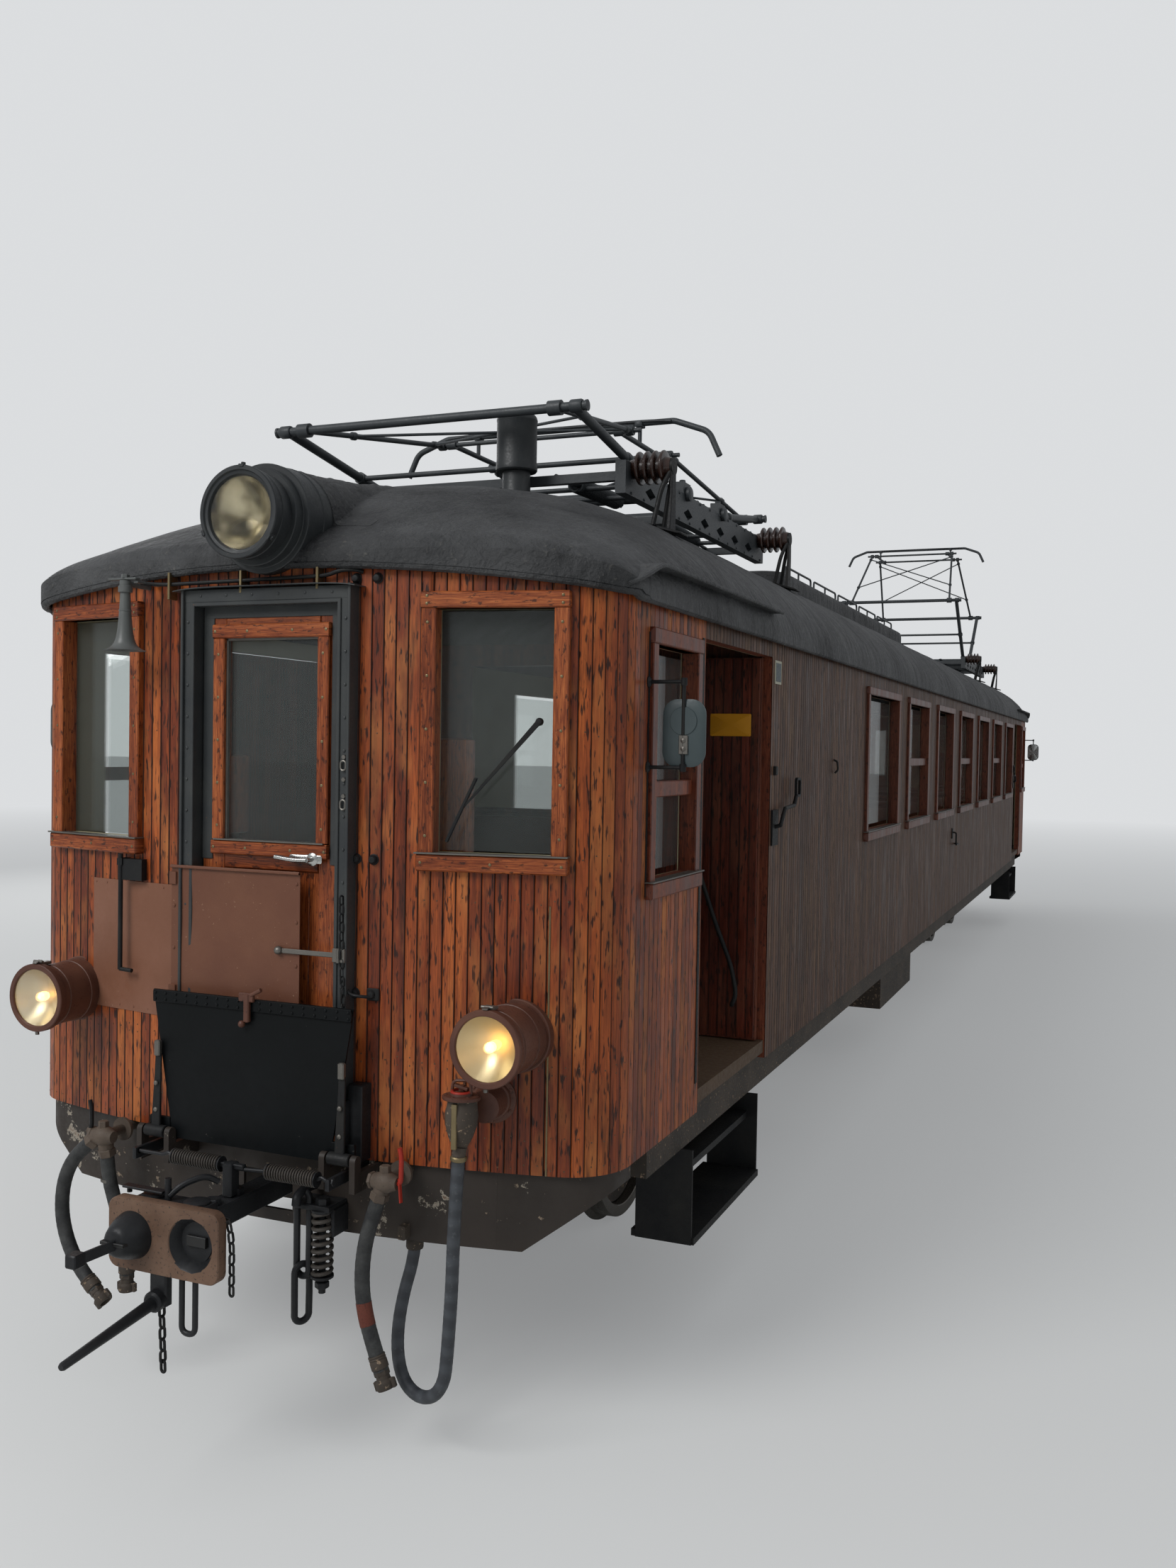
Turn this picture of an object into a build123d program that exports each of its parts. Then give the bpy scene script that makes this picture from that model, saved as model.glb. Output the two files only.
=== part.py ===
"""Wooden-bodied electric railcar for 891 mm gauge track.

Millimetres, +Z up.  The origin is on the floor under the middle of the car; the wheel flanges
stand on the floor.  The car lies along Y, its front end points to -Y and X is to the right of
somebody who faces the front end.  The rear end is the front end turned by half a turn.
"""
from build123d import *
import math
import os

HALF_L = 9000.0            # crown of the bowed end from the middle

# Running gear
RAIL_TOP = 28.0            # height of the rail top above the flanges' lowest point
GAUGE = 891.0
WHEEL_R = 420.0            # tread radius
FLANGE_H = RAIL_TOP
TREAD_W = 92.0
FLANGE_W = 28.0
AXLE_R = 65.0
JOURNAL_R = 55.0
JOURNAL_END = 690.0        # half length of the axle
WHEELBASE = 2000.0
BOGIE_Y = HALF_L - 3400    # bogie centre from the middle of the car
FRAME_X = 640.0            # middle plane of the outside bogie frame plates
FRAME_T = 40.0
FRAME_END = 530.0          # bogie frame beyond each axle
CENTRE_PLATE_R = 190.0
PIVOT_R = 45.0
RUN_CLEAR = 0.3            # clearance of turning fits and seats
OPEN_CLEAR = 2.0           # clearance at the pivot where a linkage is left open
SPRING_L = 760.0           # leaf springs over the axles: length of the longest leaf, leaf thickness
LEAF_SPRING_T = 16.0

# Body
HALF_W = 1310.0
FRAME_HALF_W = HALF_W - 70  # underframe
BOW_R = 4600.0
CORNER_R = 230.0
WALL_T = 60.0
SHEATH_Z0 = 973.0          # lower edge of the boards
EAVES_Z = 3014.0           # upper edge of the side walls
END_ARCH = 112.0           # rise of the end wall's upper edge at its middle
FLOOR_Z = 1060.0
FLOOR_T = 60.0
SILL_Z0 = 800.0            # underside of the underframe
BEAM_Y = HALF_L - 440      # outer end of the middle sills
BOLSTER_Y = HALF_L - 750   # last cross member
OUTSIDE_Y = HALF_L + 200   # a plane beyond the bowed end
INSIDE_Y = HALF_L - 400    # a plane behind the end wall
DOORWAY_Y0 = HALF_L - 2220  # doorway, edge nearer the middle
DOORWAY_Y1 = HALF_L - 1150  # doorway, edge nearer the end
DOORWAY_Z1 = 2930.0
LEAF_T = 40.0
GAP = 7.0                  # running gap round doors
HINGE_INSET = 12.0         # hinge pin from the leaf's edge
HINGE_R = 8.0
HINGE_L = 25.0             # hinge pin's length in its bore
PIN_CLEAR = 0.05           # clearance of a hinge pin in its bore

# Roof
ROOF_HALF_W = HALF_W + 50
ROOF_CROWN_Z = 3646.0
ROOF_T = 60.0
ROOF_OVERHANG = 50.0
DOME_Y = HALF_L - 1513     # where the roof starts to fall towards the end
DOME_R = 2900.0
LIP_OUT = 75.0             # rain lip over the doorways: how far it stands out, height, thickness, ends
LIP_Z = 3128.0
LIP_T = 14.0
LIP_Y0 = HALF_L - 2140
VENT_Y = HALF_L - 1310     # ventilator
LIP_Y1 = HALF_L - 400

# Side windows: centre from the middle of the car, width, drop light with a middle bar
WINDOW_PITCH = (HALF_L - 4200) / 3
WINDOW_Z0 = 1955.0
WINDOW_Z1 = 2860.0
SECOND_WINDOW_Y = HALF_L - 6835
SIDE_WINDOWS = [(5260.0 - HALF_L, 1160.0, False)]
SIDE_WINDOWS += [(WINDOW_PITCH * i - SECOND_WINDOW_Y, 1000.0, i % 2 == 0) for i in range(6)]
GLASS_T = 8.0
FRAME_W = 55.0             # width of a window's wooden frame
FRAME_PROUD = 18.0

# End windows, end door and cab side windows
END_WIN_X = HALF_W - 425
END_WIN_W = 450.0
END_WIN_Z0 = 2094.0
END_WIN_Z1 = 2955.0
CAB_WIN_Y = HALF_L - 770
CAB_WIN_W = 500.0
CAB_WIN_Z0 = 1985.0
CAB_WIN_Z1 = 2860.0
END_DOOR_W = 620.0
END_DOOR_Z1 = 2985.0
DOOR_GLASS_W = 418.0
DOOR_GLASS_Z0 = 2105.0
DOOR_GLASS_Z1 = 2860.0
DOOR_FACE_Y = HALF_L - 15  # outer face of the door leaf
JAMB_FACE_Y = HALF_L + 35  # front face of the iron door frame
JAMB_W = 50.0
VISOR_W = 800.0
WIND_PLATE = (-410.0, 170.0, 1470.0, 2000.0)  # steel sheet before the doorway: x from, x to, z from, z to

# Mirrors
MIRROR_X = HALF_W + 140
MIRROR_Y = HALF_L - 480
MIRROR_Z = 2532.0

# Lamps
LAMP_X = HALF_W - 328
LAMP_Z = 1462.0
LAMP_R = 133.0
LAMP_FACE_Y = HALF_L + 146
TOP_LAMP_Z = 3288.0
TOP_LAMP_FACE_Y = HALF_L + 200
TOP_LAMP_STEPS = [
    # from, to behind the front rim, radius
    (0.0, 105.0, 155.0),
    (100.0, 150.0, 178.0),
    (145.0, 330.0, 200.0),
]
TOP_LAMP_RECESS_R = 140.0
FAIRING_L = 570.0          # canvas fairing behind the roof lamp
FAIRING_TIP_R = 60.0
FAIRING_RISE = 190.0

# Draw gear
COUPLER_Z = 805.0
COUPLER_FACE_Y = HALF_L + 560
HEAD_W = 460.0
HEAD_H = 240.0
HEAD_T = 45.0
DRAWBAR_W = 90.0
DRAWBAR_H = 80.0
DRAWBAR_END_Y = HALF_L - 600
DRAWBAR_PIN_Y = HALF_L - 520
GUIDE_L = 475.0            # guide horn under the coupler head, ahead of its lug
APRON_Z0 = 690.0
APRON_T = 15.0
APRON_INSET = 20.0
SPRING_ROD_Z = 955.0
SPRING_ROD_Y = HALF_L + 200

# Fall plate
PLATE_HINGE_Y = HALF_L + 120
PLATE_HINGE_Z = 1010.0
PLATE_TOP_Z = 1538.0
PLATE_TOP_W = 882.0
PLATE_BOTTOM_W = 704.0
PLATE_T = 8.0
PLATE_HINGE_X = 405.0
PLATE_PIN_R = 10.0

# Pantographs: centre from the middle, angle of the lower arms when stored
PANTO = [
    # name, centre y, lower arm angle at rest in degrees
    ("front", 2550.0 - HALF_L, 8.5),
    ("rear", HALF_L - 3150.0, 39.7),
]
ARM_L = 1150.0
SHAFT_HALF = 300.0         # half distance of the two shafts, at the base and at the head
SHAFT_Z = 3748.0
SHAFT_R = 32.0
SHAFT_END = 855.0          # half length of a shaft
KNEE_HALF_W = 765.0
HEAD_HALF_W = 600.0
BOW_HALF_W = 923.0
BASE_X = 950.0
BASE_HALF_L = 1150.0
INSULATOR_R = 75.0
INSULATOR_L = 190.0
BRACE_ENDS = (0.32, 0.93)  # cross braces of an upper frame: ends as parts of the arm's length
GIRDER_Z0 = 3600.0         # underside of the girders that carry the shafts

# Cords of the front end, as points of their routes: x, distance ahead of the crown, z
JUMPER_R = 23.0
JUMPER_ROUTE = [
    (877, 120, 1078), (869, 122, 930), (861, 119, 770), (857, 118, 620), (848, 116, 485), (840, 114, 382),
    (830, 112, 297), (784, 100, 229), (707, 75, 204), (632, 45, 230), (583, 8, 300), (560, -35, 395),
    (561, -75, 500), (572, -110, 585), (575, -120, 645),
]
HOSE_R = 27.0
NIPPLE_L = 60.0            # hose nipple on a valve
COUPLING_L = 80.0          # coupling head on a hose's free end
VALVE_R = 45.0
VALVE_Y = -HALF_L - 104
VALVE_Z = 950.0
VALVE_OFFSET = 22.0        # valve's middle beside the hose's upper end
HOSE_ROUTES = [
    ("hose_right", [(560, 105, 893), (528, 110, 803), (507, 118, 700), (505, 126, 594), (524, 134, 492),
                    (560, 140, 398), (600, 144, 305)]),
    ("hose_left_outer", [(-722, 112, 925), (-790, 118, 872), (-838, 124, 790), (-854, 130, 700),
                         (-844, 135, 602), (-802, 140, 505), (-738, 143, 425), (-668, 145, 368)]),
    ("hose_left_inner", [(-668, 90, 880), (-672, 78, 792), (-650, 70, 700), (-616, 66, 600), (-592, 64, 500),
                         (-588, 66, 412)]),
]
JUMPER = [(x, -HALF_L - y, z) for x, y, z in JUMPER_ROUTE]
HOSES = [(name, [(x, -HALF_L - y, z) for x, y, z in route]) for name, route in HOSE_ROUTES]

nodes = {}


def box(x0, x1, y0, y1, z0, z1):
    """Block between two corners."""
    return Pos((x0 + x1) / 2, (y0 + y1) / 2, (z0 + z1) / 2) * Box(abs(x1 - x0), abs(y1 - y0), abs(z1 - z0))


def rod(a, b, r):
    """Round bar from point a to point b."""
    start = Vector(*a)
    run = Vector(*b) - start
    from_start = (Align.CENTER, Align.CENTER, Align.MIN)
    return Plane(origin=start, z_dir=run) * Cylinder(r, run.length, align=from_start)


def half_turn(part):
    """The same piece at the other end of the car."""
    return Rot(0, 0, 180) * part


def both_ends(parts):
    """Front pieces and their copies at the rear end."""
    parts = parts if isinstance(parts, list) else [parts]
    return parts + [half_turn(p) for p in parts]


def mirrored(part):
    """The same piece on the other side of the car."""
    return mirror(part, about=Plane.YZ)


def plan(inset=0.0, wider=0.0):
    """Outline of the body seen from above: straight sides, bowed ends, rounded corners."""
    half_w = HALF_W - inset + wider
    r = BOW_R - inset
    crown = HALF_L - inset
    corner_y = crown - r + math.sqrt(r * r - half_w * half_w)
    edges = [
        ThreePointArc((-half_w, -corner_y), (0, -crown), (half_w, -corner_y)),
        Line((half_w, -corner_y), (half_w, corner_y)),
        ThreePointArc((half_w, corner_y), (0, crown), (-half_w, corner_y)),
        Line((-half_w, corner_y), (-half_w, -corner_y)),
    ]
    face = make_face(Wire(edges))
    return fillet(face.vertices(), CORNER_R - inset)


def ring(outer, inner, z0, z1):
    """Upright wall between two outlines."""
    wall = extrude(plan(outer), z1 - z0) - extrude(plan(inner), z1 - z0)
    return Pos(0, 0, z0) * wall


def wall_y(x):
    """Distance of the bowed end's outer face from the middle at a given x."""
    return HALF_L - BOW_R + math.sqrt(BOW_R ** 2 - x ** 2)


def largest(part):
    """The main piece of a cut solid."""
    return max(part.solids(), key=lambda s: s.volume)


def on_wall(part):
    """Trim a fitting to the outer face of the end wall."""
    return largest(part - extrude(plan(-RUN_CLEAR), 4000))


def on_apron(part):
    """Trim a fitting to the outer face of the steel apron below the boards."""
    return largest(part - extrude(plan(APRON_INSET - RUN_CLEAR), 4000))


def roof_section(half_w, base_z, crown_z):
    """Cross-section of the roof: flat below, half an ellipse above."""
    height = crown_z - base_z
    arch = EllipticalCenterArc((0, 0), half_w, height, start_angle=0, arc_size=180)
    return make_face(Wire([arch, Line((-half_w, 0), (half_w, 0))]))


def at_y(face, y, z=0.0):
    """Stand a face drawn in X and Y upright, its Y up, at a place along the car."""
    return Plane(origin=(0, y, z), x_dir=(1, 0, 0), z_dir=(0, -1, 0)) * face


def crown_at(y):
    """Height of the roof's crown along the car."""
    run = max(0.0, abs(y) - DOME_Y)
    return ROOF_CROWN_Z - DOME_R + math.sqrt(DOME_R ** 2 - run ** 2)


def roof_z(x, y):
    """Height of the roof's outer face."""
    return EAVES_Z + (crown_at(y) - EAVES_Z) * math.sqrt(max(0.0, 1 - (x / ROOF_HALF_W) ** 2))


def arch_face(drop=0.0):
    """Region under the arched upper edge of an end wall."""
    half_w = HALF_W + 100
    return make_face(Wire([
        ThreePointArc((-half_w, EAVES_Z - drop), (0, EAVES_Z + END_ARCH - drop), (half_w, EAVES_Z - drop)),
        Line((half_w, EAVES_Z - drop), (half_w, 0)),
        Line((half_w, 0), (-half_w, 0)),
        Line((-half_w, 0), (-half_w, EAVES_Z - drop)),
    ]))


def hinge_pins(x, y, z0, z1, clear=0.0):
    """Pins at a door's foot and head, or their bores."""
    r = HINGE_R + clear
    foot = rod((x, y, z0 - HINGE_L - clear), (x, y, z0 + 40), r)
    return foot.fuse(rod((x, y, z1 - 40), (x, y, z1 + HINGE_L + clear), r))


def make_underframe():
    sill_top = SHEATH_Z0 - 3
    parts = []
    for x0, x1 in ((150, 220), (FRAME_HALF_W - 70, FRAME_HALF_W)):
        y1 = BEAM_Y if x0 < 500 else BOLSTER_Y
        parts += [box(x0, x1, -y1, y1, SILL_Z0, sill_top), box(-x1, -x0, -y1, y1, SILL_Z0, sill_top)]
    for y in (0, 1450, 2900, BOGIE_Y - 1300, DOORWAY_Y0 - 40, BOLSTER_Y):
        for side in (-1, 1):
            y0, y1 = side * y - 40, side * y + 40
            parts.append(box(-FRAME_HALF_W, FRAME_HALF_W, y0, y1, SILL_Z0 + 105, sill_top))
    for y in (-BOGIE_Y, BOGIE_Y):
        parts.append(box(-FRAME_HALF_W, FRAME_HALF_W, y - 150, y + 150, SILL_Z0, sill_top))
    frame = parts[0].fuse(*parts[1:])
    for y in (-BOGIE_Y, BOGIE_Y):
        frame -= Pos(0, y, SILL_Z0) * Cylinder(PIVOT_R + RUN_CLEAR, 240)
    for side in (-1, 1):
        y0, y1 = sorted((side * DRAWBAR_END_Y, side * BEAM_Y))
        frame += box(-150, 150, y0, y1, COUPLER_Z + DRAWBAR_H / 2 + RUN_CLEAR, sill_top)
        frame -= Pos(0, side * DRAWBAR_PIN_Y, sill_top) * Cylinder(25 + RUN_CLEAR, 400)
    nodes["underframe"] = [frame]


def make_headstocks():
    apron = ring(APRON_INSET, APRON_INSET + APRON_T, APRON_Z0, SHEATH_Z0 - RUN_CLEAR)
    front = box(-2000, 2000, -OUTSIDE_Y, -BEAM_Y, 0, 3000)
    apron = apron & front
    corner = Polyline((HALF_W - 310, APRON_Z0 - 1), (HALF_W + 20, SHEATH_Z0 - 40), (HALF_W + 20, APRON_Z0 - 1),
                      close=True)
    cutter = extrude(at_y(make_face(corner), 1000 - HALF_L), 1200)
    apron -= cutter
    apron -= mirrored(cutter)
    beam = box(310 - HALF_W, HALF_W - 310, -BEAM_Y - 220, -BEAM_Y - RUN_CLEAR, APRON_Z0 + 10, SHEATH_Z0 - 3)
    ribs = [box(x - 10, x + 10, -wall_y(x) + APRON_INSET + 2, -BEAM_Y - 140, APRON_Z0 + 10, SHEATH_Z0 - 3)
            for x in (-900, -500, 500, 900)]
    block = apron.fuse(beam, *ribs)
    block -= box(-110, 110, -OUTSIDE_Y, 60 - BEAM_Y, COUPLER_Z - 70, COUPLER_Z + 70)
    nodes["headstocks"] = both_ends(block)


def make_floor():
    deck = Pos(0, 0, FLOOR_Z - FLOOR_T) * extrude(plan(WALL_T + RUN_CLEAR), FLOOR_T)
    for sx in (-1, 1):
        for sy in (-1, 1):
            x0, x1 = sorted((sx * (HALF_W - 110), sx * (HALF_W - 5)))
            y0, y1 = sorted((sy * (DOORWAY_Y0 + RUN_CLEAR), sy * (DOORWAY_Y1 - RUN_CLEAR)))
            deck += box(x0, x1, y0, y1, FLOOR_Z - FLOOR_T, FLOOR_Z)
    bearers = [box(-FRAME_HALF_W, FRAME_HALF_W, y - 35, y + 35, SHEATH_Z0 - 3, FLOOR_Z - FLOOR_T)
               for y in (-BOLSTER_Y, -BOGIE_Y, -2900, 0, 2900, BOGIE_Y, BOLSTER_Y)]
    nodes["floor"] = [deck.fuse(*bearers)]


def make_side_walls():
    x0 = HALF_W - WALL_T
    wall = box(x0, HALF_W, -DOORWAY_Y0, DOORWAY_Y0, SHEATH_Z0, EAVES_Z)
    wall += box(x0, HALF_W, -DOORWAY_Y1 + RUN_CLEAR, DOORWAY_Y1 - RUN_CLEAR, DOORWAY_Z1, EAVES_Z)
    for centre, width, _ in SIDE_WINDOWS:
        wall -= box(x0 - 10, HALF_W + 10, centre - width / 2, centre + width / 2, WINDOW_Z0, WINDOW_Z1)
    nodes["side_wall_right"] = [wall]
    nodes["side_wall_left"] = [mirrored(wall)]


def make_end_walls():
    wall = ring(0, WALL_T, SHEATH_Z0, EAVES_Z + END_ARCH)
    wall = wall & box(-2000, 2000, -OUTSIDE_Y, -DOORWAY_Y1, 0, 5000)
    wall = wall & extrude(at_y(arch_face(), -DOORWAY_Y1), OUTSIDE_Y - DOORWAY_Y1)
    side_strip = box(-2000, 2000, 300 - HALF_L, -DOORWAY_Y1, EAVES_Z, EAVES_Z + 300)
    wall -= side_strip
    half_door = END_DOOR_W / 2 + GAP
    wall -= box(-half_door, half_door, -OUTSIDE_Y, -INSIDE_Y, FLOOR_Z, END_DOOR_Z1 + GAP)
    for side in (-1, 1):
        x = side * END_WIN_X
        wall -= box(x - END_WIN_W / 2, x + END_WIN_W / 2, -OUTSIDE_Y, -INSIDE_Y, END_WIN_Z0, END_WIN_Z1)
        a, b = sorted((side * (HALF_W - 110), side * (HALF_W + 90)))
        wall -= box(a, b, -CAB_WIN_Y - CAB_WIN_W / 2, -CAB_WIN_Y + CAB_WIN_W / 2, CAB_WIN_Z0, CAB_WIN_Z1)
    nodes["end_wall_front"] = [wall]
    nodes["end_wall_rear"] = [half_turn(wall)]


def vault(half_w, drop, outline):
    """Solid under the roof: straight in the middle, falling towards both ends, cut to an outline."""
    middle = extrude(at_y(roof_section(half_w, EAVES_Z, ROOF_CROWN_Z - drop), DOME_Y, EAVES_Z), 2 * DOME_Y)
    stations = [DOME_Y + (HALF_L + 100 - DOME_Y) * i / 3 for i in range(4)]
    dome = loft([at_y(roof_section(half_w, EAVES_Z, crown_at(y) - drop), -y, EAVES_Z) for y in stations])
    cutter = Pos(0, 0, EAVES_Z - 1) * extrude(outline, 1000)
    dome = dome & cutter
    return middle.fuse(dome, half_turn(dome))


def rain_lip():
    """Lip on the roof's right edge over the cab window and the doorway, its front end run down to the eaves."""
    outline = Polyline((LIP_Y0, LIP_Z), (LIP_Y1, LIP_Z), (LIP_Y1 + 180, EAVES_Z + 12),
                       (LIP_Y1 + 185, EAVES_Z + 26), (LIP_Y1 + 5, LIP_Z + LIP_T), (LIP_Y0, LIP_Z + LIP_T),
                       close=True)
    side = Plane(origin=(HALF_W + LIP_OUT, 0, 0), x_dir=(0, -1, 0), z_dir=(-1, 0, 0))
    strip = extrude(side * make_face(outline), LIP_OUT + 30)
    return strip & extrude(plan(-LIP_OUT), 4000)


def make_roof():
    outer = vault(ROOF_HALF_W, 0, plan(-ROOF_OVERHANG, 30))
    lip = rain_lip()
    start = TOP_LAMP_STEPS[-1][1] - TOP_LAMP_FACE_Y
    fairing = loft([at_y(Circle(TOP_LAMP_STEPS[-1][2]), start, TOP_LAMP_Z),
                    at_y(Circle(FAIRING_TIP_R), start + FAIRING_L, TOP_LAMP_Z + FAIRING_RISE)])
    fairing = largest(fairing - outer)
    roof = outer - vault(HALF_W - WALL_T, ROOF_T, plan(WALL_T, 30))
    under_arch = extrude(at_y(arch_face(), 300 - HALF_L), 500)
    roof = roof - under_arch - half_turn(under_arch)
    lip = largest(lip - outer)
    roof = roof.fuse(*both_ends([lip, mirrored(lip), fairing]))
    nodes["roof"] = [roof]


def make_bulkheads():
    half_w = HALF_W - WALL_T - RUN_CLEAR
    wall = box(-half_w, half_w, 20 - DOORWAY_Y0, 60 - DOORWAY_Y0, FLOOR_Z, EAVES_Z - RUN_CLEAR)
    wall -= box(-350, 350, -DOORWAY_Y0, 100 - DOORWAY_Y0, FLOOR_Z - 1, 2900)
    nodes["bulkheads"] = both_ends(wall)


def window_frame(y, width, z0, z1, bar):
    """Wooden frame of a side window, on the right side, with its sill."""
    x0, x1 = HALF_W - WALL_T + 10, HALF_W + FRAME_PROUD
    inner = FRAME_W - 15
    frame = box(HALF_W + RUN_CLEAR, x1, y - width / 2 - 15, y + width / 2 + 15, z0 - 15, z1 + 15)
    half = width / 2 - RUN_CLEAR
    frame += box(x0, HALF_W + 1, y - half, y + half, z0 + RUN_CLEAR, z1 - RUN_CLEAR)
    frame += box(HALF_W + RUN_CLEAR, x1 + 20, y - width / 2 - 30, y + width / 2 + 30, z0 - 45, z0 - 10)
    frame += box(HALF_W + RUN_CLEAR, x1 + 12, y - width / 2 - 30, y + width / 2 + 30, z1 + 10, z1 + 50)
    frame -= box(x0 - 10, x1 + 60, y - width / 2 + inner, y + width / 2 - inner, z0 + inner, z1 - inner)
    if bar:
        middle = (z0 + z1) / 2
        reach = width / 2 - inner + 1
        frame += box(x0 + 5, x1 - 10, y - reach, y + reach, middle - 25, middle + 25)
    return frame


def pane(y, width, z0, z1):
    """Glass of a side window, seated in the frame from inside."""
    inner = FRAME_W - 15 - 12
    x = HALF_W - WALL_T + 10 - GLASS_T
    return box(x, x + GLASS_T, y - width / 2 + inner, y + width / 2 - inner, z0 + inner, z1 - inner)


def make_side_windows():
    frames = []
    glass = []
    for centre, width, bar in SIDE_WINDOWS:
        frame = window_frame(centre, width, WINDOW_Z0, WINDOW_Z1, bar)
        sheet = pane(centre, width, WINDOW_Z0, WINDOW_Z1)
        frames += [frame, mirrored(frame)]
        glass += [sheet, mirrored(sheet)]
    for side in (-1, 1):
        frame = window_frame(side * CAB_WIN_Y, CAB_WIN_W, CAB_WIN_Z0, CAB_WIN_Z1, True)
        sheet = pane(side * CAB_WIN_Y, CAB_WIN_W, CAB_WIN_Z0, CAB_WIN_Z1)
        frames += [frame, mirrored(frame)]
        glass += [sheet, mirrored(sheet)]
    nodes["window_frames"] = frames
    nodes["window_glass"] = glass


def make_end_windows():
    frames = []
    glass = []
    wall = ring(-FRAME_PROUD, WALL_T - 15, SHEATH_Z0, EAVES_Z + END_ARCH)
    skin = ring(-FRAME_PROUD, -RUN_CLEAR, SHEATH_Z0, EAVES_Z + END_ARCH)
    for side in (-1, 1):
        x = side * END_WIN_X
        half = END_WIN_W / 2
        band = skin & box(x - half - 45, x + half + 45, -OUTSIDE_Y, -INSIDE_Y, END_WIN_Z0 - 65, END_WIN_Z1 + 62)
        plug = wall & box(x - half + RUN_CLEAR, x + half - RUN_CLEAR, -OUTSIDE_Y, -INSIDE_Y,
                          END_WIN_Z0 + RUN_CLEAR, END_WIN_Z1 - RUN_CLEAR)
        frame = band.fuse(plug)
        frame -= box(x - half + 12, x + half - 12, -OUTSIDE_Y, -INSIDE_Y, END_WIN_Z0 + 12, END_WIN_Z1 - 12)
        frames.append(frame)
        sheet = ring(WALL_T - 15, WALL_T - 15 + GLASS_T, END_WIN_Z0 + 6, END_WIN_Z1 - 6)
        glass.append(sheet & box(x - half + 6, x + half - 6, -OUTSIDE_Y, -INSIDE_Y, 0, 4000))
    nodes["window_frames"] += both_ends(frames)
    nodes["window_glass"] += both_ends(glass)


def make_end_doors():
    half = END_DOOR_W / 2
    face = -DOOR_FACE_Y
    leaf = box(-half, half, face, face + LEAF_T, FLOOR_Z + GAP + 1, END_DOOR_Z1)
    gh = DOOR_GLASS_W / 2
    leaf -= box(-gh, gh, -OUTSIDE_Y, -INSIDE_Y, DOOR_GLASS_Z0, DOOR_GLASS_Z1)
    trim = box(-gh - 50, gh + 50, face - 18, face + 1, DOOR_GLASS_Z0 - 50, DOOR_GLASS_Z1 + 50)
    trim -= box(-gh, gh, -OUTSIDE_Y, -INSIDE_Y, DOOR_GLASS_Z0, DOOR_GLASS_Z1)
    leaf = leaf.fuse(trim)
    sheet = box(-gh, gh, face + 15, face + 15 + GLASS_T, DOOR_GLASS_Z0, DOOR_GLASS_Z1)
    knob = rod((half - 50, face + 1, 2035), (half - 50, face - 55, 2035), 12)
    lever = rod((half - 50, face - 47, 2035), (half - 190, face - 47, 2040), 11)
    hinge = (-half + HINGE_INSET, face + LEAF_T, FLOOR_Z, END_DOOR_Z1 + GAP)
    leaf = leaf.fuse(knob, lever, hinge_pins(*hinge))
    bores = hinge_pins(*hinge, PIN_CLEAR)
    nodes["end_wall_front"][0] -= bores
    nodes["end_wall_rear"][0] -= half_turn(bores)
    nodes["end_door_front"] = [leaf]
    nodes["end_door_rear"] = [half_turn(leaf)]
    nodes["end_door_glass_front"] = [sheet]
    nodes["end_door_glass_rear"] = [half_turn(sheet)]
    outer = half + GAP + JAMB_W
    jamb = box(-outer, outer, -JAMB_FACE_Y, face - 5, FLOOR_Z, END_DOOR_Z1 + JAMB_W + 5)
    jamb -= box(-half - GAP, half + GAP, -OUTSIDE_Y, -INSIDE_Y, 0, END_DOOR_Z1 + GAP)
    visor_z = END_DOOR_Z1 + JAMB_W + 3
    visor = box(-VISOR_W / 2, VISOR_W / 2, -JAMB_FACE_Y - 25, face, visor_z, visor_z + 12)
    x0, x1, z0, z1 = WIND_PLATE
    catch = box(half + GAP, half + GAP + 28, -JAMB_FACE_Y - 17, -JAMB_FACE_Y + 1, 1706, 1724)
    catch += box(x1 - 86, half + GAP + 1, -JAMB_FACE_Y - 17, -JAMB_FACE_Y - 6, 1708, 1722)
    nodes["door_frames"] = both_ends(on_wall(jamb.fuse(visor, catch)))
    plate = box(x0, x1, -JAMB_FACE_Y - 4, -JAMB_FACE_Y, z0, z1)
    plate += box(x0, x1, -JAMB_FACE_Y - 14, -JAMB_FACE_Y, z1 - 5, z1)
    nodes["cover_plates"] = both_ends(plate)


def make_side_doors():
    """Four leaves on hinge pins: the right-hand ones stand open against the bulkheads."""
    x1 = HALF_W - 5
    leaf = box(x1 - LEAF_T, x1, -DOORWAY_Y1 + GAP, -DOORWAY_Y0 - GAP, FLOOR_Z + GAP, DOORWAY_Z1 - GAP)
    hinge = (x1 - LEAF_T, -DOORWAY_Y0 - GAP - HINGE_INSET, FLOOR_Z, DOORWAY_Z1)
    leaf = leaf.fuse(hinge_pins(*hinge))
    opened = leaf.rotate(Axis((hinge[0], hinge[1], 0), (0, 0, 1)), -90)
    nodes["side_door_front_right"] = [opened]
    nodes["side_door_front_left"] = [mirrored(leaf)]
    nodes["side_door_rear_right"] = [half_turn(mirrored(opened))]
    nodes["side_door_rear_left"] = [half_turn(leaf)]
    bores = hinge_pins(*hinge, PIN_CLEAR)
    for bore in (bores, half_turn(mirrored(bores))):
        nodes["side_wall_right"][0] -= bore
        nodes["side_wall_left"][0] -= mirrored(bore)
        nodes["floor"][0] -= bore.fuse(mirrored(bore))


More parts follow.
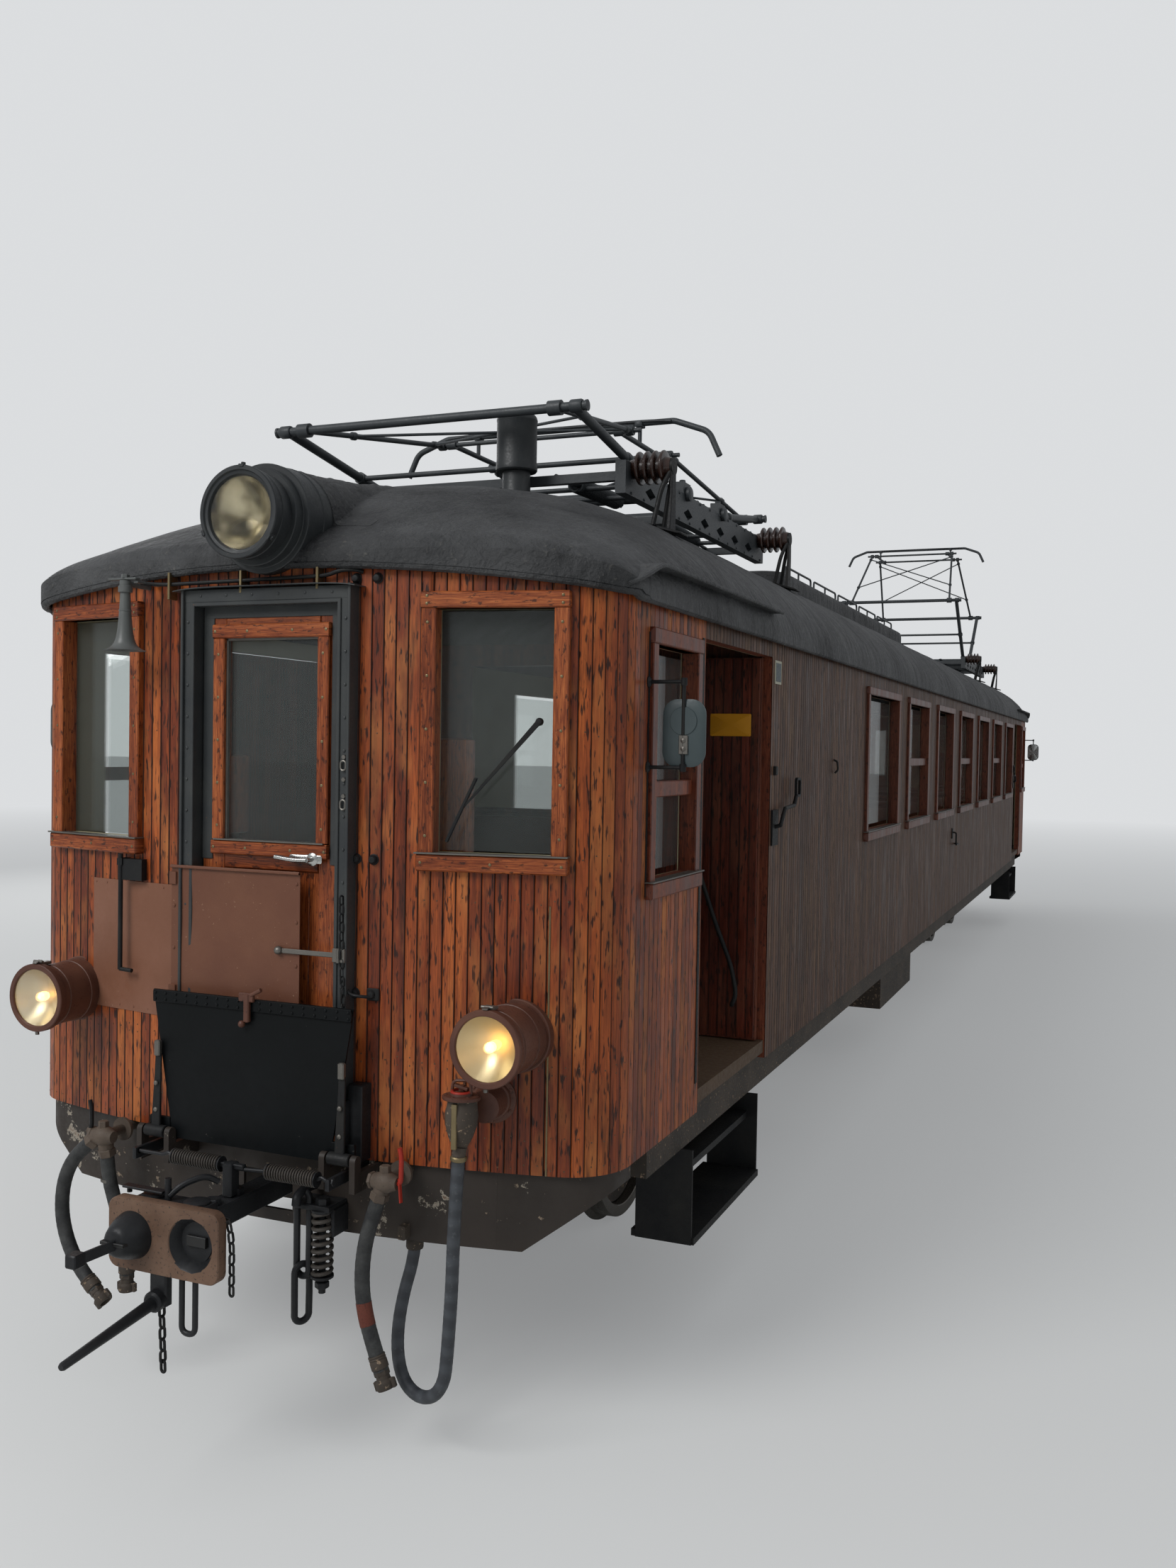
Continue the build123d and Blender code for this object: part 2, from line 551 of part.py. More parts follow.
def make_lamps():
    lamps = []
    for side in (-1, 1):
        x = side * LAMP_X
        back = -wall_y(x) - 2
        body = rod((x, back + 60, LAMP_Z), (x, -LAMP_FACE_Y + 20, LAMP_Z), LAMP_R - 14)
        body += rod((x, -LAMP_FACE_Y + 30, LAMP_Z), (x, -LAMP_FACE_Y, LAMP_Z), LAMP_R)
        body -= rod((x, -LAMP_FACE_Y + 90, LAMP_Z), (x, -LAMP_FACE_Y - 10, LAMP_Z), LAMP_R - 22)
        lamps.append(on_wall(body))
    steps = [rod((0, y0 - TOP_LAMP_FACE_Y, TOP_LAMP_Z), (0, y1 - TOP_LAMP_FACE_Y, TOP_LAMP_Z), r)
             for y0, y1, r in TOP_LAMP_STEPS]
    drum = steps[0].fuse(*steps[1:])
    mouth = (0, -10 - TOP_LAMP_FACE_Y, TOP_LAMP_Z)
    drum -= rod((0, 120 - TOP_LAMP_FACE_Y, TOP_LAMP_Z), mouth, TOP_LAMP_RECESS_R)
    drum -= nodes["roof"][0]
    drum -= nodes["end_wall_front"][0]
    nodes["headlamps"] = both_ends(lamps + [largest(drum)])


def make_bogies():
    for name, sy in (("front", -1), ("rear", 1)):
        yc = sy * BOGIE_Y
        z_axle = RAIL_TOP + WHEEL_R
        parts = []
        for sx in (-1, 1):
            x = sx * FRAME_X
            x0, x1 = x - FRAME_T / 2, x + FRAME_T / 2
            half = WHEELBASE / 2
            parts.append(box(x0, x1, yc - half - FRAME_END, yc + half + FRAME_END, 560, 700))
            for ay in (yc - half, yc + half):
                parts.append(box(x0, x1, ay - 150, ay + 150, z_axle - 130, 570))
                parts.append(box(x - 65, x + 75, ay - 110, ay + 110, z_axle - 110, z_axle + 110))
                for k in range(5):
                    long, z = SPRING_L / 2 - 70 * k, 700 + LEAF_SPRING_T * (4 - k)
                    parts.append(box(x - 35, x + 35, ay - long, ay + long, z - 1, z + LEAF_SPRING_T))
        for cy in (yc - WHEELBASE / 2 - FRAME_END + 25, yc + WHEELBASE / 2 + FRAME_END - 25):
            parts.append(box(-FRAME_X, FRAME_X, cy - 25, cy + 25, 580, 690))
        parts.append(box(-FRAME_X - 20, FRAME_X + 20, yc - 140, yc + 140, 590, 740))
        parts.append(Pos(0, yc, (740 + SILL_Z0) / 2) * Cylinder(CENTRE_PLATE_R, SILL_Z0 - 740 - 2 * RUN_CLEAR))
        parts.append(Pos(0, yc, 800) * Cylinder(PIVOT_R, 200))
        frame = parts[0].fuse(*parts[1:])
        for ay in (yc - WHEELBASE / 2, yc + WHEELBASE / 2):
            frame -= Pos(0, ay, z_axle) * Rot(0, 90, 0) * Cylinder(JOURNAL_R + RUN_CLEAR, 2 * JOURNAL_END + 2)
        nodes["bogie_frame_" + name] = [frame]


def wheelset(ay):
    """Axle with two wheels: hub, dished web, rim and flange."""
    z_axle = RAIL_TOP + WHEEL_R
    face = GAUGE / 2 - 5
    back = face - FLANGE_W
    tread_end = face + TREAD_W
    hub_r = 125
    outline = Polyline(
        (back, 0), (back - 10, 0), (back - 10, hub_r), (back + 25, hub_r), (back + 40, WHEEL_R - 75),
        (back, WHEEL_R - 60), (back, WHEEL_R + FLANGE_H - 8), (back + 8, WHEEL_R + FLANGE_H),
        (back + 18, WHEEL_R + FLANGE_H - 2), (face + 4, WHEEL_R), (tread_end, WHEEL_R - 3),
        (tread_end, WHEEL_R - 60), (back + 75, WHEEL_R - 75), (back + 60, hub_r), (tread_end - 5, hub_r),
        (tread_end - 5, 0), close=True)
    wheel = revolve(make_face(outline), Axis.X, 360)
    axle = Rot(0, 90, 0) * Cylinder(AXLE_R, 2 * tread_end + 30)
    axle += Rot(0, 90, 0) * Cylinder(JOURNAL_R, 2 * JOURNAL_END)
    return Pos(0, ay, z_axle) * axle.fuse(wheel, mirrored(wheel))


def make_wheelsets():
    places = [bogie_y + half for bogie_y in (-BOGIE_Y, BOGIE_Y) for half in (-WHEELBASE / 2, WHEELBASE / 2)]
    for i, ay in enumerate(places):
        nodes["wheelset_" + str(i + 1)] = [wheelset(ay)]


def make_couplers():
    y_face = -COUPLER_FACE_Y
    plate = Pos(0, y_face + HEAD_T / 2, COUPLER_Z) * Rot(90, 0, 0) * extrude(
        RectangleRounded(HEAD_W, HEAD_H, 40), HEAD_T / 2, both=True)
    cone = Pos(-125, y_face - 45, COUPLER_Z) * Rot(90, 0, 0) * Cone(80, 42, 92)
    back = Pos(0, y_face + HEAD_T + 85, COUPLER_Z) * Rot(90, 0, 0) * Cone(60, 175, 172)
    bar = box(-DRAWBAR_W / 2, DRAWBAR_W / 2, y_face + HEAD_T + 100, -DRAWBAR_END_Y, COUPLER_Z - DRAWBAR_H / 2,
              COUPLER_Z + DRAWBAR_H / 2)
    pin = rod((0, -DRAWBAR_PIN_Y, COUPLER_Z - 70), (0, -DRAWBAR_PIN_Y, 950), 25)
    foot = COUPLER_Z - HEAD_H / 2
    lug = box(-60, 10, y_face + 6, y_face + HEAD_T, foot - 115, foot + 5)
    guide = Plane(origin=(-25, y_face + 30, foot - 85), z_dir=(20, -GUIDE_L, -35)) * Cone(
        22, 14, GUIDE_L, align=(Align.CENTER, Align.CENTER, Align.MIN))
    y_link = y_face + 30
    route = FilletPolyline((60, y_link, foot + 5), (60, y_link, foot - 190), (115, y_link, foot - 190),
                           (115, y_link, foot + 5), radius=27)
    link = sweep(Plane(origin=route @ 0, z_dir=route % 0) * Circle(10), path=route)
    head = plate.fuse(cone, back, bar, pin, lug, guide, link)
    head -= Pos(115, y_face + 40, COUPLER_Z) * Rot(90, 0, 0) * Cone(50, 88, 82)
    nodes["couplers"] = both_ends(head)
    behind = -BEAM_Y - 340
    rods = rod((-420, -SPRING_ROD_Y, SPRING_ROD_Z), (420, -SPRING_ROD_Y, SPRING_ROD_Z), 13)
    for x0, x1 in ((-370, -150), (150, 370)):
        rods += rod((x0, -SPRING_ROD_Y, SPRING_ROD_Z), (x1, -SPRING_ROD_Y, SPRING_ROD_Z), 30)
    for x in (-420, 420):
        rods += box(x - 10, x + 10, -SPRING_ROD_Y - 25, behind, SPRING_ROD_Z - 30, SPRING_ROD_Z + 14)
    rods += box(-12, 12, -SPRING_ROD_Y - 20, -SPRING_ROD_Y + 20, COUPLER_Z + DRAWBAR_H / 2 + RUN_CLEAR,
                SPRING_ROD_Z)
    y_link = -HALF_L - 68
    hook = box(185, 340, y_link - 15, behind, 795, 815)
    hook += box(195, 245, y_link - 15, behind, 810, 850)
    route = FilletPolyline((193, y_link, 835), (193, y_link, 400), (247, y_link, 400),
                           (247, y_link, 835), radius=26)
    hook += sweep(Plane(origin=route @ 0, z_dir=route % 0) * Circle(13), path=route)
    hook += rod((295, y_link + 12, 545), (295, y_link + 12, 800), 42)
    hook += rod((295, y_link + 12, 490), (295, y_link + 12, 550), 16)
    nodes["drawgear_irons"] = both_ends([on_apron(rods), on_apron(hook)])


def make_fall_plates():
    """Steel plate folded up in front of the end door, with its hinges on the apron."""
    y_back = -PLATE_HINGE_Y + 30
    y_front = y_back - PLATE_T
    z0 = PLATE_HINGE_Z - 30
    outline = Polyline((-PLATE_BOTTOM_W / 2, z0), (PLATE_BOTTOM_W / 2, z0), (PLATE_TOP_W / 2, PLATE_TOP_Z),
                       (-PLATE_TOP_W / 2, PLATE_TOP_Z), close=True)
    plate = extrude(at_y(make_face(outline), y_back), PLATE_T)
    parts = [box(-PLATE_TOP_W / 2 + 3, PLATE_TOP_W / 2 - 3, y_front - 6, y_front, PLATE_TOP_Z - 45, PLATE_TOP_Z)]
    for x in (-PLATE_HINGE_X, PLATE_HINGE_X):
        parts.append(box(x - 30, x + 30, y_front - 12, y_front, PLATE_HINGE_Z, 1330))
        parts.append(rod((x - 45, -PLATE_HINGE_Y, PLATE_HINGE_Z), (x + 45, -PLATE_HINGE_Y, PLATE_HINGE_Z), 22))
    parts.append(box(-30, 30, y_front - 30, y_front, PLATE_TOP_Z - 20, PLATE_TOP_Z + 40))
    whole = plate.fuse(*parts)
    pins = []
    for x in (-PLATE_HINGE_X, PLATE_HINGE_X):
        a, b = sorted((x, x * 0.8))
        whole -= box(a - 100 * (x < 0), b + 100 * (x > 0), y_back - 0.5 - PLATE_T, y_back + 1, 0,
                     PLATE_HINGE_Z + 35) - box(x - 46, x + 46, -PLATE_HINGE_Y - 80, y_back + 90, z0, PLATE_HINGE_Z + 40)
        whole -= rod((x - 60, -PLATE_HINGE_Y, PLATE_HINGE_Z), (x + 60, -PLATE_HINGE_Y, PLATE_HINGE_Z),
                     PLATE_PIN_R + RUN_CLEAR)
        pin = rod((x - 75, -PLATE_HINGE_Y, PLATE_HINGE_Z), (x + 75, -PLATE_HINGE_Y, PLATE_HINGE_Z), PLATE_PIN_R)
        for side in (-1, 1):
            a, b = sorted((x + side * 52, x + side * 75))
            pin += box(a, b, -PLATE_HINGE_Y - 20, 100 - HALF_L, PLATE_HINGE_Z - 110, PLATE_HINGE_Z - 42)
            pin += rod((a, -PLATE_HINGE_Y, PLATE_HINGE_Z), (b, -PLATE_HINGE_Y, PLATE_HINGE_Z), 20)
            pin += box(a, b, -PLATE_HINGE_Y - 20, -PLATE_HINGE_Y + 20, PLATE_HINGE_Z - 110, PLATE_HINGE_Z)
        pins.append(on_apron(pin))
    nodes["fall_plate_front"] = [largest(whole)]
    nodes["fall_plate_rear"] = [half_turn(largest(whole))]
    for pin in pins:
        nodes["headstocks"] += both_ends(pin)


def arm_points(yc, angle, side):
    """Shaft, knee and head pivot of one side of a pantograph, seen along X."""
    a = math.radians(angle)
    shaft = (yc + side * SHAFT_HALF, SHAFT_Z)
    knee = (shaft[0] + side * ARM_L * math.cos(a), SHAFT_Z + ARM_L * math.sin(a))
    top = (shaft[0], SHAFT_Z + 2 * ARM_L * math.sin(a))
    return shaft, knee, top


def make_pantographs():
    bases = []
    insulators = []
    for name, yc, angle in PANTO:
        for end, side in (("a", -1), ("b", 1)):
            shaft, knee, top = arm_points(yc, angle, side)
            lower = rod((-SHAFT_END, shaft[0], shaft[1]), (SHAFT_END, shaft[0], shaft[1]), SHAFT_R)
            lower += rod((-KNEE_HALF_W - 20, knee[0], knee[1]), (KNEE_HALF_W + 20, knee[0], knee[1]), 20)
            for sx in (-1, 1):
                x = sx * (KNEE_HALF_W - 40)
                lower += rod((x, shaft[0], shaft[1]), (x, knee[0], knee[1]), 22)
            tie = [shaft[i] + 0.45 * (knee[i] - shaft[i]) for i in (0, 1)]
            lower += rod((40 - KNEE_HALF_W, *tie), (KNEE_HALF_W - 40, *tie), 13)
            nodes["panto_lower_" + name + "_" + end] = [lower]
            upper = rod((-HEAD_HALF_W, top[0], top[1]), (HEAD_HALF_W, top[0], top[1]), 12)
            for sx in (-1, 1):
                x = sx * (KNEE_HALF_W - 130)
                upper += rod((x, knee[0], knee[1]), (sx * (HEAD_HALF_W - 60), top[0], top[1]), 13)
                upper += rod((x - 30, knee[0], knee[1]), (x + 30, knee[0], knee[1]), 32)
                near, far = [[knee[i] + part * (top[i] - knee[i]) for i in (0, 1)] for part in BRACE_ENDS]
                inward = sx * (KNEE_HALF_W - 130 - (HEAD_HALF_W - 60))
                upper += rod((x - inward * BRACE_ENDS[0], *near), (inward * BRACE_ENDS[1] - x, *far), 7)
            upper -= rod((-KNEE_HALF_W, knee[0], knee[1]), (KNEE_HALF_W, knee[0], knee[1]), 20 + RUN_CLEAR)
            nodes["panto_upper_" + name + "_" + end] = [upper]
        nodes["panto_head_" + name] = [make_head(yc, angle)]
        base, ins = make_base(yc)
        bases.append(base)
        insulators += ins
    nodes["pantograph_bases"] = bases
    nodes["insulators"] = insulators


def make_head(yc, angle):
    """Collector bow on its two head pivots."""
    top_z = SHAFT_Z + 2 * ARM_L * math.sin(math.radians(angle))
    strip_z = top_z + 110
    parts = []
    route = [(-BOW_HALF_W, -200), (-BOW_HALF_W + 60, -70), (-BOW_HALF_W + 250, 0),
             (BOW_HALF_W - 250, 0), (BOW_HALF_W - 60, -70), (BOW_HALF_W, -200)]
    path = FilletPolyline(*[(x, yc, strip_z + z) for x, z in route], radius=90)
    start = Plane(origin=path @ 0, z_dir=path % 0)
    parts.append(sweep(start * Circle(16), path=path))
    for sx in (-1, 1):
        x = sx * (HEAD_HALF_W - 120)
        parts.append(rod((x, yc - SHAFT_HALF, top_z), (x, yc + SHAFT_HALF, top_z), 14))
        parts.append(rod((x, yc, top_z), (x, yc, strip_z - 5), 11))
        for sy in (-1, 1):
            parts.append(rod((x - 25, yc + sy * SHAFT_HALF, top_z), (x + 25, yc + sy * SHAFT_HALF, top_z), 24))
    head = parts[0].fuse(*parts[1:])
    head -= rod((-HEAD_HALF_W, yc - SHAFT_HALF, top_z), (HEAD_HALF_W, yc - SHAFT_HALF, top_z), 12 + RUN_CLEAR)
    head -= rod((-HEAD_HALF_W, yc + SHAFT_HALF, top_z), (HEAD_HALF_W, yc + SHAFT_HALF, top_z), 12 + OPEN_CLEAR)
    return head


def make_base(yc):
    """Frame under a pantograph: two long members, cross members and shaft bearings, and its insulators."""
    z0, z1 = 3700, 3745
    parts = []
    for sx in (-1, 1):
        x = sx * (KNEE_HALF_W + 60)
        girder = box(x - 25, x + 25, yc - BASE_HALF_L, yc + BASE_HALF_L, GIRDER_Z0, z1)
        for k in range(-3, 4):
            y = yc + k * BASE_HALF_L * 0.24
            hole = make_face(Polyline((y - 70, 0), (y, -28), (y + 70, 0), (y, 28), close=True))
            girder -= extrude(Plane(origin=(x - 30, 0, GIRDER_Z0 + 50), x_dir=(0, 1, 0), z_dir=(1, 0, 0)) * hole, 60)
        parts.append(girder)
        for sy in (-1, 1):
            y = yc + sy * SHAFT_HALF
            parts.append(box(x - 25, x + 25, y - 55, y + 55, z0, SHAFT_Z + 55))
    for y in (yc - BASE_HALF_L + 30, yc, yc + BASE_HALF_L - 30):
        parts.append(box(-KNEE_HALF_W - 60, KNEE_HALF_W + 60, y - 20, y + 20, z0 - 40, z0))
    for sx in (-1, 1):
        for sy in (-1, 1):
            y = yc + sy * (BASE_HALF_L - 100)
            x0, x1 = sorted((sx * (KNEE_HALF_W + 60), sx * (BASE_X - 100)))
            parts.append(box(x0, x1, y - 15, y + 15, z0, z1))
    base = parts[0].fuse(*parts[1:])
    for sy in (-1, 1):
        y = yc + sy * SHAFT_HALF
        base -= rod((-SHAFT_END - 1, y, SHAFT_Z), (SHAFT_END + 1, y, SHAFT_Z), SHAFT_R + RUN_CLEAR)
    ins = []
    roof = nodes["roof"][0]
    for sx in (-1, 1):
        for sy in (-1, 1):
            y = yc + sy * (BASE_HALF_L - 100)
            xa, xb = sx * (BASE_X - 100), sx * (BASE_X + 90)
            body = rod((xa, y, 3722), (xb, y, 3722), 45)
            for k in range(4):
                xk = xa + sx * (30 + 38 * k)
                body += rod((xk, y, 3722), (xk + sx * 18, y, 3722), INSULATOR_R)
            leg = box(min(xb, xb - sx * 20), max(xb, xb - sx * 20), y - 40, y + 40, roof_z(xb, y) - 40, 3722)
            body += leg
            body -= roof
            ins.append(largest(body))
    return base, ins


def make_roof_fittings():
    roof = nodes["roof"][0]
    top = 3900
    housing = box(-350, 350, -2900, 2900, 3500, top)
    housing = fillet(housing.edges().filter_by(Axis.Z), 180)
    housing = fillet(housing.faces().sort_by(Axis.Z)[-1].edges(), 60)
    rails = []
    for k in range(5):
        for x in (-270, 270):
            y0, y1 = -2480 + 1020 * k, -1580 + 1020 * k
            route = FilletPolyline((x, y0, top - 20), (x, y0, top + 80), (x, y1, top + 80), (x, y1, top - 20), radius=35)
            rails.append(sweep(Plane(origin=route @ 0, z_dir=route % 0) * Circle(9), path=route))
            rails.append(rod((x, (y0 + y1) / 2, top - 20), (x, (y0 + y1) / 2, top + 80), 8))
    housing = housing.fuse(*rails)
    housing -= roof
    housing = largest(housing)
    vent = rod((360, -VENT_Y, 3560), (360, -VENT_Y, 3760), 62)
    hood = rod((360, -VENT_Y, 3700), (360, -VENT_Y, 3971), 93)
    vent += fillet(hood.edges().sort_by(Axis.Z)[-1], 40)
    vent -= roof
    vent = largest(vent)
    nodes["roof_fittings"] = [housing] + both_ends(vent)


def make_steps():
    treads = []
    yc = -(DOORWAY_Y0 + DOORWAY_Y1) / 2
    for sx in (-1, 1):
        parts = []
        for y in (-DOORWAY_Y1 + 30, -DOORWAY_Y0 - 30):
            x0, x1 = sorted((sx * (HALF_W - 270), sx * (HALF_W - 20)))
            parts.append(box(x0, x1, y - 6, y + 6, 400, SILL_Z0))
        for z, reach in ((400, HALF_W - 10), (680, FRAME_HALF_W)):
            x0, x1 = sorted((sx * (HALF_W - 290), sx * reach))
            parts.append(box(x0, x1, -DOORWAY_Y1 + 30, -DOORWAY_Y0 - 30, z, z + 30))
        treads.append(parts[0].fuse(*parts[1:]))
    nodes["steps"] = both_ends(treads)


def make_interior():
    benches = []
    for i in range(7):
        y = 3800 - HALF_L + WINDOW_PITCH * i
        for sx in (-1, 1):
            x0, x1 = sorted((sx * 330, sx * (HALF_W - 110)))
            bench = box(x0, x1, y - 450, y + 450, 1400, 1500)
            bench += box(x0, x1, y - 35, y + 35, FLOOR_Z, 2050)
            bench += box(x0, x1, y - 380, y + 380, 1300, 1400)
            bench += box(x0, x1, y - 120, y + 120, FLOOR_Z, 1310)
            benches.append(bench)
    nodes["seats"] = benches
    desk = rod((-800, -BEAM_Y, FLOOR_Z), (-800, -BEAM_Y, 1950), 150)
    wheel_post = rod((820, -BEAM_Y, FLOOR_Z), (820, -BEAM_Y, 1900), 40)
    wheel_post += rod((820, -BEAM_Y, 1860), (820, -BEAM_Y, 1900), 200)
    nodes["cab_equipment"] = both_ends([desk, wheel_post])
    boxes = [
        box(-1100, -450, -2400, -900, 420, SILL_Z0 + 105),
        box(450, 1100, -2400, -900, 420, SILL_Z0 + 105),
        box(-1100, -450, 900, 2400, 420, SILL_Z0 + 105),
    ]
    tank = rod((700, 900, 640), (700, 2500, 640), 180)
    straps = box(640, 760, 1400, 1460, 790, SILL_Z0 + 105)
    boxes.append(tank.fuse(straps))
    nodes["underfloor_boxes"] = boxes


def make_end_fittings():
    horn_y = -HALF_L - 100
    outline = Polyline((0, 2812), (78, 2812), (52, 2832), (31, 2880), (22, 2960), (16, 3060), (0, 3060), close=True)
    horn = Pos(-590, horn_y, 0) * revolve(make_face(outline).rotate(Axis.X, 90), Axis.Z, 360)
    pipe = rod((-590, horn_y, 3050), (-590, horn_y, 3080), 26)
    pipe += rod((-590, horn_y, 3065), (-590, horn_y + 200, 3065), 12)
    nodes["horns"] = both_ends(on_wall(horn.fuse(pipe)))
    mirrors = []
    for side in (-1, 1):
        x, y = side * MIRROR_X, -MIRROR_Y
        plate = Pos(x, y + 5, MIRROR_Z) * Rot(90, 0, 0) * extrude(RectangleRounded(162, 245, 55), 5, both=True)
        mast = rod((x, y - 6, MIRROR_Z - 130), (x, y - 6, MIRROR_Z + 190), 7)
        stays = [rod((side * (HALF_W - 20), y - 6, z), (x, y - 6, z), 7) for z in (MIRROR_Z - 125, MIRROR_Z + 185)]
        mirrors.append(on_wall(plate.fuse(mast, *stays)))
    nodes["mirrors"] = both_ends(mirrors)
    left = ring(-4.3, -RUN_CLEAR, 1406, 1922) & box(-900, -375, -OUTSIDE_Y, -INSIDE_Y, 0, 4000)
    left -= rod((-LAMP_X, -INSIDE_Y, LAMP_Z), (-LAMP_X, -OUTSIDE_Y, LAMP_Z), LAMP_R - 14 + RUN_CLEAR)
    nodes["cover_plates"] += both_ends(largest(left))
    x, y = -700, 8 - HALF_L
    hanger = rod((x, y, 1575), (x, y, 2030), 9)
    hanger += rod((x, y, 1577), (x + 58, y, 1574), 8)
    hanger += box(x + 8, x + 105, y - 2, y + 100, 1927, 2010)
    hanger += box(x - 12, x + 12, y - 8, y + 60, 1985, 2012)
    irons = [on_wall(hanger)]
    x, y = HALF_W + 40, 100 - DOORWAY_Y0
    lamp_iron = box(HALF_W + RUN_CLEAR, HALF_W + 14, y - 75, y + 35, 2010, 2185)
    points = [(HALF_W + 8, y - 20, 2100), (x, y - 20, 2110), (x, y + 60, 2190), (x, y + 250, 2200), (x, y + 290, 2250)]
    for a, b in zip(points[:-1], points[1:]):
        lamp_iron += rod(a, b, 10)
        lamp_iron += Pos(*b) * Sphere(10)
    holder = extrude(RectangleRounded(90, 100, 22) - RectangleRounded(64, 74, 12), 7, both=True)
    lamp_iron += Plane(origin=(x, y + 320, 2290), x_dir=(0, 1, 0), z_dir=(1, 0, 0)) * holder
    irons += [lamp_iron, mirrored(lamp_iron)]
    nodes["wall_irons"] = both_ends(irons)
    socket_x = 880
    socket = rod((socket_x, 150 - HALF_L, 1225), (socket_x, -HALF_L - 100, 1225), 62)
    socket += rod((socket_x, -HALF_L - 50, 1225), (socket_x, -HALF_L - 110, 1225), 75)
    start, towards = Vector(*JUMPER[0]), Vector(*JUMPER[1])
    back = (start - towards).normalized()
    socket += rod(tuple(start), tuple(start + back * 60), 30)
    socket += rod(tuple(start + back * 50), (socket_x, -HALF_L - 78, 1200), 27)
    end, before = Vector(*JUMPER[-1]), Vector(*JUMPER[-2])
    on = (end - before).normalized()
    gland = rod(tuple(end), tuple(end + on * 120), 32)
    gland_x, gland_y = end.X, end.Y
    gland += box(gland_x - 15, gland_x + 15, gland_y - 100, gland_y, 700, 750)
    gland -= ring(APRON_INSET, APRON_INSET + APRON_T + RUN_CLEAR, 600, 900)
    gland -= ring(-500, APRON_INSET, 600, 900)
    nodes["jumper_sockets"] = both_ends([on_wall(socket), largest(gland)])
    valves = []
    for routes in ([HOSES[0][1]], [HOSES[1][1], HOSES[2][1]]):
        nipples = []
        for route in routes:
            top = Vector(*route[0])
            back = (top - Vector(*route[1])).normalized()
            nipples.append(rod(tuple(top), tuple(top + back * NIPPLE_L), HOSE_R + 6))
        x = sum(route[0][0] for route in routes) / len(routes) + VALVE_OFFSET
        valve = Pos(x, VALVE_Y, VALVE_Z) * Sphere(VALVE_R)
        valve += rod((x, VALVE_Y + 254, VALVE_Z), (x, VALVE_Y, VALVE_Z), 22)
        valves.append(on_apron(valve.fuse(*nipples)))
    nodes["air_valves"] = both_ends(valves)


def cord(name, points, radius):
    """Round cord along straight runs joined by arcs as large as the runs allow."""
    pts = [Vector(*p) for p in points]
    radii = []
    for a, b, c in zip(pts[:-2], pts[1:-1], pts[2:]):
        first = b - a
        second = c - b
        half = math.radians(first.get_angle(second)) / 2
        radii.append(0.45 * min(first.length, second.length) / math.tan(half))
    path = FilletPolyline(*points, radius=radii)
    start = Plane(origin=pts[0], z_dir=pts[1] - pts[0])
    tube = sweep(start * Circle(radius), path=path)
    print(name, "length", round(path.length), "radii", [round(r) for r in radii],
          "volume ratio", round(tube.volume / (math.pi * radius ** 2 * path.length), 4))
    nodes[name] = [tube]


def make_cords():
    """Hoses and the jumper cable of the front end, with the coupling head on each free end."""
    cord("jumper_cable", JUMPER, JUMPER_R)
    heads = []
    for name, points in HOSES:
        cord(name, points, HOSE_R)
        tail = Vector(*points[-1])
        run = (tail - Vector(*points[-2])).normalized()
        end = tail + run * COUPLING_L
        heads.append(rod(tuple(tail), tuple(end), HOSE_R + 9))
    nodes["hose_couplings"] = heads


make_underframe()
make_headstocks()
make_floor()
make_side_walls()
make_end_walls()
make_roof()
make_bulkheads()
make_side_windows()
make_end_windows()
make_end_doors()
make_side_doors()
make_lamps()
make_bogies()
make_wheelsets()
make_couplers()
make_fall_plates()
make_pantographs()
make_roof_fittings()
make_steps()
make_interior()
make_end_fittings()
make_cords()

os.makedirs("parts", exist_ok=True)
for name, solids in nodes.items():
    shapes = [s for part in solids for s in part.solids()]
    whole = shapes[0] if len(shapes) == 1 else Compound(children=shapes)
    export_step(whole, "parts/" + name + ".step")
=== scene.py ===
import math

import bmesh
import bpy
import numpy as np
from mathutils import Matrix


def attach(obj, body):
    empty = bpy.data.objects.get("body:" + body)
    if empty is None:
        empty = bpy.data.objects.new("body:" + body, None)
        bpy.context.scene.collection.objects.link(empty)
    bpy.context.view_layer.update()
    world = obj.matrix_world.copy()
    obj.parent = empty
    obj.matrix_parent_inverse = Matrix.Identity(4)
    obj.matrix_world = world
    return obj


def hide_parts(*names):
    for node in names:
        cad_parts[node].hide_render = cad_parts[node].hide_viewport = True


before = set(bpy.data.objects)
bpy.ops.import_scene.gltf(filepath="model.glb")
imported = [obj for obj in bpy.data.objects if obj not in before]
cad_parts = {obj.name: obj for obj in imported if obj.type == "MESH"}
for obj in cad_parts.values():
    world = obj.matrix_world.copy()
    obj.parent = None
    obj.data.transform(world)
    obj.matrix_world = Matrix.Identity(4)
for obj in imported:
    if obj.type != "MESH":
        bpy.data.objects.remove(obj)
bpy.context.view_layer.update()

# Sizes in metres, as in the construction
HALF_L, HALF_W, BOW_R, CORNER_R = 9.0, 1.31, 4.6, 0.23
SHEATH_Z0, EAVES_Z, END_ARCH = 0.973, 3.014, 0.112
FLOOR_Z = 1.06
ROOF_HALF_W, ROOF_CROWN_Z, DOME_Y, DOME_R = 1.36, 3.646, 7.487, 2.9
ROOF_OVER = 0.05
DOOR_Y0, DOOR_Y1, DOOR_Z1 = 6.78, 7.85, 2.93
END_DOOR_HALF = 0.31
END_WIN_X, END_WIN_W, END_WIN_Z0, END_WIN_Z1 = 0.885, 0.45, 2.094, 2.955
CAB_WIN_Y, CAB_WIN_W, CAB_WIN_Z0, CAB_WIN_Z1 = 8.23, 0.5, 1.985, 2.86
WINDOW_Z0, WINDOW_Z1 = 1.955, 2.86
SIDE_WINDOWS = [(-3.74, 1.16, False)] + [(-2.165 + 1.6 * i, 1.0, i % 2 == 0) for i in range(6)]
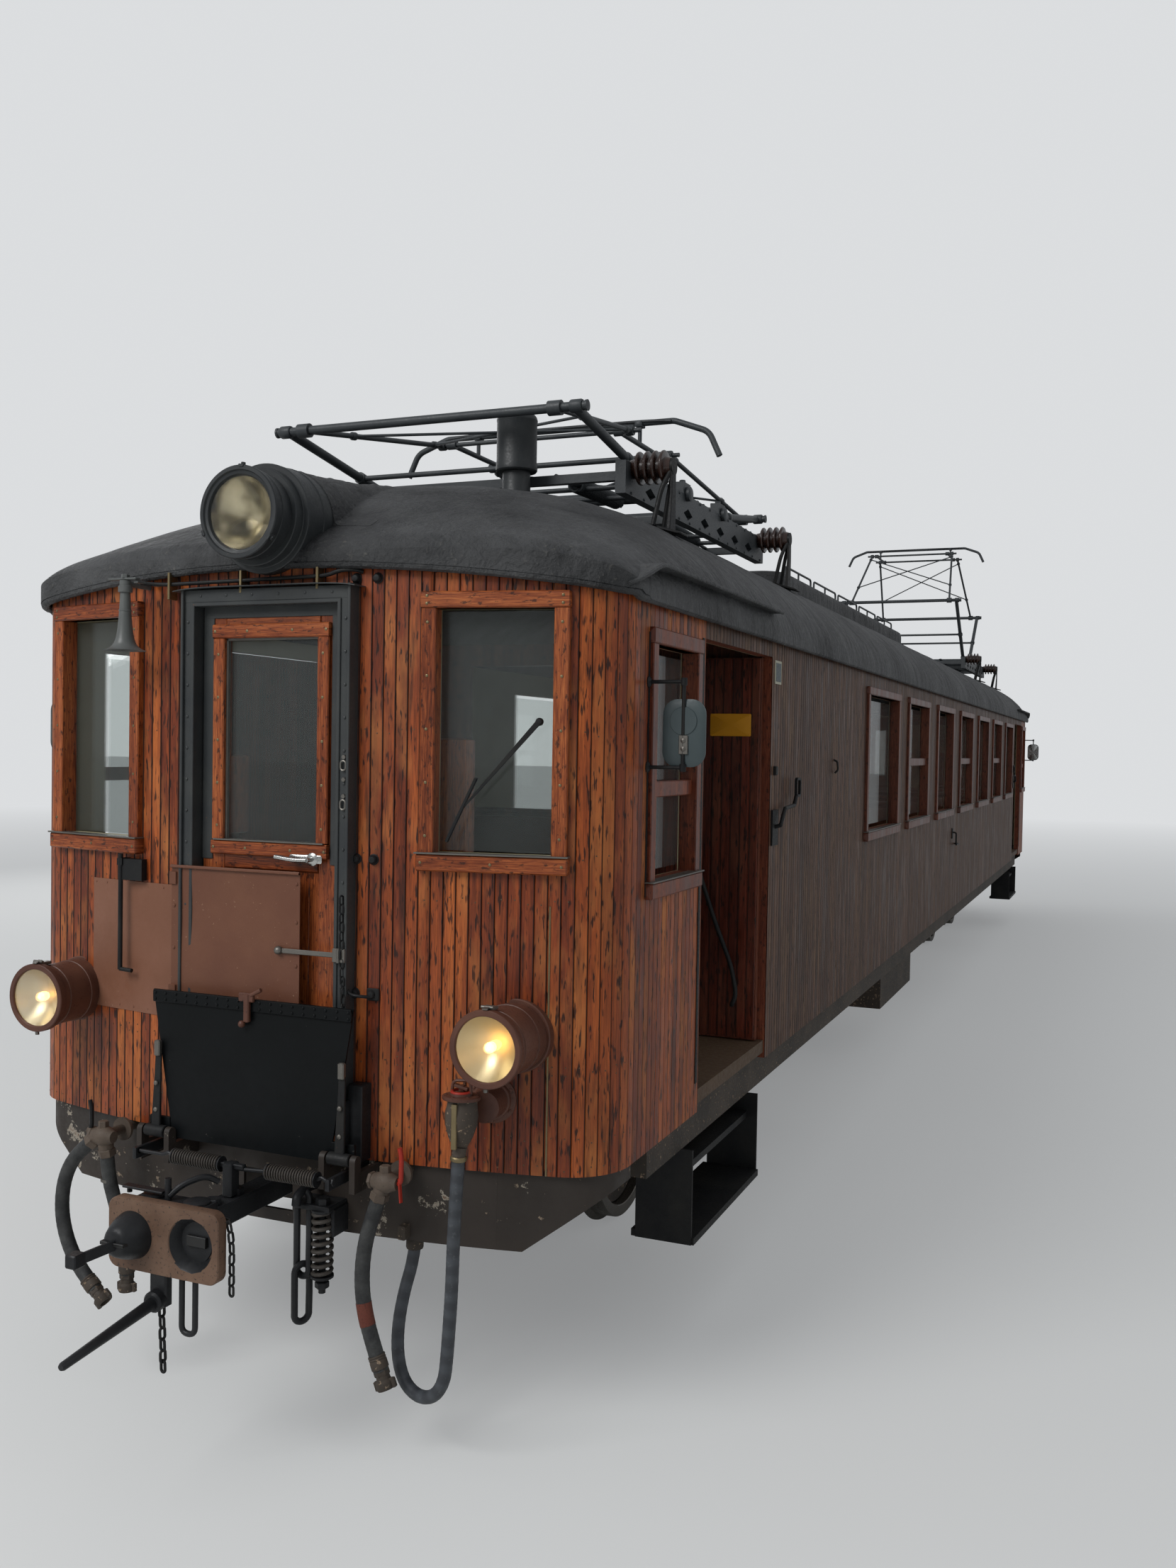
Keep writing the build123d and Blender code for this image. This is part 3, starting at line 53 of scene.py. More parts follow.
BOARD = 0.0475             # width of a cladding board
PROUD = 0.004              # cladding in front of the wall
PANTO = {"front": (-6.45, 8.5), "rear": (5.85, 39.7)}
ARM_L, SHAFT_HALF, SHAFT_Z = 1.15, 0.3, 3.748
BRACE_ENDS = (0.32, 0.93)
AXLES = (-6.6, -4.6, 4.6, 6.6)
AXLE_Z = 0.448
COUPLER_Y, COUPLER_Z = -9.56, 0.805
INSULATOR_Z = 3.722
LAMP_X, LAMP_Y, LAMP_Z = 0.982, -9.146, 1.462
SEAT_SIZE, BACK_SIZE = (0.855, 0.4, 0.11), (0.855, 0.5, 0.09)
SIXTH = 1.047              # a sixth of a turn
ACROSS, AHEAD, UP = (1, 0, 0), (0, -1, 0), (0, 0, 1)


# Shapes as arrays

def grid_quads(nu, nv, around=False, along=False):
    """Quads of a grid of nu by nv points: (i, j), (i+1, j), (i+1, j+1), (i, j+1), wrapping where closed."""
    i = np.arange(nu if around else nu - 1)[:, None]
    j = np.arange(nv if along else nv - 1)[None, :]
    a, b = (i + 1) % nu, (j + 1) % nv
    quads = np.stack([i * nv + j, a * nv + j, a * nv + b, i * nv + b], -1)
    return quads.reshape(-1, 4)


def join(*shapes):
    """One shape from several, each a pair of points and quads."""
    points, quads, start = [], [], 0
    for p, q in shapes:
        points.append(p)
        quads.append(q + start)
        start += len(p)
    return np.concatenate(points), np.concatenate(quads)


def moved(shape, offset=(0, 0, 0), turn=None):
    """A shape turned by a 3 by 3 matrix, then shifted."""
    p, q = shape
    p = p if turn is None else p @ np.array(turn).T
    return p + np.array(offset), q


def other_end(shape):
    """Half a turn about the car's middle: (x, y, z) to (-x, -y, z)."""
    return shape[0] * (-1, -1, 1), shape[1]


def other_side(shape):
    """Mirrored in x, with the quads turned round so that they still point outwards."""
    return shape[0] * (-1, 1, 1), shape[1][:, ::-1]


def both_ends(*shapes):
    """The shapes joined, and the same at the other end."""
    shape = join(*shapes)
    return join(shape, other_end(shape))


def both_sides(*shapes):
    """The shapes joined, and the same on the other side."""
    shape = join(*shapes)
    return join(shape, other_side(shape))


def same(shape):
    """The shape as it is, for the front end."""
    return shape


TURNS = (("front", same), ("rear", other_end))


def xyz(x, y, z):
    """Points from their three coordinates, each an array or one number."""
    return np.stack(np.broadcast_arrays(x, y, z), -1)


def unit(v):
    """v / |v|."""
    v = np.asarray(v, float)
    return v / np.maximum(np.linalg.norm(v, axis=-1, keepdims=True), 1e-12)


def carry(profile, path, ref=None, scale=None, closed=False, caps=True):
    """A closed profile (x, y) carried along a path: point = path + x * side + y * up, where side is
    the tangent crossed with a fixed direction ref and up is side crossed with the tangent."""
    path = np.asarray(path, float)
    profile = np.asarray(profile, float)
    if closed:
        tangent = unit(np.roll(path, -1, 0) - np.roll(path, 1, 0))
    else:
        tangent = unit(np.gradient(path, axis=0))
    if ref is None:
        flattest = np.argmin(np.ptp(path, axis=0) + 0.001 * np.abs(tangent.mean(0)))
        ref = np.eye(3)[flattest] + (0.001, 0.0007, 0.0013)
    side = unit(np.cross(tangent, np.asarray(ref, float)))
    up = np.cross(side, tangent)
    size = np.ones(len(path)) if scale is None else np.asarray(scale, float)
    points = (path[:, None] + (size[:, None] * profile[:, 0])[..., None] * side[:, None]
              + (size[:, None] * profile[:, 1])[..., None] * up[:, None])
    if caps and not closed:
        points = np.concatenate([path[:1, None].repeat(len(profile), 1), points,
                                 path[-1:, None].repeat(len(profile), 1)])
    n = len(points)
    return points.reshape(-1, 3), grid_quads(n, len(profile), closed, True)


def circle(r, sides=16):
    """Outline (r cos a, r sin a)."""
    a = np.arange(sides) * 2 * np.pi / sides
    return np.stack([r * np.cos(a), r * np.sin(a)], -1)


def oblong(w, h, c=0.0015):
    """Rectangle w by h with its corners cut by c."""
    a, b = w / 2, h / 2
    return np.array([(a - c, -b), (a, -b + c), (a, b - c), (a - c, b), (-a + c, b), (-a, b - c), (-a, -b + c),
                     (-a + c, -b)])


def tube(path, r, sides=16, **how):
    """Round bar along a path."""
    return carry(circle(r, sides), path, **how)


def rod(a, b, r, sides=16):
    """Round bar from a to b."""
    return tube([a, b], r, sides)


def bar(a, b, w, h, c=0.002, ref=UP):
    """Straight bar from a to b, h high along ref and w wide."""
    return carry(oblong(w, h, c), [a, b], ref=ref)


def block(x0, x1, y0, y1, z0, z1, c=0.003):
    """Box with chamfered long edges, carried along its longest side. Each pair may stand in either order."""
    lo, hi = np.sort([(x0, y0, z0), (x1, y1, z1)], axis=0)
    size, mid = hi - lo, (lo + hi) / 2
    k = int(np.argmax(size))
    a, b = mid.copy(), mid.copy()
    a[k], b[k] = lo[k], hi[k]
    ref = UP if k != 2 else (0, 1, 0)
    w, h = (size[1 - k], size[2]) if k != 2 else (size[0], size[1])
    c = min(c, 0.3 * min(w, h))
    cut = np.array([a, a, b, b])
    cut[1, k] += c
    cut[2, k] -= c
    inner = 1 - 2 * c / min(w, h)
    return carry(oblong(w, h, c), cut[[0, 1, 2, 3]], ref=ref, scale=[inner, 1, 1, inner])


def lathe(profile, centre=(0, 0, 0), axis=AHEAD, sides=48):
    """Profile of (radius, height) turned about an axis: centre + r cos a e1 + r sin a e2 + h axis."""
    axis = unit(axis)
    e1 = unit(np.cross(axis, UP if abs(axis[2]) < 0.9 else ACROSS))
    e2 = np.cross(axis, e1)
    profile = np.asarray(profile, float)
    a = np.arange(sides) * 2 * np.pi / sides
    spoke = np.cos(a)[:, None] * e1 + np.sin(a)[:, None] * e2
    points = np.array(centre) + profile[:, None, :1] * spoke[None] + profile[:, None, 1:] * axis
    return points.reshape(-1, 3), grid_quads(len(profile), sides, False, True)


def spun(profile, centre, axis=AHEAD, sides=64):
    """Turned part: a profile of (radius, height) in millimetres, closed flat where it ends off the axis."""
    first = [(0, profile[0][1])] if profile[0][0] else []
    last = [(0, profile[-1][1])] if profile[-1][0] else []
    return lathe([(r / 1000, h / 1000) for r, h in first + profile + last], centre, axis, sides)


def bend(points, r, steps=6):
    """Path through corner points, each corner a quadratic curve between two points r before and after it."""
    p = np.asarray(points, float)
    out = [p[:1]]
    t = np.linspace(0, 1, steps)[:, None]
    for a, b, c in zip(p[:-2], p[1:-1], p[2:]):
        s = b + unit(a - b) * min(r, 0.49 * np.linalg.norm(a - b))
        e = b + unit(c - b) * min(r, 0.49 * np.linalg.norm(c - b))
        out.append((1 - t) ** 2 * s + 2 * t * (1 - t) * b + t ** 2 * e)
    out.append(p[-1:])
    return np.concatenate(out)


def helix(a, b, r, wire, turns):
    """Coil spring from a to b: the path turns about the line between them."""
    a, b = np.array(a, float), np.array(b, float)
    axis = unit(b - a)
    e1 = unit(np.cross(axis, (0.3, 0.9, 0.2)))
    e2 = np.cross(axis, e1)
    t = np.linspace(0, 1, int(turns * 14))[:, None]
    angle = 2 * np.pi * turns * t
    path = a + (b - a) * t + r * (np.cos(angle) * e1 + np.sin(angle) * e2)
    return tube(path, wire, 8, ref=axis)


def loop(centre, half_l, half_w, r, along=UP, across=ACROSS, sides=10):
    """Oval link: a ring stretched into two straights."""
    a = np.arange(24) * 2 * np.pi / 24
    along, across = unit(along), unit(across)
    path = (np.array(centre, float) + (half_w * np.cos(a))[:, None] * across
            + (half_w * np.sin(a) + np.sign(np.sin(a)) * (half_l - half_w))[:, None] * along)
    return tube(path, r, sides, closed=True, ref=np.cross(along, across))


def bolt_heads(places, normal, r=0.011, h=0.008, sides=6):
    """Domed bolt heads on a surface."""
    profile = [(0.0, h), (r * 0.45, h * 0.95), (r * 0.85, h * 0.6), (r, 0.0), (0.0, -0.002)]
    return join(*[lathe(profile, p, normal, sides) for p in places])


def make(name, shape, skin, body="car", old=None, uv=None, sharp=35, open_sheet=False):
    """A piece from a shape, in metres in the car's frame, riding on a body, in place of the node old."""
    points, quads = shape
    mesh = bpy.data.meshes.new(name)
    mesh.from_pydata(points.tolist(), [], quads.tolist())
    if uv is not None:
        layer = mesh.uv_layers.new(name="boards")
        corner = np.empty(len(mesh.loops), dtype=np.int32)
        mesh.loops.foreach_get("vertex_index", corner)
        layer.data.foreach_set("uv", np.asarray(uv, np.float32)[corner].ravel())
    work = bmesh.new()
    work.from_mesh(mesh)
    bmesh.ops.remove_doubles(work, verts=work.verts, dist=1e-6)
    if not open_sheet:
        bmesh.ops.recalc_face_normals(work, faces=work.faces)
    work.to_mesh(mesh)
    work.free()
    mesh.shade_smooth()
    mesh.set_sharp_from_angle(angle=math.radians(sharp))
    piece = bpy.data.objects.new(name, mesh)
    bpy.context.scene.collection.objects.link(piece)
    mesh.materials.append(skin)
    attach(piece, body)
    if old:
        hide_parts(old)
    return piece


# Materials

def linear(code):
    """sRGB hex to linear colour."""
    c = np.array([int(code[i:i + 2], 16) for i in (1, 3, 5)]) / 255
    c = np.where(c <= 0.04045, c / 12.92, ((c + 0.055) / 1.055) ** 2.4)
    return (*c.tolist(), 1.0)


def add(tree, kind, out=0, inputs=None, **settings):
    """Adds a node with its settings, values and links, and gives back one of its outputs."""
    item = tree.nodes.new("ShaderNode" + kind)
    for key, value in settings.items():
        setattr(item, key, value)
    for key, value in (inputs or {}).items():
        if isinstance(value, bpy.types.NodeSocket):
            tree.links.new(value, item.inputs[key])
        else:
            item.inputs[key].default_value = value
    return item.outputs[out] if item.outputs else item


def ramp(tree, value, stops):
    """Colour ramp with (place, hex colour) stops."""
    out = add(tree, "ValToRGB", inputs={0: value})
    elements = out.node.color_ramp.elements
    while len(elements) < len(stops):
        elements.new(0.5)
    for element, (place, code) in zip(elements, stops):
        element.position = place
        element.color = linear(code)
    return out


def mix(tree, factor, a, b, how="MIX"):
    """Mixes two colours."""
    return add(tree, "Mix", 2, {0: factor, 6: a, 7: b}, data_type="RGBA", blend_type=how)


def spread(tree, value, lo, hi, a=0.0, b=1.0):
    """Value from lo..hi to a..b, clamped."""
    return add(tree, "MapRange", inputs={0: value, 1: lo, 2: hi, 3: a, 4: b})


def noise(tree, where, scale, detail=4.0, rough=0.55, stretch=(1, 1, 1)):
    """Noise with features 1 / scale metres wide, stretched along an axis."""
    vector = add(tree, "Mapping", inputs={0: where, 3: stretch})
    return add(tree, "TexNoise",
               inputs={"Vector": vector, "Scale": scale, "Detail": detail, "Roughness": rough})


def material(name, build):
    """A node material: build(tree) gives the shader's inputs."""
    skin = bpy.data.materials.new(name)
    skin.use_nodes = True
    tree = skin.node_tree
    tree.nodes.clear()
    add(tree, "OutputMaterial", inputs={"Surface": add(tree, "BsdfPrincipled", inputs=build(tree))})
    return skin


def bump(tree, height, distance, strength=1.0):
    """Surface relief, distance metres deep."""
    return add(tree, "Bump", inputs={"Height": height, "Distance": distance, "Strength": strength})


def place(tree):
    """Where a point is on its piece, in metres."""
    return add(tree, "TexCoord", 3)


def boards(tones, worn, dark, shine=0.3, coat=0.06):
    """Varnished tongue-and-groove boards. The piece's UV holds metres across and up the boards: each board
    has its own tone, the grain is drawn out along it, the varnish is worn pale in patches and black specks
    and streaks follow the grain. The joints are dark."""
    def build(tree):
        uv = add(tree, "UVMap", uv_map="boards")
        u = add(tree, "SeparateXYZ", 0, {0: uv})
        v = u.node.outputs[1]
        number = add(tree, "Math", inputs={0: u, 1: BOARD}, operation="DIVIDE")
        index = add(tree, "Math", inputs={0: number}, operation="FLOOR")
        own = add(tree, "TexWhiteNoise", 0, {"W": index}, noise_dimensions="1D")
        shifted = add(tree, "Math", inputs={0: own, 1: 7.0, 2: v}, operation="MULTIPLY_ADD")
        along = add(tree, "CombineXYZ", inputs={0: u, 1: shifted, 2: own})
        grain = noise(tree, along, 220, 6, 0.6, (1, 0.045, 1))
        coarse = noise(tree, along, 30, 3, 0.5, (1, 0.06, 1))
        wear = noise(tree, along, 5.5, 4, 0.6, (1, 0.35, 1))
        tone = add(tree, "Math", inputs={0: own, 1: 0.5, 2: spread(tree, coarse, 0.3, 0.7, 0.04, 0.46)},
                   operation="MULTIPLY_ADD")
        colour = ramp(tree, tone, tones)
        fibre = spread(tree, grain, 0.32, 0.7, 0.54, 1.26)
        colour = mix(tree, 1.0, colour, add(tree, "CombineColor", inputs={0: fibre, 1: fibre, 2: fibre}),
                     "MULTIPLY")
        colour = mix(tree, spread(tree, wear, 0.5, 0.74, 0.0, 0.75), colour, linear(worn))
        specks = noise(tree, along, 95, 2, 0.5, (1, 0.16, 1))
        colour = mix(tree, spread(tree, specks, 0.58, 0.66, 0.0, 0.9), colour, linear(dark))
        runs = noise(tree, along, 26, 3, 0.6, (1, 0.1, 1))
        colour = mix(tree, spread(tree, runs, 0.56, 0.7, 0.0, 0.6), colour, linear(dark))
        edge = add(tree, "Math", inputs={0: number}, operation="FRACT")
        edge = add(tree, "Math", inputs={0: edge, 1: 0.5}, operation="SUBTRACT")
        edge = add(tree, "Math", inputs={0: edge}, operation="ABSOLUTE")
        colour = mix(tree, spread(tree, edge, 0.42, 0.475, 0.0, 0.92), colour, linear("#150906"))
        rough = spread(tree, wear, 0.35, 0.7, 0.34, 0.62)
        return {"Base Color": colour, "Roughness": rough, "Specular IOR Level": shine, "Coat Weight": coat,
                "Coat Roughness": 0.25, "Normal": bump(tree, grain, 0.0012, 0.5)}
    return build


def timber(tones, grain_axis=(1, 1, 0.05)):
    """Solid varnished joinery: straight grain about 4 mm wide, darker stains, a tone that wanders."""
    def build(tree):
        where = place(tree)
        grain = noise(tree, where, 260, 5, 0.6, grain_axis)
        coarse = noise(tree, where, 14, 3, 0.6, grain_axis)
        fibre = spread(tree, grain, 0.36, 0.64)
        tone = add(tree, "Math", inputs={0: fibre, 1: 0.5, 2: spread(tree, coarse, 0.3, 0.7, 0, 0.5)},
                   operation="MULTIPLY_ADD")
        colour = ramp(tree, tone, tones)
        stain = noise(tree, where, 70, 3, 0.6, tuple(0.4 + 0.6 * k for k in grain_axis))
        colour = mix(tree, spread(tree, stain, 0.57, 0.66, 0.0, 0.8), colour, linear("#2a130b"))
        return {"Base Color": colour, "Roughness": spread(tree, coarse, 0.3, 0.7, 0.3, 0.5),
                "Specular IOR Level": 0.3, "Coat Weight": 0.1, "Coat Roughness": 0.2,
                "Normal": bump(tree, grain, 0.0006, 0.4)}
    return build


def painted(base, chip, dust, rough=0.45, scale=18.0, chips=0.68, coat=0.0, metal=0.0, shine=0.3):
    """Brushed-on paint over iron: clouded tone, chips down to a second colour, dust, slight orange peel."""
    def build(tree):
        where = place(tree)
        cloud = noise(tree, where, scale * 0.35, 4, 0.6)
        fine = noise(tree, where, scale * 6, 5, 0.65)
        colour = mix(tree, spread(tree, cloud, 0.35, 0.7, 0.0, 0.6), linear(base), linear(dust))
        colour = mix(tree, spread(tree, fine, chips, chips + 0.05, 0.0, 0.9), colour, linear(chip))
        return {"Base Color": colour, "Roughness": spread(tree, fine, 0.3, 0.7, rough - 0.1, rough + 0.15),
                "Metallic": metal, "Specular IOR Level": shine, "Coat Weight": coat, "Coat Roughness": 0.2,
                "Normal": bump(tree, fine, 0.0012, 0.35)}
    return build


def chipped_apron(tree):
    """Dusty brown-black paint, broken off in ragged patches 60 mm wide down to pale filler, rusty inside."""
    finish = painted("#2a2522", "#8a7a68", "#433a32", 0.55, 3, 0.65)(tree)
    islands = noise(tree, place(tree), 5.5, 7, 0.72)
    colour = mix(tree, spread(tree, islands, 0.605, 0.615), finish["Base Color"], linear("#8f877a"))
    rusty = spread(tree, islands, 0.635, 0.65, 0.0, 0.85)
    finish["Base Color"] = mix(tree, rusty, colour, linear("#5a4030"))
    return finish


def canvas_tar(tree):
    """Roof canvas laid in tar: nearly black, matt, wrinkled in soft ridges, greyer where dust lies."""
    where = place(tree)
    ridges = noise(tree, where, 3.2, 5, 0.55, (1, 1.6, 1))
    fine = noise(tree, where, 45, 5, 0.65)
    dust = noise(tree, where, 1.7, 5, 0.65)
    colour = mix(tree, spread(tree, dust, 0.35, 0.68), linear("#17181a"), linear("#474849"))
    colour = mix(tree, spread(tree, fine, 0.6, 0.72, 0, 0.5), colour, linear("#6a6862"))
    height = mix(tree, 0.15, ridges, fine)
    return {"Base Color": colour, "Roughness": spread(tree, fine, 0.3, 0.7, 0.45, 0.68),
            "Specular IOR Level": 0.4, "Normal": bump(tree, height, 0.12, 0.9)}


def inner_wall(tree):
    """Cream paint inside the walls. Further out than |x| = 1.254 m, at the openings, the cut wood shows."""
    x = add(tree, "SeparateXYZ", 0, {0: place(tree)})
    depth = add(tree, "Math", inputs={0: x}, operation="ABSOLUTE")
    cream = painted("#a69d7f", "#7d6f55", "#968c6d", 0.6, 10, 0.7)(tree)
    wood = timber(BROWN_TONES)(tree)
    cut = spread(tree, depth, 1.252, 1.256)
    cream["Base Color"] = mix(tree, cut, cream["Base Color"], wood["Base Color"])
    return cream


def streaked_dish(tree):
    """Smooth dish metal in broad patches running from dark through bronze to cream."""
    patches = noise(tree, place(tree), 11, 1.5, 0.4)
    colour = ramp(tree, patches, [(0.36, "#2a2924"), (0.5, "#7d745a"), (0.62, "#e4dabc")])
    return {"Base Color": colour, "Roughness": 0.24, "Metallic": 0.7}


def plain(colour, rough, **more):
    """A uniform finish."""
    def build(_):
        inputs = {"Base Color": linear(colour), "Roughness": rough}
        inputs.update({k.replace("_", " "): v for k, v in more.items()})
        return inputs
    return build


def window_glass(tree):
    """Old drawn glass: a grey-green cast, slightly wavy, with a dusty film. A pane doesn't turn what is seen
    through it, so the body hardly refracts, and a coat with the glass's own index gives the reflection."""
    where = place(tree)
    wave = noise(tree, where, 4, 1, 0.4)
    ripple = bump(tree, wave, 0.0006, 0.2)
    return {"Base Color": linear("#c9d2cf"), "Roughness": 0.03, "Transmission Weight": 0.94, "IOR": 1.01,
            "Alpha": 0.55, "Normal": ripple, "Coat Weight": 1.0, "Coat IOR": 1.45, "Coat Roughness": 0.03,
            "Coat Normal": ripple}


def tape(tree):
    """Cable wrapped in smooth grey-blue tape: spiral laps 60 mm wide along its UV, softly wrinkled."""
    uv = add(tree, "UVMap", uv_map="boards")
    where = place(tree)
    laps = add(tree, "TexWave", 0, {"Vector": uv, "Scale": 5.0, "Distortion": 4.0, "Detail": 3.0},
               bands_direction="Y")
    fine = noise(tree, where, 60, 4, 0.6)
    colour = mix(tree, spread(tree, laps, 0.2, 0.9), linear("#2f3237"), linear("#3b3f44"))
    return {"Base Color": mix(tree, spread(tree, fine, 0.6, 0.75, 0, 0.4), colour, linear("#6a6e70")),
            "Roughness": 0.55, "Normal": bump(tree, laps, 0.0006, 0.3)}


def rubber(tree):
    """Moulded rubber hose: near black, matt, cracked and dusty."""
    where = place(tree)
    fine = noise(tree, where, 120, 5, 0.65)
    dust = noise(tree, where, 14, 4, 0.6)
    colour = mix(tree, spread(tree, dust, 0.4, 0.7), linear("#1d1e1f"), linear("#3b3c3b"))
    return {"Base Color": colour, "Roughness": spread(tree, fine, 0.3, 0.7, 0.5, 0.75),
            "Normal": bump(tree, fine, 0.001, 0.5)}


VARNISH_TONES = [(0.0, "#3d1808"), (0.4, "#743517"), (0.7, "#985026"), (1.0, "#b56a38")]
BROWN_TONES = [(0.0, "#3c1a10"), (0.4, "#602c1a"), (0.75, "#7c4028"), (1.0, "#925339")]

# Hardwood boards: orange-brown, paler where worn, on the ends; grey-brown sides, weathered, their tone
# lightened as a painted sheen; red-brown doors
END_BOARDS = material("varnished_end_boards", boards(
    [(0.0, "#47190b"), (0.35, "#733115"), (0.65, "#96481e"), (1.0, "#b9642c")], "#b5713a", "#1a0a05"))
# Side boards: weathered grey-brown, lightened as a painted sheen, with little real shine and no coat
SIDE_BOARDS = material("weathered_side_boards_painted_sheen", boards(
    [(0.0, "#3a251b"), (0.4, "#4e3427"), (0.7, "#614434"), (1.0, "#725240")], "#7b6756", "#21140e",
    0.14, 0.0))
DOOR_BOARDS = material("dark_inner_boards", boards(
    [(0.0, "#34120a"), (0.4, "#4c1d10"), (0.7, "#5f2716"), (1.0, "#733321")], "#6b3c25", "#170906"))
# Window and door wood: warm with the grain upright or level, brown at the cab, nearly black-brown at the side
JOINERY = material("varnished_joinery", timber(VARNISH_TONES))
JOINERY_FLAT = material("varnished_rails", timber(VARNISH_TONES, (0.05, 0.05, 1)))
DARK_TIMBER = material("dark_side_joinery", timber(
    [(0.0, "#33170e"), (0.4, "#4d2618"), (0.75, "#683826"), (1.0, "#7a4732")]))
ROOF = material("tarred_roof_canvas", canvas_tar)
# Iron in black paint with brown chips, iron under brown dust, a grey frame, the black fall plate with a sheen
BLACK_IRON = material("black_painted_iron", painted("#17181a", "#5b4335", "#2c2b28", 0.5, shine=0.2))
DUSTY_IRON = material("dusty_underframe_iron", painted("#332e29", "#8d7a66", "#554a40", 0.65, 9.0, 0.6))
GREY_FRAME = material("grey_painted_door_frame", painted("#2f3234", "#6a4a35", "#414341", 0.45, 14))
FALL_BLACK = material("black_gloss_plate", painted("#0b0d0e", "#4d4a44", "#121517", 0.4, 7, 0.7, shine=0.12))
# Brown sheet scraped pale, brown lamps gone rusty, dark lamp drums, grey arms with brown chips
BROWN_SHEET = material("brown_painted_sheet", painted("#623d2d", "#9b7a62", "#704a36", 0.46, 12, 0.66))
LAMP_BROWN = material("rusted_brown_lamp", painted("#4e3026", "#1f1512", "#6a4535", 0.42, 16, 0.63))
LAMP_DARK = material("dark_lamp_drum", painted("#25282a", "#5d4a3c", "#3b3d3d", 0.42, 16, 0.68))
PANTO_PAINT = material("dark_grey_arm_paint", painted("#34383b", "#5f4b3c", "#484b4c", 0.42, 20, 0.7))
# Bare metals: grey steel with dark spots, dull rust, yellowish brass, the tyres' bright tread
STEEL = material("bare_steel", painted("#6a6762", "#4a3b30", "#7d7973", 0.4, 25, 0.66, 0.0, 0.8))
RUST = material("rusty_iron", painted("#4a352a", "#7a4a2e", "#33261f", 0.7, 22, 0.6))
BRASS = material("worn_brass", painted("#776a4f", "#3f3423", "#8b7d60", 0.42, 40, 0.66, 0.0, 0.85))
TREAD = material("rolled_wheel_tread", painted("#77736d", "#4e433b", "#8b8780", 0.32, 30, 0.7, 0.0, 0.9))
# Brown glaze with highlights; clear glass with a grey film
PORCELAIN = material("brown_glazed_porcelain", painted("#2b1a14", "#181210", "#3a241b", 0.22, 20, 0.72, 0.5))
GLASS = material("old_window_glass", window_glass)
JOINERY_BROWN = material("brown_window_joinery", timber(BROWN_TONES))
# Inside the lamps: a dish in dark and cream streaks, a reflector with a faint painted glow, clear lens and
# lit filament
ROOF_DISH = material("streaked_roof_reflector", streaked_dish)
# Painted glow: the lower lamps' reflectors give off a faint warm light of their own
LIT_DISH = material("reflector_painted_glow", plain(
    "#cdbf9c", 0.3, Metallic=1.0, Emission_Color=linear("#ffdca6"), Emission_Strength=0.05))
LENS = material("lamp_lens_glass", plain("#f4f1e6", 0.05, Transmission_Weight=1.0, IOR=1.45, Alpha=0.35))
BULB = material("lit_bulb", plain("#fff0cf", 0.3, Emission_Color=linear("#ffc778"), Emission_Strength=4.0))
# Blank yellow plate, taped cable, rubber hose, red handles
YELLOW = material("yellow_enamel_plate", painted("#c98a14", "#7a5520", "#b87c14", 0.4, 15, 0.72))
TAPE = material("grey_taped_cable", tape)
RUBBER = material("black_rubber_hose", rubber)
RED = material("red_painted_handle", painted("#a02a1c", "#5a3a2c", "#86281c", 0.45, 30, 0.68))
# Cream walls with wood at the openings, apron with broken paint, cream rim, grey cab
WALL_INSIDE = material("cream_wall_with_wood_edges", inner_wall)
APRON_IRON = material("chipped_apron_iron", chipped_apron)
LABEL_CREAM = material("faded_cream_enamel", painted("#a9a795", "#5d5546", "#98947f", 0.45, 20, 0.72))
CAB_GREY = material("grey_cab_equipment", painted("#4a5052", "#2b2c2c", "#5b6061", 0.45, 10, 0.72))
# Soft sheen on brown leathercloth, scuffed brown floor, blue-grey mirror back
SEAT = material("brown_leathercloth_seat", painted("#5c3524", "#3a2117", "#6b4130", 0.5, 40, 0.7))
LINO = material("worn_brown_floor", painted("#4c3b2c", "#2f251c", "#5d4a38", 0.6, 8, 0.7))
MIRROR_GREY = material("grey_mirror_back", painted("#3a4446", "#5d6464", "#465153", 0.4, 14, 0.73))
# Flat black as painted shade in the coupler slots, mirror-bright chrome, grey horn, faded red tape
SLOT_SHADE = material("painted_slot_shade", plain("#151515", 0.5))
CHROME = material("worn_chrome", painted("#b9bab8", "#6d6a64", "#a3a3a0", 0.2, 30, 0.72, 0.0, 1.0))
HORN_GREY = material("grey_painted_horn", painted("#505352", "#35352f", "#616361", 0.38, 24, 0.7, 0.1))
TAPE_RED = material("faded_red_tape", painted("#5c2d22", "#2b2321", "#6b3a2c", 0.6, 30, 0.6))
# Draw gear: brown rusty plate, greasy black iron, dark springs; dull brown valve castings
RUST_HEAD = material("rusty_coupler_plate", painted("#5a4436", "#2e2a28", "#7c6250", 0.55, 16, 0.6))
COUPLER_IRON = material("greasy_coupler_iron",
                        painted("#1c1d1f", "#5c4a3d", "#323335", 0.42, 18, 0.7, 0.0, 0.2))
RUST_DARK = material("dark_rusty_spring", painted("#383430", "#5a4636", "#4b4641", 0.5, 30, 0.62))
VALVE_IRON = material("brown_cast_valve", painted("#4a4038", "#2b2622", "#6b5d50", 0.6, 25, 0.64))
# Red-brown sheet scraped pale, its tone lightened as a painted reflection; rusty nail heads, dull carbon
RED_SHEET = material("red_brown_sheet_painted_reflection", painted("#734c39", "#9b7a64", "#865e4c", 0.5, 9, 0.7))
DARK_NAIL = material("rusted_nail_heads", painted("#54402f", "#2b1811", "#6b5540", 0.45, 40, 0.6, 0.0, 0.3))
CARBON = material("carbon_strip", painted("#303234", "#8a6a48", "#45484a", 0.5, 30, 0.7))


# Camera, light and floor

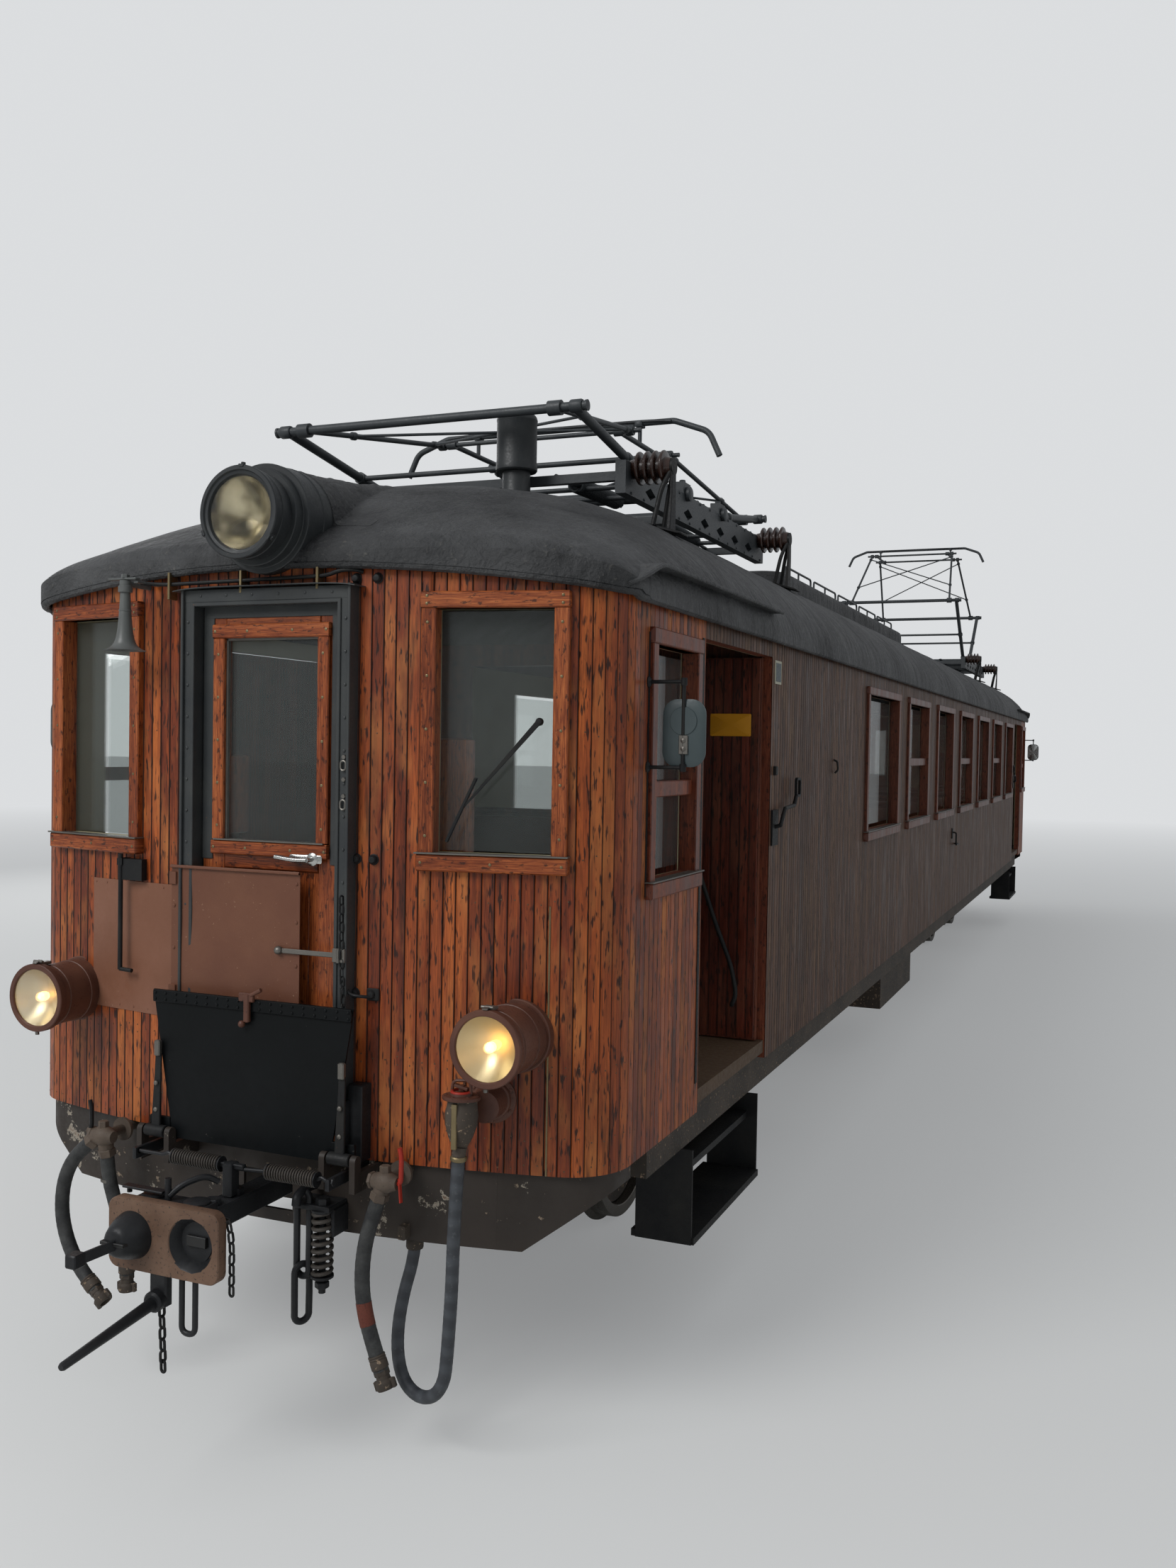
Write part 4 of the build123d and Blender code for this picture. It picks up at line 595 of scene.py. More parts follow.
def set_camera():
    """Camera of the photograph: place and turns worked out from the car's straight edges."""
    yaw, pitch, roll = np.radians((22.62, -1.53, 0.97))
    forward = np.array([-np.cos(pitch) * np.sin(yaw), np.cos(pitch) * np.cos(yaw), np.sin(pitch)])
    level = np.array([np.cos(yaw), np.sin(yaw), 0.0])
    upright = np.cross(level, forward)
    right = np.cos(roll) * level + np.sin(roll) * upright
    up = -np.sin(roll) * level + np.cos(roll) * upright
    turn = Matrix(np.stack([right, up, -forward], 1).tolist()).to_4x4()
    data = bpy.data.cameras.new("camera")
    data.sensor_fit = "VERTICAL"
    data.sensor_height = 36.0
    data.lens = 30.31
    data.clip_end = 500.0
    camera = bpy.data.objects.new("camera", data)
    camera.matrix_world = Matrix.Translation((2.966, -13.05, 2.470)) @ turn
    bpy.context.scene.collection.objects.link(camera)
    bpy.context.scene.camera = camera


def set_light():
    """Soft studio light: a pale sky, one large lamp over the front and one weak lamp on each side."""
    scene = bpy.context.scene
    scene.view_settings.view_transform = "Standard"
    world = bpy.data.worlds.new("studio")
    scene.world = world
    world.use_nodes = True
    tree = world.node_tree
    tree.nodes.clear()
    rays = add(tree, "LightPath")
    seen = add(tree, "Math", inputs={0: rays, 1: rays.node.outputs["Is Transmission Ray"]},
               operation="MAXIMUM")
    soft = add(tree, "Background", inputs={"Color": linear("#e9ecf0"), "Strength": 0.52})
    shown = add(tree, "Background", inputs={"Color": linear("#e6e8ea"), "Strength": 0.9})
    add(tree, "OutputWorld", inputs={"Surface": add(tree, "MixShader", inputs={0: seen, 1: soft, 2: shown})})
    for name, at, aim, size, power in (
            ("over_front", (-5, -20, 12), (0, -8, 1.8), 9, 1600),
            ("right_side", (14, -6, 9), (0, -2, 1.5), 10, 115),
            ("left_side", (-14, 4, 8), (0, 2, 2), 10, 400)):
        data = bpy.data.lights.new(name, "AREA")
        data.shape = "DISK"
        data.size = size
        data.energy = power
        lamp = bpy.data.objects.new(name, data)
        direction = unit(np.array(aim) - np.array(at))
        x = unit(np.cross(UP, -direction))
        y = np.cross(-direction, x)
        towards = Matrix(np.stack([x, y, -direction], 1).tolist()).to_4x4()
        lamp.matrix_world = Matrix.Translation(at) @ towards
        scene.collection.objects.link(lamp)


def set_floor():
    """Pale studio floor, 300 m across. Seen directly it runs into the backdrop far off."""
    size = 150.0
    corners = np.array([(-size, -size, 0), (size, -size, 0), (size, size, 0), (-size, size, 0)])
    mesh = bpy.data.meshes.new("studio_floor")
    mesh.from_pydata(corners.tolist(), [], [(0, 1, 2, 3)])
    skin = material("pale_studio_floor", plain("#d9dad8", 0.8))
    tree = skin.node_tree
    shader = next(n for n in tree.nodes if n.type == "BSDF_PRINCIPLED").outputs[0]
    pale = add(tree, "Emission", inputs={"Color": linear("#e6e8ea"), "Strength": 0.9})
    away = add(tree, "VectorMath", 1, {0: place(tree)}, operation="LENGTH")
    share = add(tree, "Math", inputs={0: add(tree, "LightPath"), 1: spread(tree, away, 9.0, 42.0, 0.3, 1.0)},
                operation="MULTIPLY")
    blend = add(tree, "MixShader", inputs={0: share, 1: shader, 2: pale})
    tree.links.new(blend, next(n for n in tree.nodes if n.type == "OUTPUT_MATERIAL").inputs["Surface"])
    mesh.materials.append(skin)
    floor = bpy.data.objects.new("studio_floor", mesh)
    bpy.context.scene.collection.objects.link(floor)


set_camera()
set_light()
set_floor()


# Cords

JUMPER = [(0.877, -9.12, 1.078), (0.869, -9.122, 0.93), (0.861, -9.119, 0.77), (0.857, -9.118, 0.62),
          (0.848, -9.116, 0.485), (0.84, -9.114, 0.382), (0.83, -9.112, 0.297), (0.784, -9.1, 0.229),
          (0.707, -9.075, 0.204), (0.632, -9.045, 0.23), (0.583, -9.008, 0.3), (0.56, -8.965, 0.395),
          (0.561, -8.925, 0.5), (0.572, -8.89, 0.585), (0.575, -8.88, 0.645),]
HOSES = {"hose_right": [(0.56, -9.105, 0.893), (0.528, -9.11, 0.803), (0.507, -9.118, 0.7),
                        (0.505, -9.126, 0.594), (0.524, -9.134, 0.492), (0.56, -9.14, 0.398),
                        (0.6, -9.144, 0.305)],
         "hose_left_outer": [(-0.722, -9.112, 0.925), (-0.79, -9.118, 0.872), (-0.838, -9.124, 0.79),
        (-0.854, -9.13, 0.7), (-0.844, -9.135, 0.602), (-0.802, -9.14, 0.505), (-0.738, -9.143, 0.425),
        (-0.668, -9.145, 0.368)], "hose_left_inner": [(-0.668, -9.09, 0.88), (-0.672, -9.078, 0.792),
        (-0.65, -9.07, 0.7), (-0.616, -9.066, 0.6), (-0.592, -9.064, 0.5), (-0.588, -9.066, 0.412)],}
JUMPER_R, HOSE_R = 0.023, 0.027


def nurbs_line(name, route):
    """The route's smooth line: points of an open quadratic NURBS curve with the route as control points."""
    data = bpy.data.curves.new(name + "_line", "CURVE")
    data.dimensions = "3D"
    data.resolution_u = 12
    spline = data.splines.new("NURBS")
    spline.points.add(len(route) - 1)
    spline.points.foreach_set("co", np.array([(*p, 1.0) for p in route]).ravel())
    spline.order_u = 3
    spline.use_endpoint_u = True
    holder = bpy.data.objects.new(name + "_line", data)
    mesh = bpy.data.meshes.new_from_object(holder)
    points = np.empty(len(mesh.vertices) * 3)
    mesh.vertices.foreach_get("co", points)
    bpy.data.objects.remove(holder)
    bpy.data.meshes.remove(mesh)
    return points.reshape(-1, 3)


def cord_piece(name, route, radius, skin, wrinkle):
    """Tube along the smooth line, its radius swelling in soft folds: r (1 + wrinkle sin(k s + angle))."""
    line = nurbs_line(name, route)
    step = np.linalg.norm(np.diff(line, axis=0), axis=1)
    run = np.concatenate([[0], np.cumsum(step)])
    s = np.linspace(0, run[-1], int(run[-1] / 0.006))
    path = np.stack([np.interp(s, run, line[:, k]) for k in range(3)], -1)
    sides = 20
    points, quads = tube(path, radius, sides, ref=(0.02, 1, 0.03))
    rings = points.reshape(len(path) + 2, sides, 3)
    angle = np.arange(sides) * 2 * np.pi / sides
    swell = 1 - wrinkle * (0.5 + 0.5 * np.sin(s[:, None] * 260 + 2 * np.sin(s[:, None] * 37) + angle))
    rings[1:-1] = path[:, None] + (rings[1:-1] - path[:, None]) * swell[..., None]
    across = np.tile(angle * radius, len(path) + 2)
    up = np.concatenate([[0], s, [s[-1]]]).repeat(sides)
    piece = make(name + "_skin", (rings.reshape(-1, 3), quads), skin, uv=np.stack([across, up], -1),
                 sharp=60, old=name)
    return piece, line, run[-1]


def coupling(name, route):
    """Hose end: a crimped sleeve, a hexagon and the claw head with its rubber ring, in line with the hose."""
    end = np.array(route[-1], float)
    way = unit(end - np.array(route[-2], float))
    start = end - 0.055 * way
    sleeve = spun([(30, 0), (31, 4), (29, 8), (31, 12), (29, 16), (31, 20), (31, 46), (22, 50)], start, way,
                  24)
    nut = spun([(26, 46), (28, 49), (28, 68), (26, 71)], start, way, 6)
    head = spun([(24, 70), (25, 85), (32, 92), (33, 112), (30, 118), (22, 118), (20, 108), (0, 106)], start,
                way, 24)
    across = unit(np.cross(way, (0, 1, 0)))
    claw = block(-0.012, 0.012, -0.008, 0.008, 0, 0.034, 0.003)
    turn = np.stack([across, np.cross(way, across), way], 1)
    claws = [moved(claw, start + 0.084 * way + side * 0.032 * across, turn) for side in (-1, 1)]
    piece = make(name + "_coupling", join(sleeve, nut, head, *claws), DUSTY_IRON, sharp=30,
                 old="hose_couplings")
    return piece


def make_cords():
    """The jumper cable and three hoses, each hose with its coupling."""
    jumper, line, length = cord_piece("jumper_cable", JUMPER, JUMPER_R, TAPE, 0.02)
    for name, route in HOSES.items():
        hose, line, length = cord_piece(name, route, HOSE_R, RUBBER, 0.02)
        coupling(name, route)


make_cords()


# Cladding, windows and roof

BOW_C = -(HALF_L - BOW_R)
CORNER_X = HALF_W - CORNER_R
CORNER_Y = BOW_C - math.sqrt((BOW_R - CORNER_R) ** 2 - CORNER_X ** 2)
CORNER_A = math.asin(CORNER_X / (BOW_R - CORNER_R))
BOW_S = BOW_R * CORNER_A
CORNER_S = BOW_S + CORNER_R * (math.pi / 2 - CORNER_A)
END_S = CORNER_S - DOOR_Y1 - CORNER_Y


def end_line(s, off=0.0):
    """Front outline by distance s from its middle: bow arc, corner arc, straight side; off is outwards."""
    s = np.asarray(s, float)
    a = np.abs(s)
    turn = np.where(a < BOW_S, a / BOW_R, np.clip(CORNER_A + (a - BOW_S) / CORNER_R, 0, np.pi / 2))
    x = np.where(a < BOW_S, (BOW_R + off) * np.sin(turn), CORNER_X + (CORNER_R + off) * np.sin(turn))
    y = np.where(a < BOW_S, BOW_C - (BOW_R + off) * np.cos(turn), CORNER_Y - (CORNER_R + off) * np.cos(turn))
    return np.sign(s) * x, y + np.maximum(a - CORNER_S, 0)


def end_s(x):
    """Distance along the bow at a given x."""
    return BOW_R * np.arcsin(x / BOW_R)


def arch_z(x):
    """Upper edge of the end wall: an arc 112 mm high over 2.82 m."""
    r = (1.41 ** 2 + END_ARCH ** 2) / (2 * END_ARCH)
    return EAVES_Z + END_ARCH - r + np.sqrt(r * r - np.minimum(np.abs(x), 1.31) ** 2)


def board_samples(s0, s1):
    """Places across boards from s0 to s1 and how far each stands out: 3 mm wide grooves down to the wall."""
    k = np.arange(math.floor(s0 / BOARD), math.ceil(s1 / BOARD) + 1)
    s = (k[:, None] * BOARD + np.array([0, 0.0028, BOARD / 2, BOARD - 0.0028])).ravel()
    s = np.concatenate([[s0], s[(s > s0 + 1e-4) & (s < s1 - 1e-4)], [s1]])
    edge = np.abs(s / BOARD - np.round(s / BOARD)) * BOARD
    return s, np.where(edge < 0.0015, 0.0006, PROUD)


def board_patch(line, s0, s1, z0, z1):
    """Boards from s0 to s1, their foot turned in: rows at the wall, the lower edge and the upper edge."""
    s, out = board_samples(s0, s1)
    low = np.full(len(s), z0)
    high = z1(s) if callable(z1) else np.full(len(s), z1)
    rows = []
    for z, off in ((low, np.full(len(s), -0.001)), (low, out), (high, out)):
        x, y = line(s, off)
        rows.append(xyz(x, y, z))
    points = np.stack(rows)
    uv = np.stack([np.tile(s, 3), points[..., 2].ravel()], -1)
    return points.reshape(-1, 3), grid_quads(3, len(s)), uv


def clad(name, line, spans, skin, flip=False, shift=0.0, turn_round=False):
    """A cladding piece from spans (s0, s1, z0, z1) along a line, its boards numbered from shift."""
    points, quads, uvs, start = [], [], [], 0
    for span in spans:
        p, q, uv = board_patch(line, *span)
        points.append(p)
        quads.append(q + start)
        uvs.append(uv)
        start += len(p)
    p, q = np.concatenate(points), np.concatenate(quads)
    if turn_round:
        p = p * (-1, -1, 1)
    if flip:
        q = q[:, ::-1]
    return make(name, (p, q), skin, uv=np.concatenate(uvs) + (shift, 0), open_sheet=True)


def arch_at(s):
    """Upper edge of the boards at s: the arch over the end, the eaves along the side."""
    x, y = end_line(s)
    return np.where(y > -8.7, EAVES_Z, arch_z(x))


def make_cladding():
    """Boards round both ends and along both sides, cut out for windows and doors."""
    w0, w1 = end_s(END_WIN_X - END_WIN_W / 2), end_s(END_WIN_X + END_WIN_W / 2)
    c0 = CORNER_S + (-CAB_WIN_Y - CAB_WIN_W / 2 - CORNER_Y)
    c1 = c0 + CAB_WIN_W
    door = end_s(END_DOOR_HALF + 0.012)
    spans = [(-door, door, 3.03, arch_at), (-door, door, SHEATH_Z0, FLOOR_Z - 0.002)]
    for a, b, low, high in ((door, w0, None, None), (w0, w1, END_WIN_Z0, END_WIN_Z1), (w1, c0, None, None),
                            (c0, c1, CAB_WIN_Z0, CAB_WIN_Z1), (c1, END_S, None, None)):
        for s0, s1 in ((a, b), (-b, -a)):
            if low is None:
                spans.append((s0, s1, SHEATH_Z0, arch_at))
            else:
                spans += [(s0, s1, SHEATH_Z0, low), (s0, s1, high, arch_at)]
    for end, turned in (("front", False), ("rear", True)):
        clad("end_boards_" + end, end_line, spans, END_BOARDS, shift=20.0 + 10 * turned, turn_round=turned)
    edges = [-DOOR_Y0]
    spans = [(-DOOR_Y1, -DOOR_Y0, DOOR_Z1, EAVES_Z), (DOOR_Y0, DOOR_Y1, DOOR_Z1, EAVES_Z)]
    for centre, width, _ in SIDE_WINDOWS:
        a, b = centre - width / 2, centre + width / 2
        spans += [(edges[-1], a, SHEATH_Z0, EAVES_Z), (a, b, SHEATH_Z0, WINDOW_Z0),
                  (a, b, WINDOW_Z1, EAVES_Z)]
        edges.append(b)
    spans.append((edges[-1], DOOR_Y0, SHEATH_Z0, EAVES_Z))
    clad("side_boards_right", lambda s, off=0.0: (HALF_W + off + 0 * s, s), spans, SIDE_BOARDS, shift=60.0)
    clad("side_boards_left", lambda s, off=0.0: (-HALF_W - off + 0 * s, s), spans, SIDE_BOARDS, flip=True,
         shift=90.0)


def on_end(shape, x, off=0.0):
    """Puts a shape drawn at the origin, facing -y, on the bow at x."""
    a = math.asin(x / BOW_R)
    turn = [[math.cos(a), -math.sin(a), 0], [math.sin(a), math.cos(a), 0], [0, 0, 1]]
    return moved(shape, (float((BOW_R + off) * math.sin(a)), float(BOW_C - (BOW_R + off) * math.cos(a)), 0),
                 turn)


def on_side(shape, y):
    """Puts a shape drawn at the origin, facing -y, on the right side wall at y."""
    return moved(shape, (HALF_W, y, 0), [[0, -1, 0], [1, 0, 0], [0, 0, 1]])


def window_joinery(w, z0, z1, rail=0.058, bar_z=None):
    """Frame of a window seen from outside, facing -y: rails run past the stiles, the sill stands out under
    a metal flashing, and a drop light has a middle bar."""
    h = w / 2
    face, depth = -0.022, 0.05
    parts = [block(-h - 0.045, h + 0.045, face - 0.004, depth, z1, z1 + rail, 0.004)]
    stiles = [block(sx * (h - 0.012) if sx > 0 else -h - 0.043, h + 0.043 if sx > 0 else -h + 0.012, face,
                    depth, z0 - 0.004, z1 + 0.002, 0.004) for sx in (-1, 1)]
    sill = block(-h - 0.05, h + 0.05, face - 0.012, depth, z0 - 0.064, z0 - 0.004, 0.005)
    flash = block(-h - 0.054, h + 0.054, face - 0.018, 0.01, z0 - 0.004, z0 + 0.002, 0.001)
    if bar_z:
        parts.append(block(-h + 0.01, h - 0.01, 0.0, 0.035, bar_z - 0.03, bar_z + 0.03, 0.004))
    return parts, stiles, sill, flash


def frame_screws(w, z0, z1):
    """Screws round a window frame: five on each stile, two on each end of the head, three on the sill."""
    h = w / 2
    sides = [(sx * (h + 0.018), -0.0225, z) for sx in (-1, 1) for z in np.linspace(z0 + 0.06, z1 - 0.05, 5)]
    ends = [(sx * (h + 0.02), -0.0265, z1 + 0.015 + 0.027 * k) for sx in (-1, 1) for k in (0, 1)]
    sill = [(sx * (h + 0.03), -0.0345, z0 - 0.034) for sx in (-1, 0, 1)]
    return bolt_heads(sides + ends + sill, AHEAD, 0.0058, 0.002, 8)


def make_windows():
    """Joinery, flashings and screws of the end, cab and side windows."""
    upright, level, metal, screws = [], [], [], []
    dark_up, dark_level, side_metal = [], [], []

    def on_both(shapes, y):
        right = [on_side(s, y) for s in shapes]
        return right + [other_side(s) for s in right]

    for x in (-END_WIN_X, END_WIN_X):
        rails, stiles, sill, flash = window_joinery(END_WIN_W, END_WIN_Z0, END_WIN_Z1)
        upright += [on_end(s, x) for s in stiles]
        level += [on_end(s, x) for s in rails + [sill]]
        metal.append(on_end(flash, x))
        screws.append(on_end(frame_screws(END_WIN_W, END_WIN_Z0, END_WIN_Z1), x))
    middle = (CAB_WIN_Z0 + CAB_WIN_Z1) / 2 - 0.1
    rails, stiles, sill, flash = window_joinery(CAB_WIN_W, CAB_WIN_Z0, CAB_WIN_Z1, bar_z=middle)
    brown = on_both(stiles, -CAB_WIN_Y) + on_both(rails + [sill], -CAB_WIN_Y)
    metal += on_both([flash], -CAB_WIN_Y)
    for centre, width, drop in SIDE_WINDOWS:
        middle = (WINDOW_Z0 + WINDOW_Z1) / 2 if drop else None
        rails, stiles, sill, flash = window_joinery(width, WINDOW_Z0, WINDOW_Z1, 0.05, middle)
        dark_up += on_both(stiles, centre)
        dark_level += on_both(rails + [sill], centre)
        side_metal += on_both([flash], centre)
    make("end_window_stiles", both_ends(*upright), JOINERY, old="window_frames")
    make("end_window_rails", both_ends(*level), JOINERY_FLAT, old="window_frames")
    make("side_window_stiles", join(*dark_up), DARK_TIMBER, old="window_frames")
    make("side_window_rails", join(*dark_level), DARK_TIMBER, old="window_frames")
    make("cab_window_frames", both_ends(*brown), JOINERY_BROWN, old="window_frames")
    make("sill_flashings", join(both_ends(*metal), *side_metal), STEEL)
    make("frame_screws", both_ends(*screws), BRASS)


def crown_z(y):
    """Height of the crown: level, then an arc down to each end."""
    run = np.maximum(0, np.abs(y) - DOME_Y)
    return ROOF_CROWN_Z - DOME_R + np.sqrt(DOME_R ** 2 - run ** 2)


def roof_z(x, y):
    """Half an ellipse across the car under a crown that falls in an arc towards each end."""
    rest = np.sqrt(np.maximum(0, 1 - (np.asarray(x) / ROOF_HALF_W) ** 2))
    return EAVES_Z + (crown_z(y) - EAVES_Z) * rest


def roof_end(x):
    """Where the roof ends along the car: the bow 50 mm further out, with its corner."""
    x = np.minimum(np.abs(x), ROOF_HALF_W)
    r, big = CORNER_R + ROOF_OVER, BOW_R + ROOF_OVER
    cx = ROOF_HALF_W - r
    cy = BOW_C - math.sqrt((big - r) ** 2 - cx ** 2)
    turn = math.asin(cx / (big - r)) if cx < big - r else math.pi / 2
    bow = BOW_C - np.sqrt(big ** 2 - x ** 2)
    corner = cy - np.sqrt(np.maximum(0, r ** 2 - np.maximum(0, x - cx) ** 2))
    return -np.where(x < big * math.sin(turn), bow, corner)


def canvas_ripple(x, y):
    """Soft wrinkles of the canvas: three crossing waves, 2 mm high, and finer folds over the ends."""
    wide = (np.sin(11 * y + 3 * np.sin(2.3 * x + 0.7 * y)) + 0.7 * np.sin(17 * x + 5 * np.sin(1.7 * y))
            + 0.6 * np.sin(6.1 * y - 9 * x))
    folds = np.maximum(0, np.sin(29 * y + 4 * np.sin(5 * x) + 6 * x)) ** 3 * np.sin(9 * x
            + 3 * np.sin(6 * y))
    return 0.0016 * wide + 0.004 * folds * np.clip(3 * (np.abs(y) - 7), 0, 1)


def make_roof():
    """Canvas roof as a shell, its rim pulled down, and the bead under its edge."""
    across = np.sin(np.linspace(-np.pi / 2, np.pi / 2, 81))
    close = 0.22 * np.linspace(0, 1, 50) ** 2
    v = np.concatenate([-1 + close, np.linspace(-0.77, 0.77, 130), (1 - close)[::-1]])
    x = across[:, None] * ROOF_HALF_W + 0 * v
    y = v[None] * roof_end(x)
    rim = np.minimum(1, np.minimum((1 - np.abs(v[None])) * 20, (1 - np.abs(across[:, None])) * 60))
    inset = np.clip(1 - (1 - np.abs(v[None])) * roof_end(x) / 0.06, 0, 1)
    z = roof_z(x, y) + canvas_ripple(x, y) * rim - 0.03 * inset ** 2 * (1 - across[:, None] ** 8)
    top = xyz(x, y, z)
    xi = across[:, None] * (HALF_W - 0.012) + 0 * v
    yi = v[None] * (roof_end(xi) - 0.075)
    under = xyz(xi, yi, np.minimum(roof_z(xi, yi) - 0.055, roof_z(xi * 1.03, yi) - 0.03))
    under[..., 2] = np.maximum(under[..., 2], EAVES_Z + 0.001)
    border = np.ones(x.shape, bool)
    border[1:-1, 1:-1] = False
    hem = np.where(np.abs(y) > 8.7, arch_z(x), EAVES_Z) + 0.002
    under[border] = xyz(x, y, np.minimum(hem, z - 0.012))[border]
    make("roof_canvas", slab(top, under), ROOF, old="roof")
    s = np.linspace(-END_S, END_S, 141)
    x, y = end_line(s, 0.032)
    drip = xyz(x, y, np.where(y > -8.7, EAVES_Z, arch_z(x)) - 0.004)
    bead = tube(drip, 0.017, 10, ref=(0.01, 0.02, 1))
    sides = [rod((sx * (HALF_W + 0.034), -DOOR_Y1, EAVES_Z - 0.004),
                 (sx * (HALF_W + 0.034), DOOR_Y1, EAVES_Z - 0.004), 0.016, 10) for sx in (-1, 1)]
    make("roof_edge_bead", join(both_ends(bead), *sides), ROOF)


def rounded(w, h, r, n=6):
    """Outline of a rectangle w by h with corners rounded to r."""
    a = np.linspace(0, np.pi / 2, n)
    arc = np.stack([np.cos(a), np.sin(a)], -1) * r
    corner = np.array([w / 2 - r, h / 2 - r])
    turned = arc @ [[0, 1], [-1, 0]]
    return np.concatenate([arc + corner, turned + corner * (-1, 1), -arc - corner,
                           -turned + corner * (1, -1)])


def plate(outline, centre, normal, thick, up=UP, edge=0.003):
    """Flat plate: an outline about its middle, seen from outside with up upwards, carried through its
    thickness, its edges rounded off."""
    n = unit(normal)
    outline = np.asarray(outline, float)
    reach = np.abs(outline).max(0).min()
    edge = min(edge, 0.4 * thick, 0.3 * reach)
    steps = np.array([thick / 2, thick / 2 - edge, edge - thick / 2, -thick / 2])
    inner = 1 - edge / reach
    return carry(outline, np.array(centre, float) + steps[:, None] * n, ref=up, scale=[inner, 1, 1, inner])


def slab(top, under):
    """Closed shell between two grids of points of the same size, the upper one first."""
    nu, nv = top.shape[:2]
    quads = grid_quads(nu, nv)
    edge = np.concatenate([np.arange(nv), np.arange(1, nu) * nv + nv - 1,
                           (nu - 1) * nv + np.arange(nv - 2, -1, -1), np.arange(nu - 2, 0, -1) * nv])
    turn = np.roll(edge, -1)
    rim = np.stack([edge, turn, turn + nu * nv, edge + nu * nv], -1)
    return (np.concatenate([top.reshape(-1, 3), under.reshape(-1, 3)]),
            np.concatenate([quads, quads[:, ::-1] + nu * nv, rim]))


def chain(path, link, r):
    """Chain along a path: oval links of a given length, each turned a quarter from the one before."""
    path = np.asarray(path, float)
    run = np.concatenate([[0], np.cumsum(np.linalg.norm(np.diff(path, axis=0), axis=1))])
    step = link - 2.2 * r
    s = np.arange(0, run[-1] - step / 2, step)
    at = [np.stack([np.interp(t, run, path[:, k]) for k in range(3)], -1) for t in (s, s + step)]
    links = []
    for i, (a, b) in enumerate(zip(*at)):
        along = unit(b - a)
        across = unit(np.cross(along, (0.2, 1, 0.1)))
        across = across if i % 2 else np.cross(along, across)
        links.append(loop((a + b) / 2, link / 2 - r, 0.6 * link / 2 - r, r, along, across, 8))
    return join(*links)


def hexagon(a, b, r):
    """Nut or hexagon head from a to b, its corners cut."""
    a, b = np.array(a, float), np.array(b, float)
    length = np.linalg.norm(b - a)
    c = 0.12 * r
    return lathe([(0, 0), (r - c, 0), (r, c), (r, length - c), (r - c, length), (0, length)], a, b - a, 6)


def round_part(profile, centre, axis=AHEAD, sides=64):
    """Turned part whose profile (height, radius) starts and ends on the axis."""
    heights = [(r, h) for h, r in profile]
    return lathe([(0, heights[0][1])] + heights + [(0, heights[-1][1])], centre, axis, sides)


def make_fairing():
    """Canvas hood behind each roof lamp: a half round, height sqrt(R^2 - x^2), that shrinks along the car
    and runs into the roof by a smooth maximum, low + k log(1 + exp((high - low) / k))."""
    x, y = np.meshgrid(np.linspace(-0.36, 0.36, 109), np.linspace(-8.9, -8.2, 60), indexing="ij")
    t = np.clip((y + 8.87) / 0.57, 0, 1.2)
    radius = 0.203 - 0.14 * t
    hood = 3.288 + 0.19 * t + np.sqrt(np.maximum(radius ** 2 - x ** 2, 0)) - 3 * np.maximum(np.abs(x)
            - radius, 0)
    low = roof_z(x, y) + 0.0005
    k = 0.022
    z = low + k * np.logaddexp(0, (hood - low) / k) + canvas_ripple(2 * x,
            2 * y) * (1 - np.minimum(1, 3 * np.abs(x)))
    shape = slab(xyz(x, y, z), xyz(x, y, low - 0.03))
    make("lamp_fairings", both_ends(shape), ROOF, old="roof")


def make_lips():
    """Rain lips over cab windows and doorways: a thin board along the roof edge, its front end run down."""
    s = np.concatenate([np.linspace(CORNER_S - 0.12, CORNER_S + 0.15, 24),
                        np.linspace(CORNER_S + 0.2, END_S + 0.98, 12)])
    x, y = end_line(s, 0.026)
    t = np.clip((y + 8.84) / 0.3, 0, 1)
    z = 3.03 + 0.106 * t * t * (3 - 2 * t)
    path = xyz(x, y, z)
    slim = 0.45 + 0.55 * t
    board = carry(oblong(0.096, 0.013, 0.003), path, ref=UP, scale=slim)
    out_x, out_y = end_line(s, 0.026 + 0.046 * slim)
    edge = tube(xyz(out_x, out_y, z - 0.004), 0.0075, 8)
    sag = carry(oblong(0.06, 0.012, 0.003), path - (0.055, 0, 0.004), ref=UP)
    make("rain_lips", both_ends(both_sides(board, edge, sag)), ROOF)


def reflector(centre, r, depth, flat=0.012):
    """Dish behind a lamp glass: depth (q / r)^2, closed at the back."""
    q = np.linspace(0.016, r, 14)
    front = [(-flat - depth * (1 - (v / r) ** 2), v) for v in q]
    back = [(h - 0.004, v) for h, v in front[::-1]]
    return round_part(front + back, centre, sides=64)


def lens(centre, r, bulge):
    """Lamp glass: a shallow dome 3 mm thick."""
    q = np.linspace(0.002, r, 8)
    dome = [(-0.006 + bulge * (1 - (v / r) ** 2), v) for v in q]
    return round_part(dome + [(h - 0.003, v) for h, v in dome[::-1]], centre)


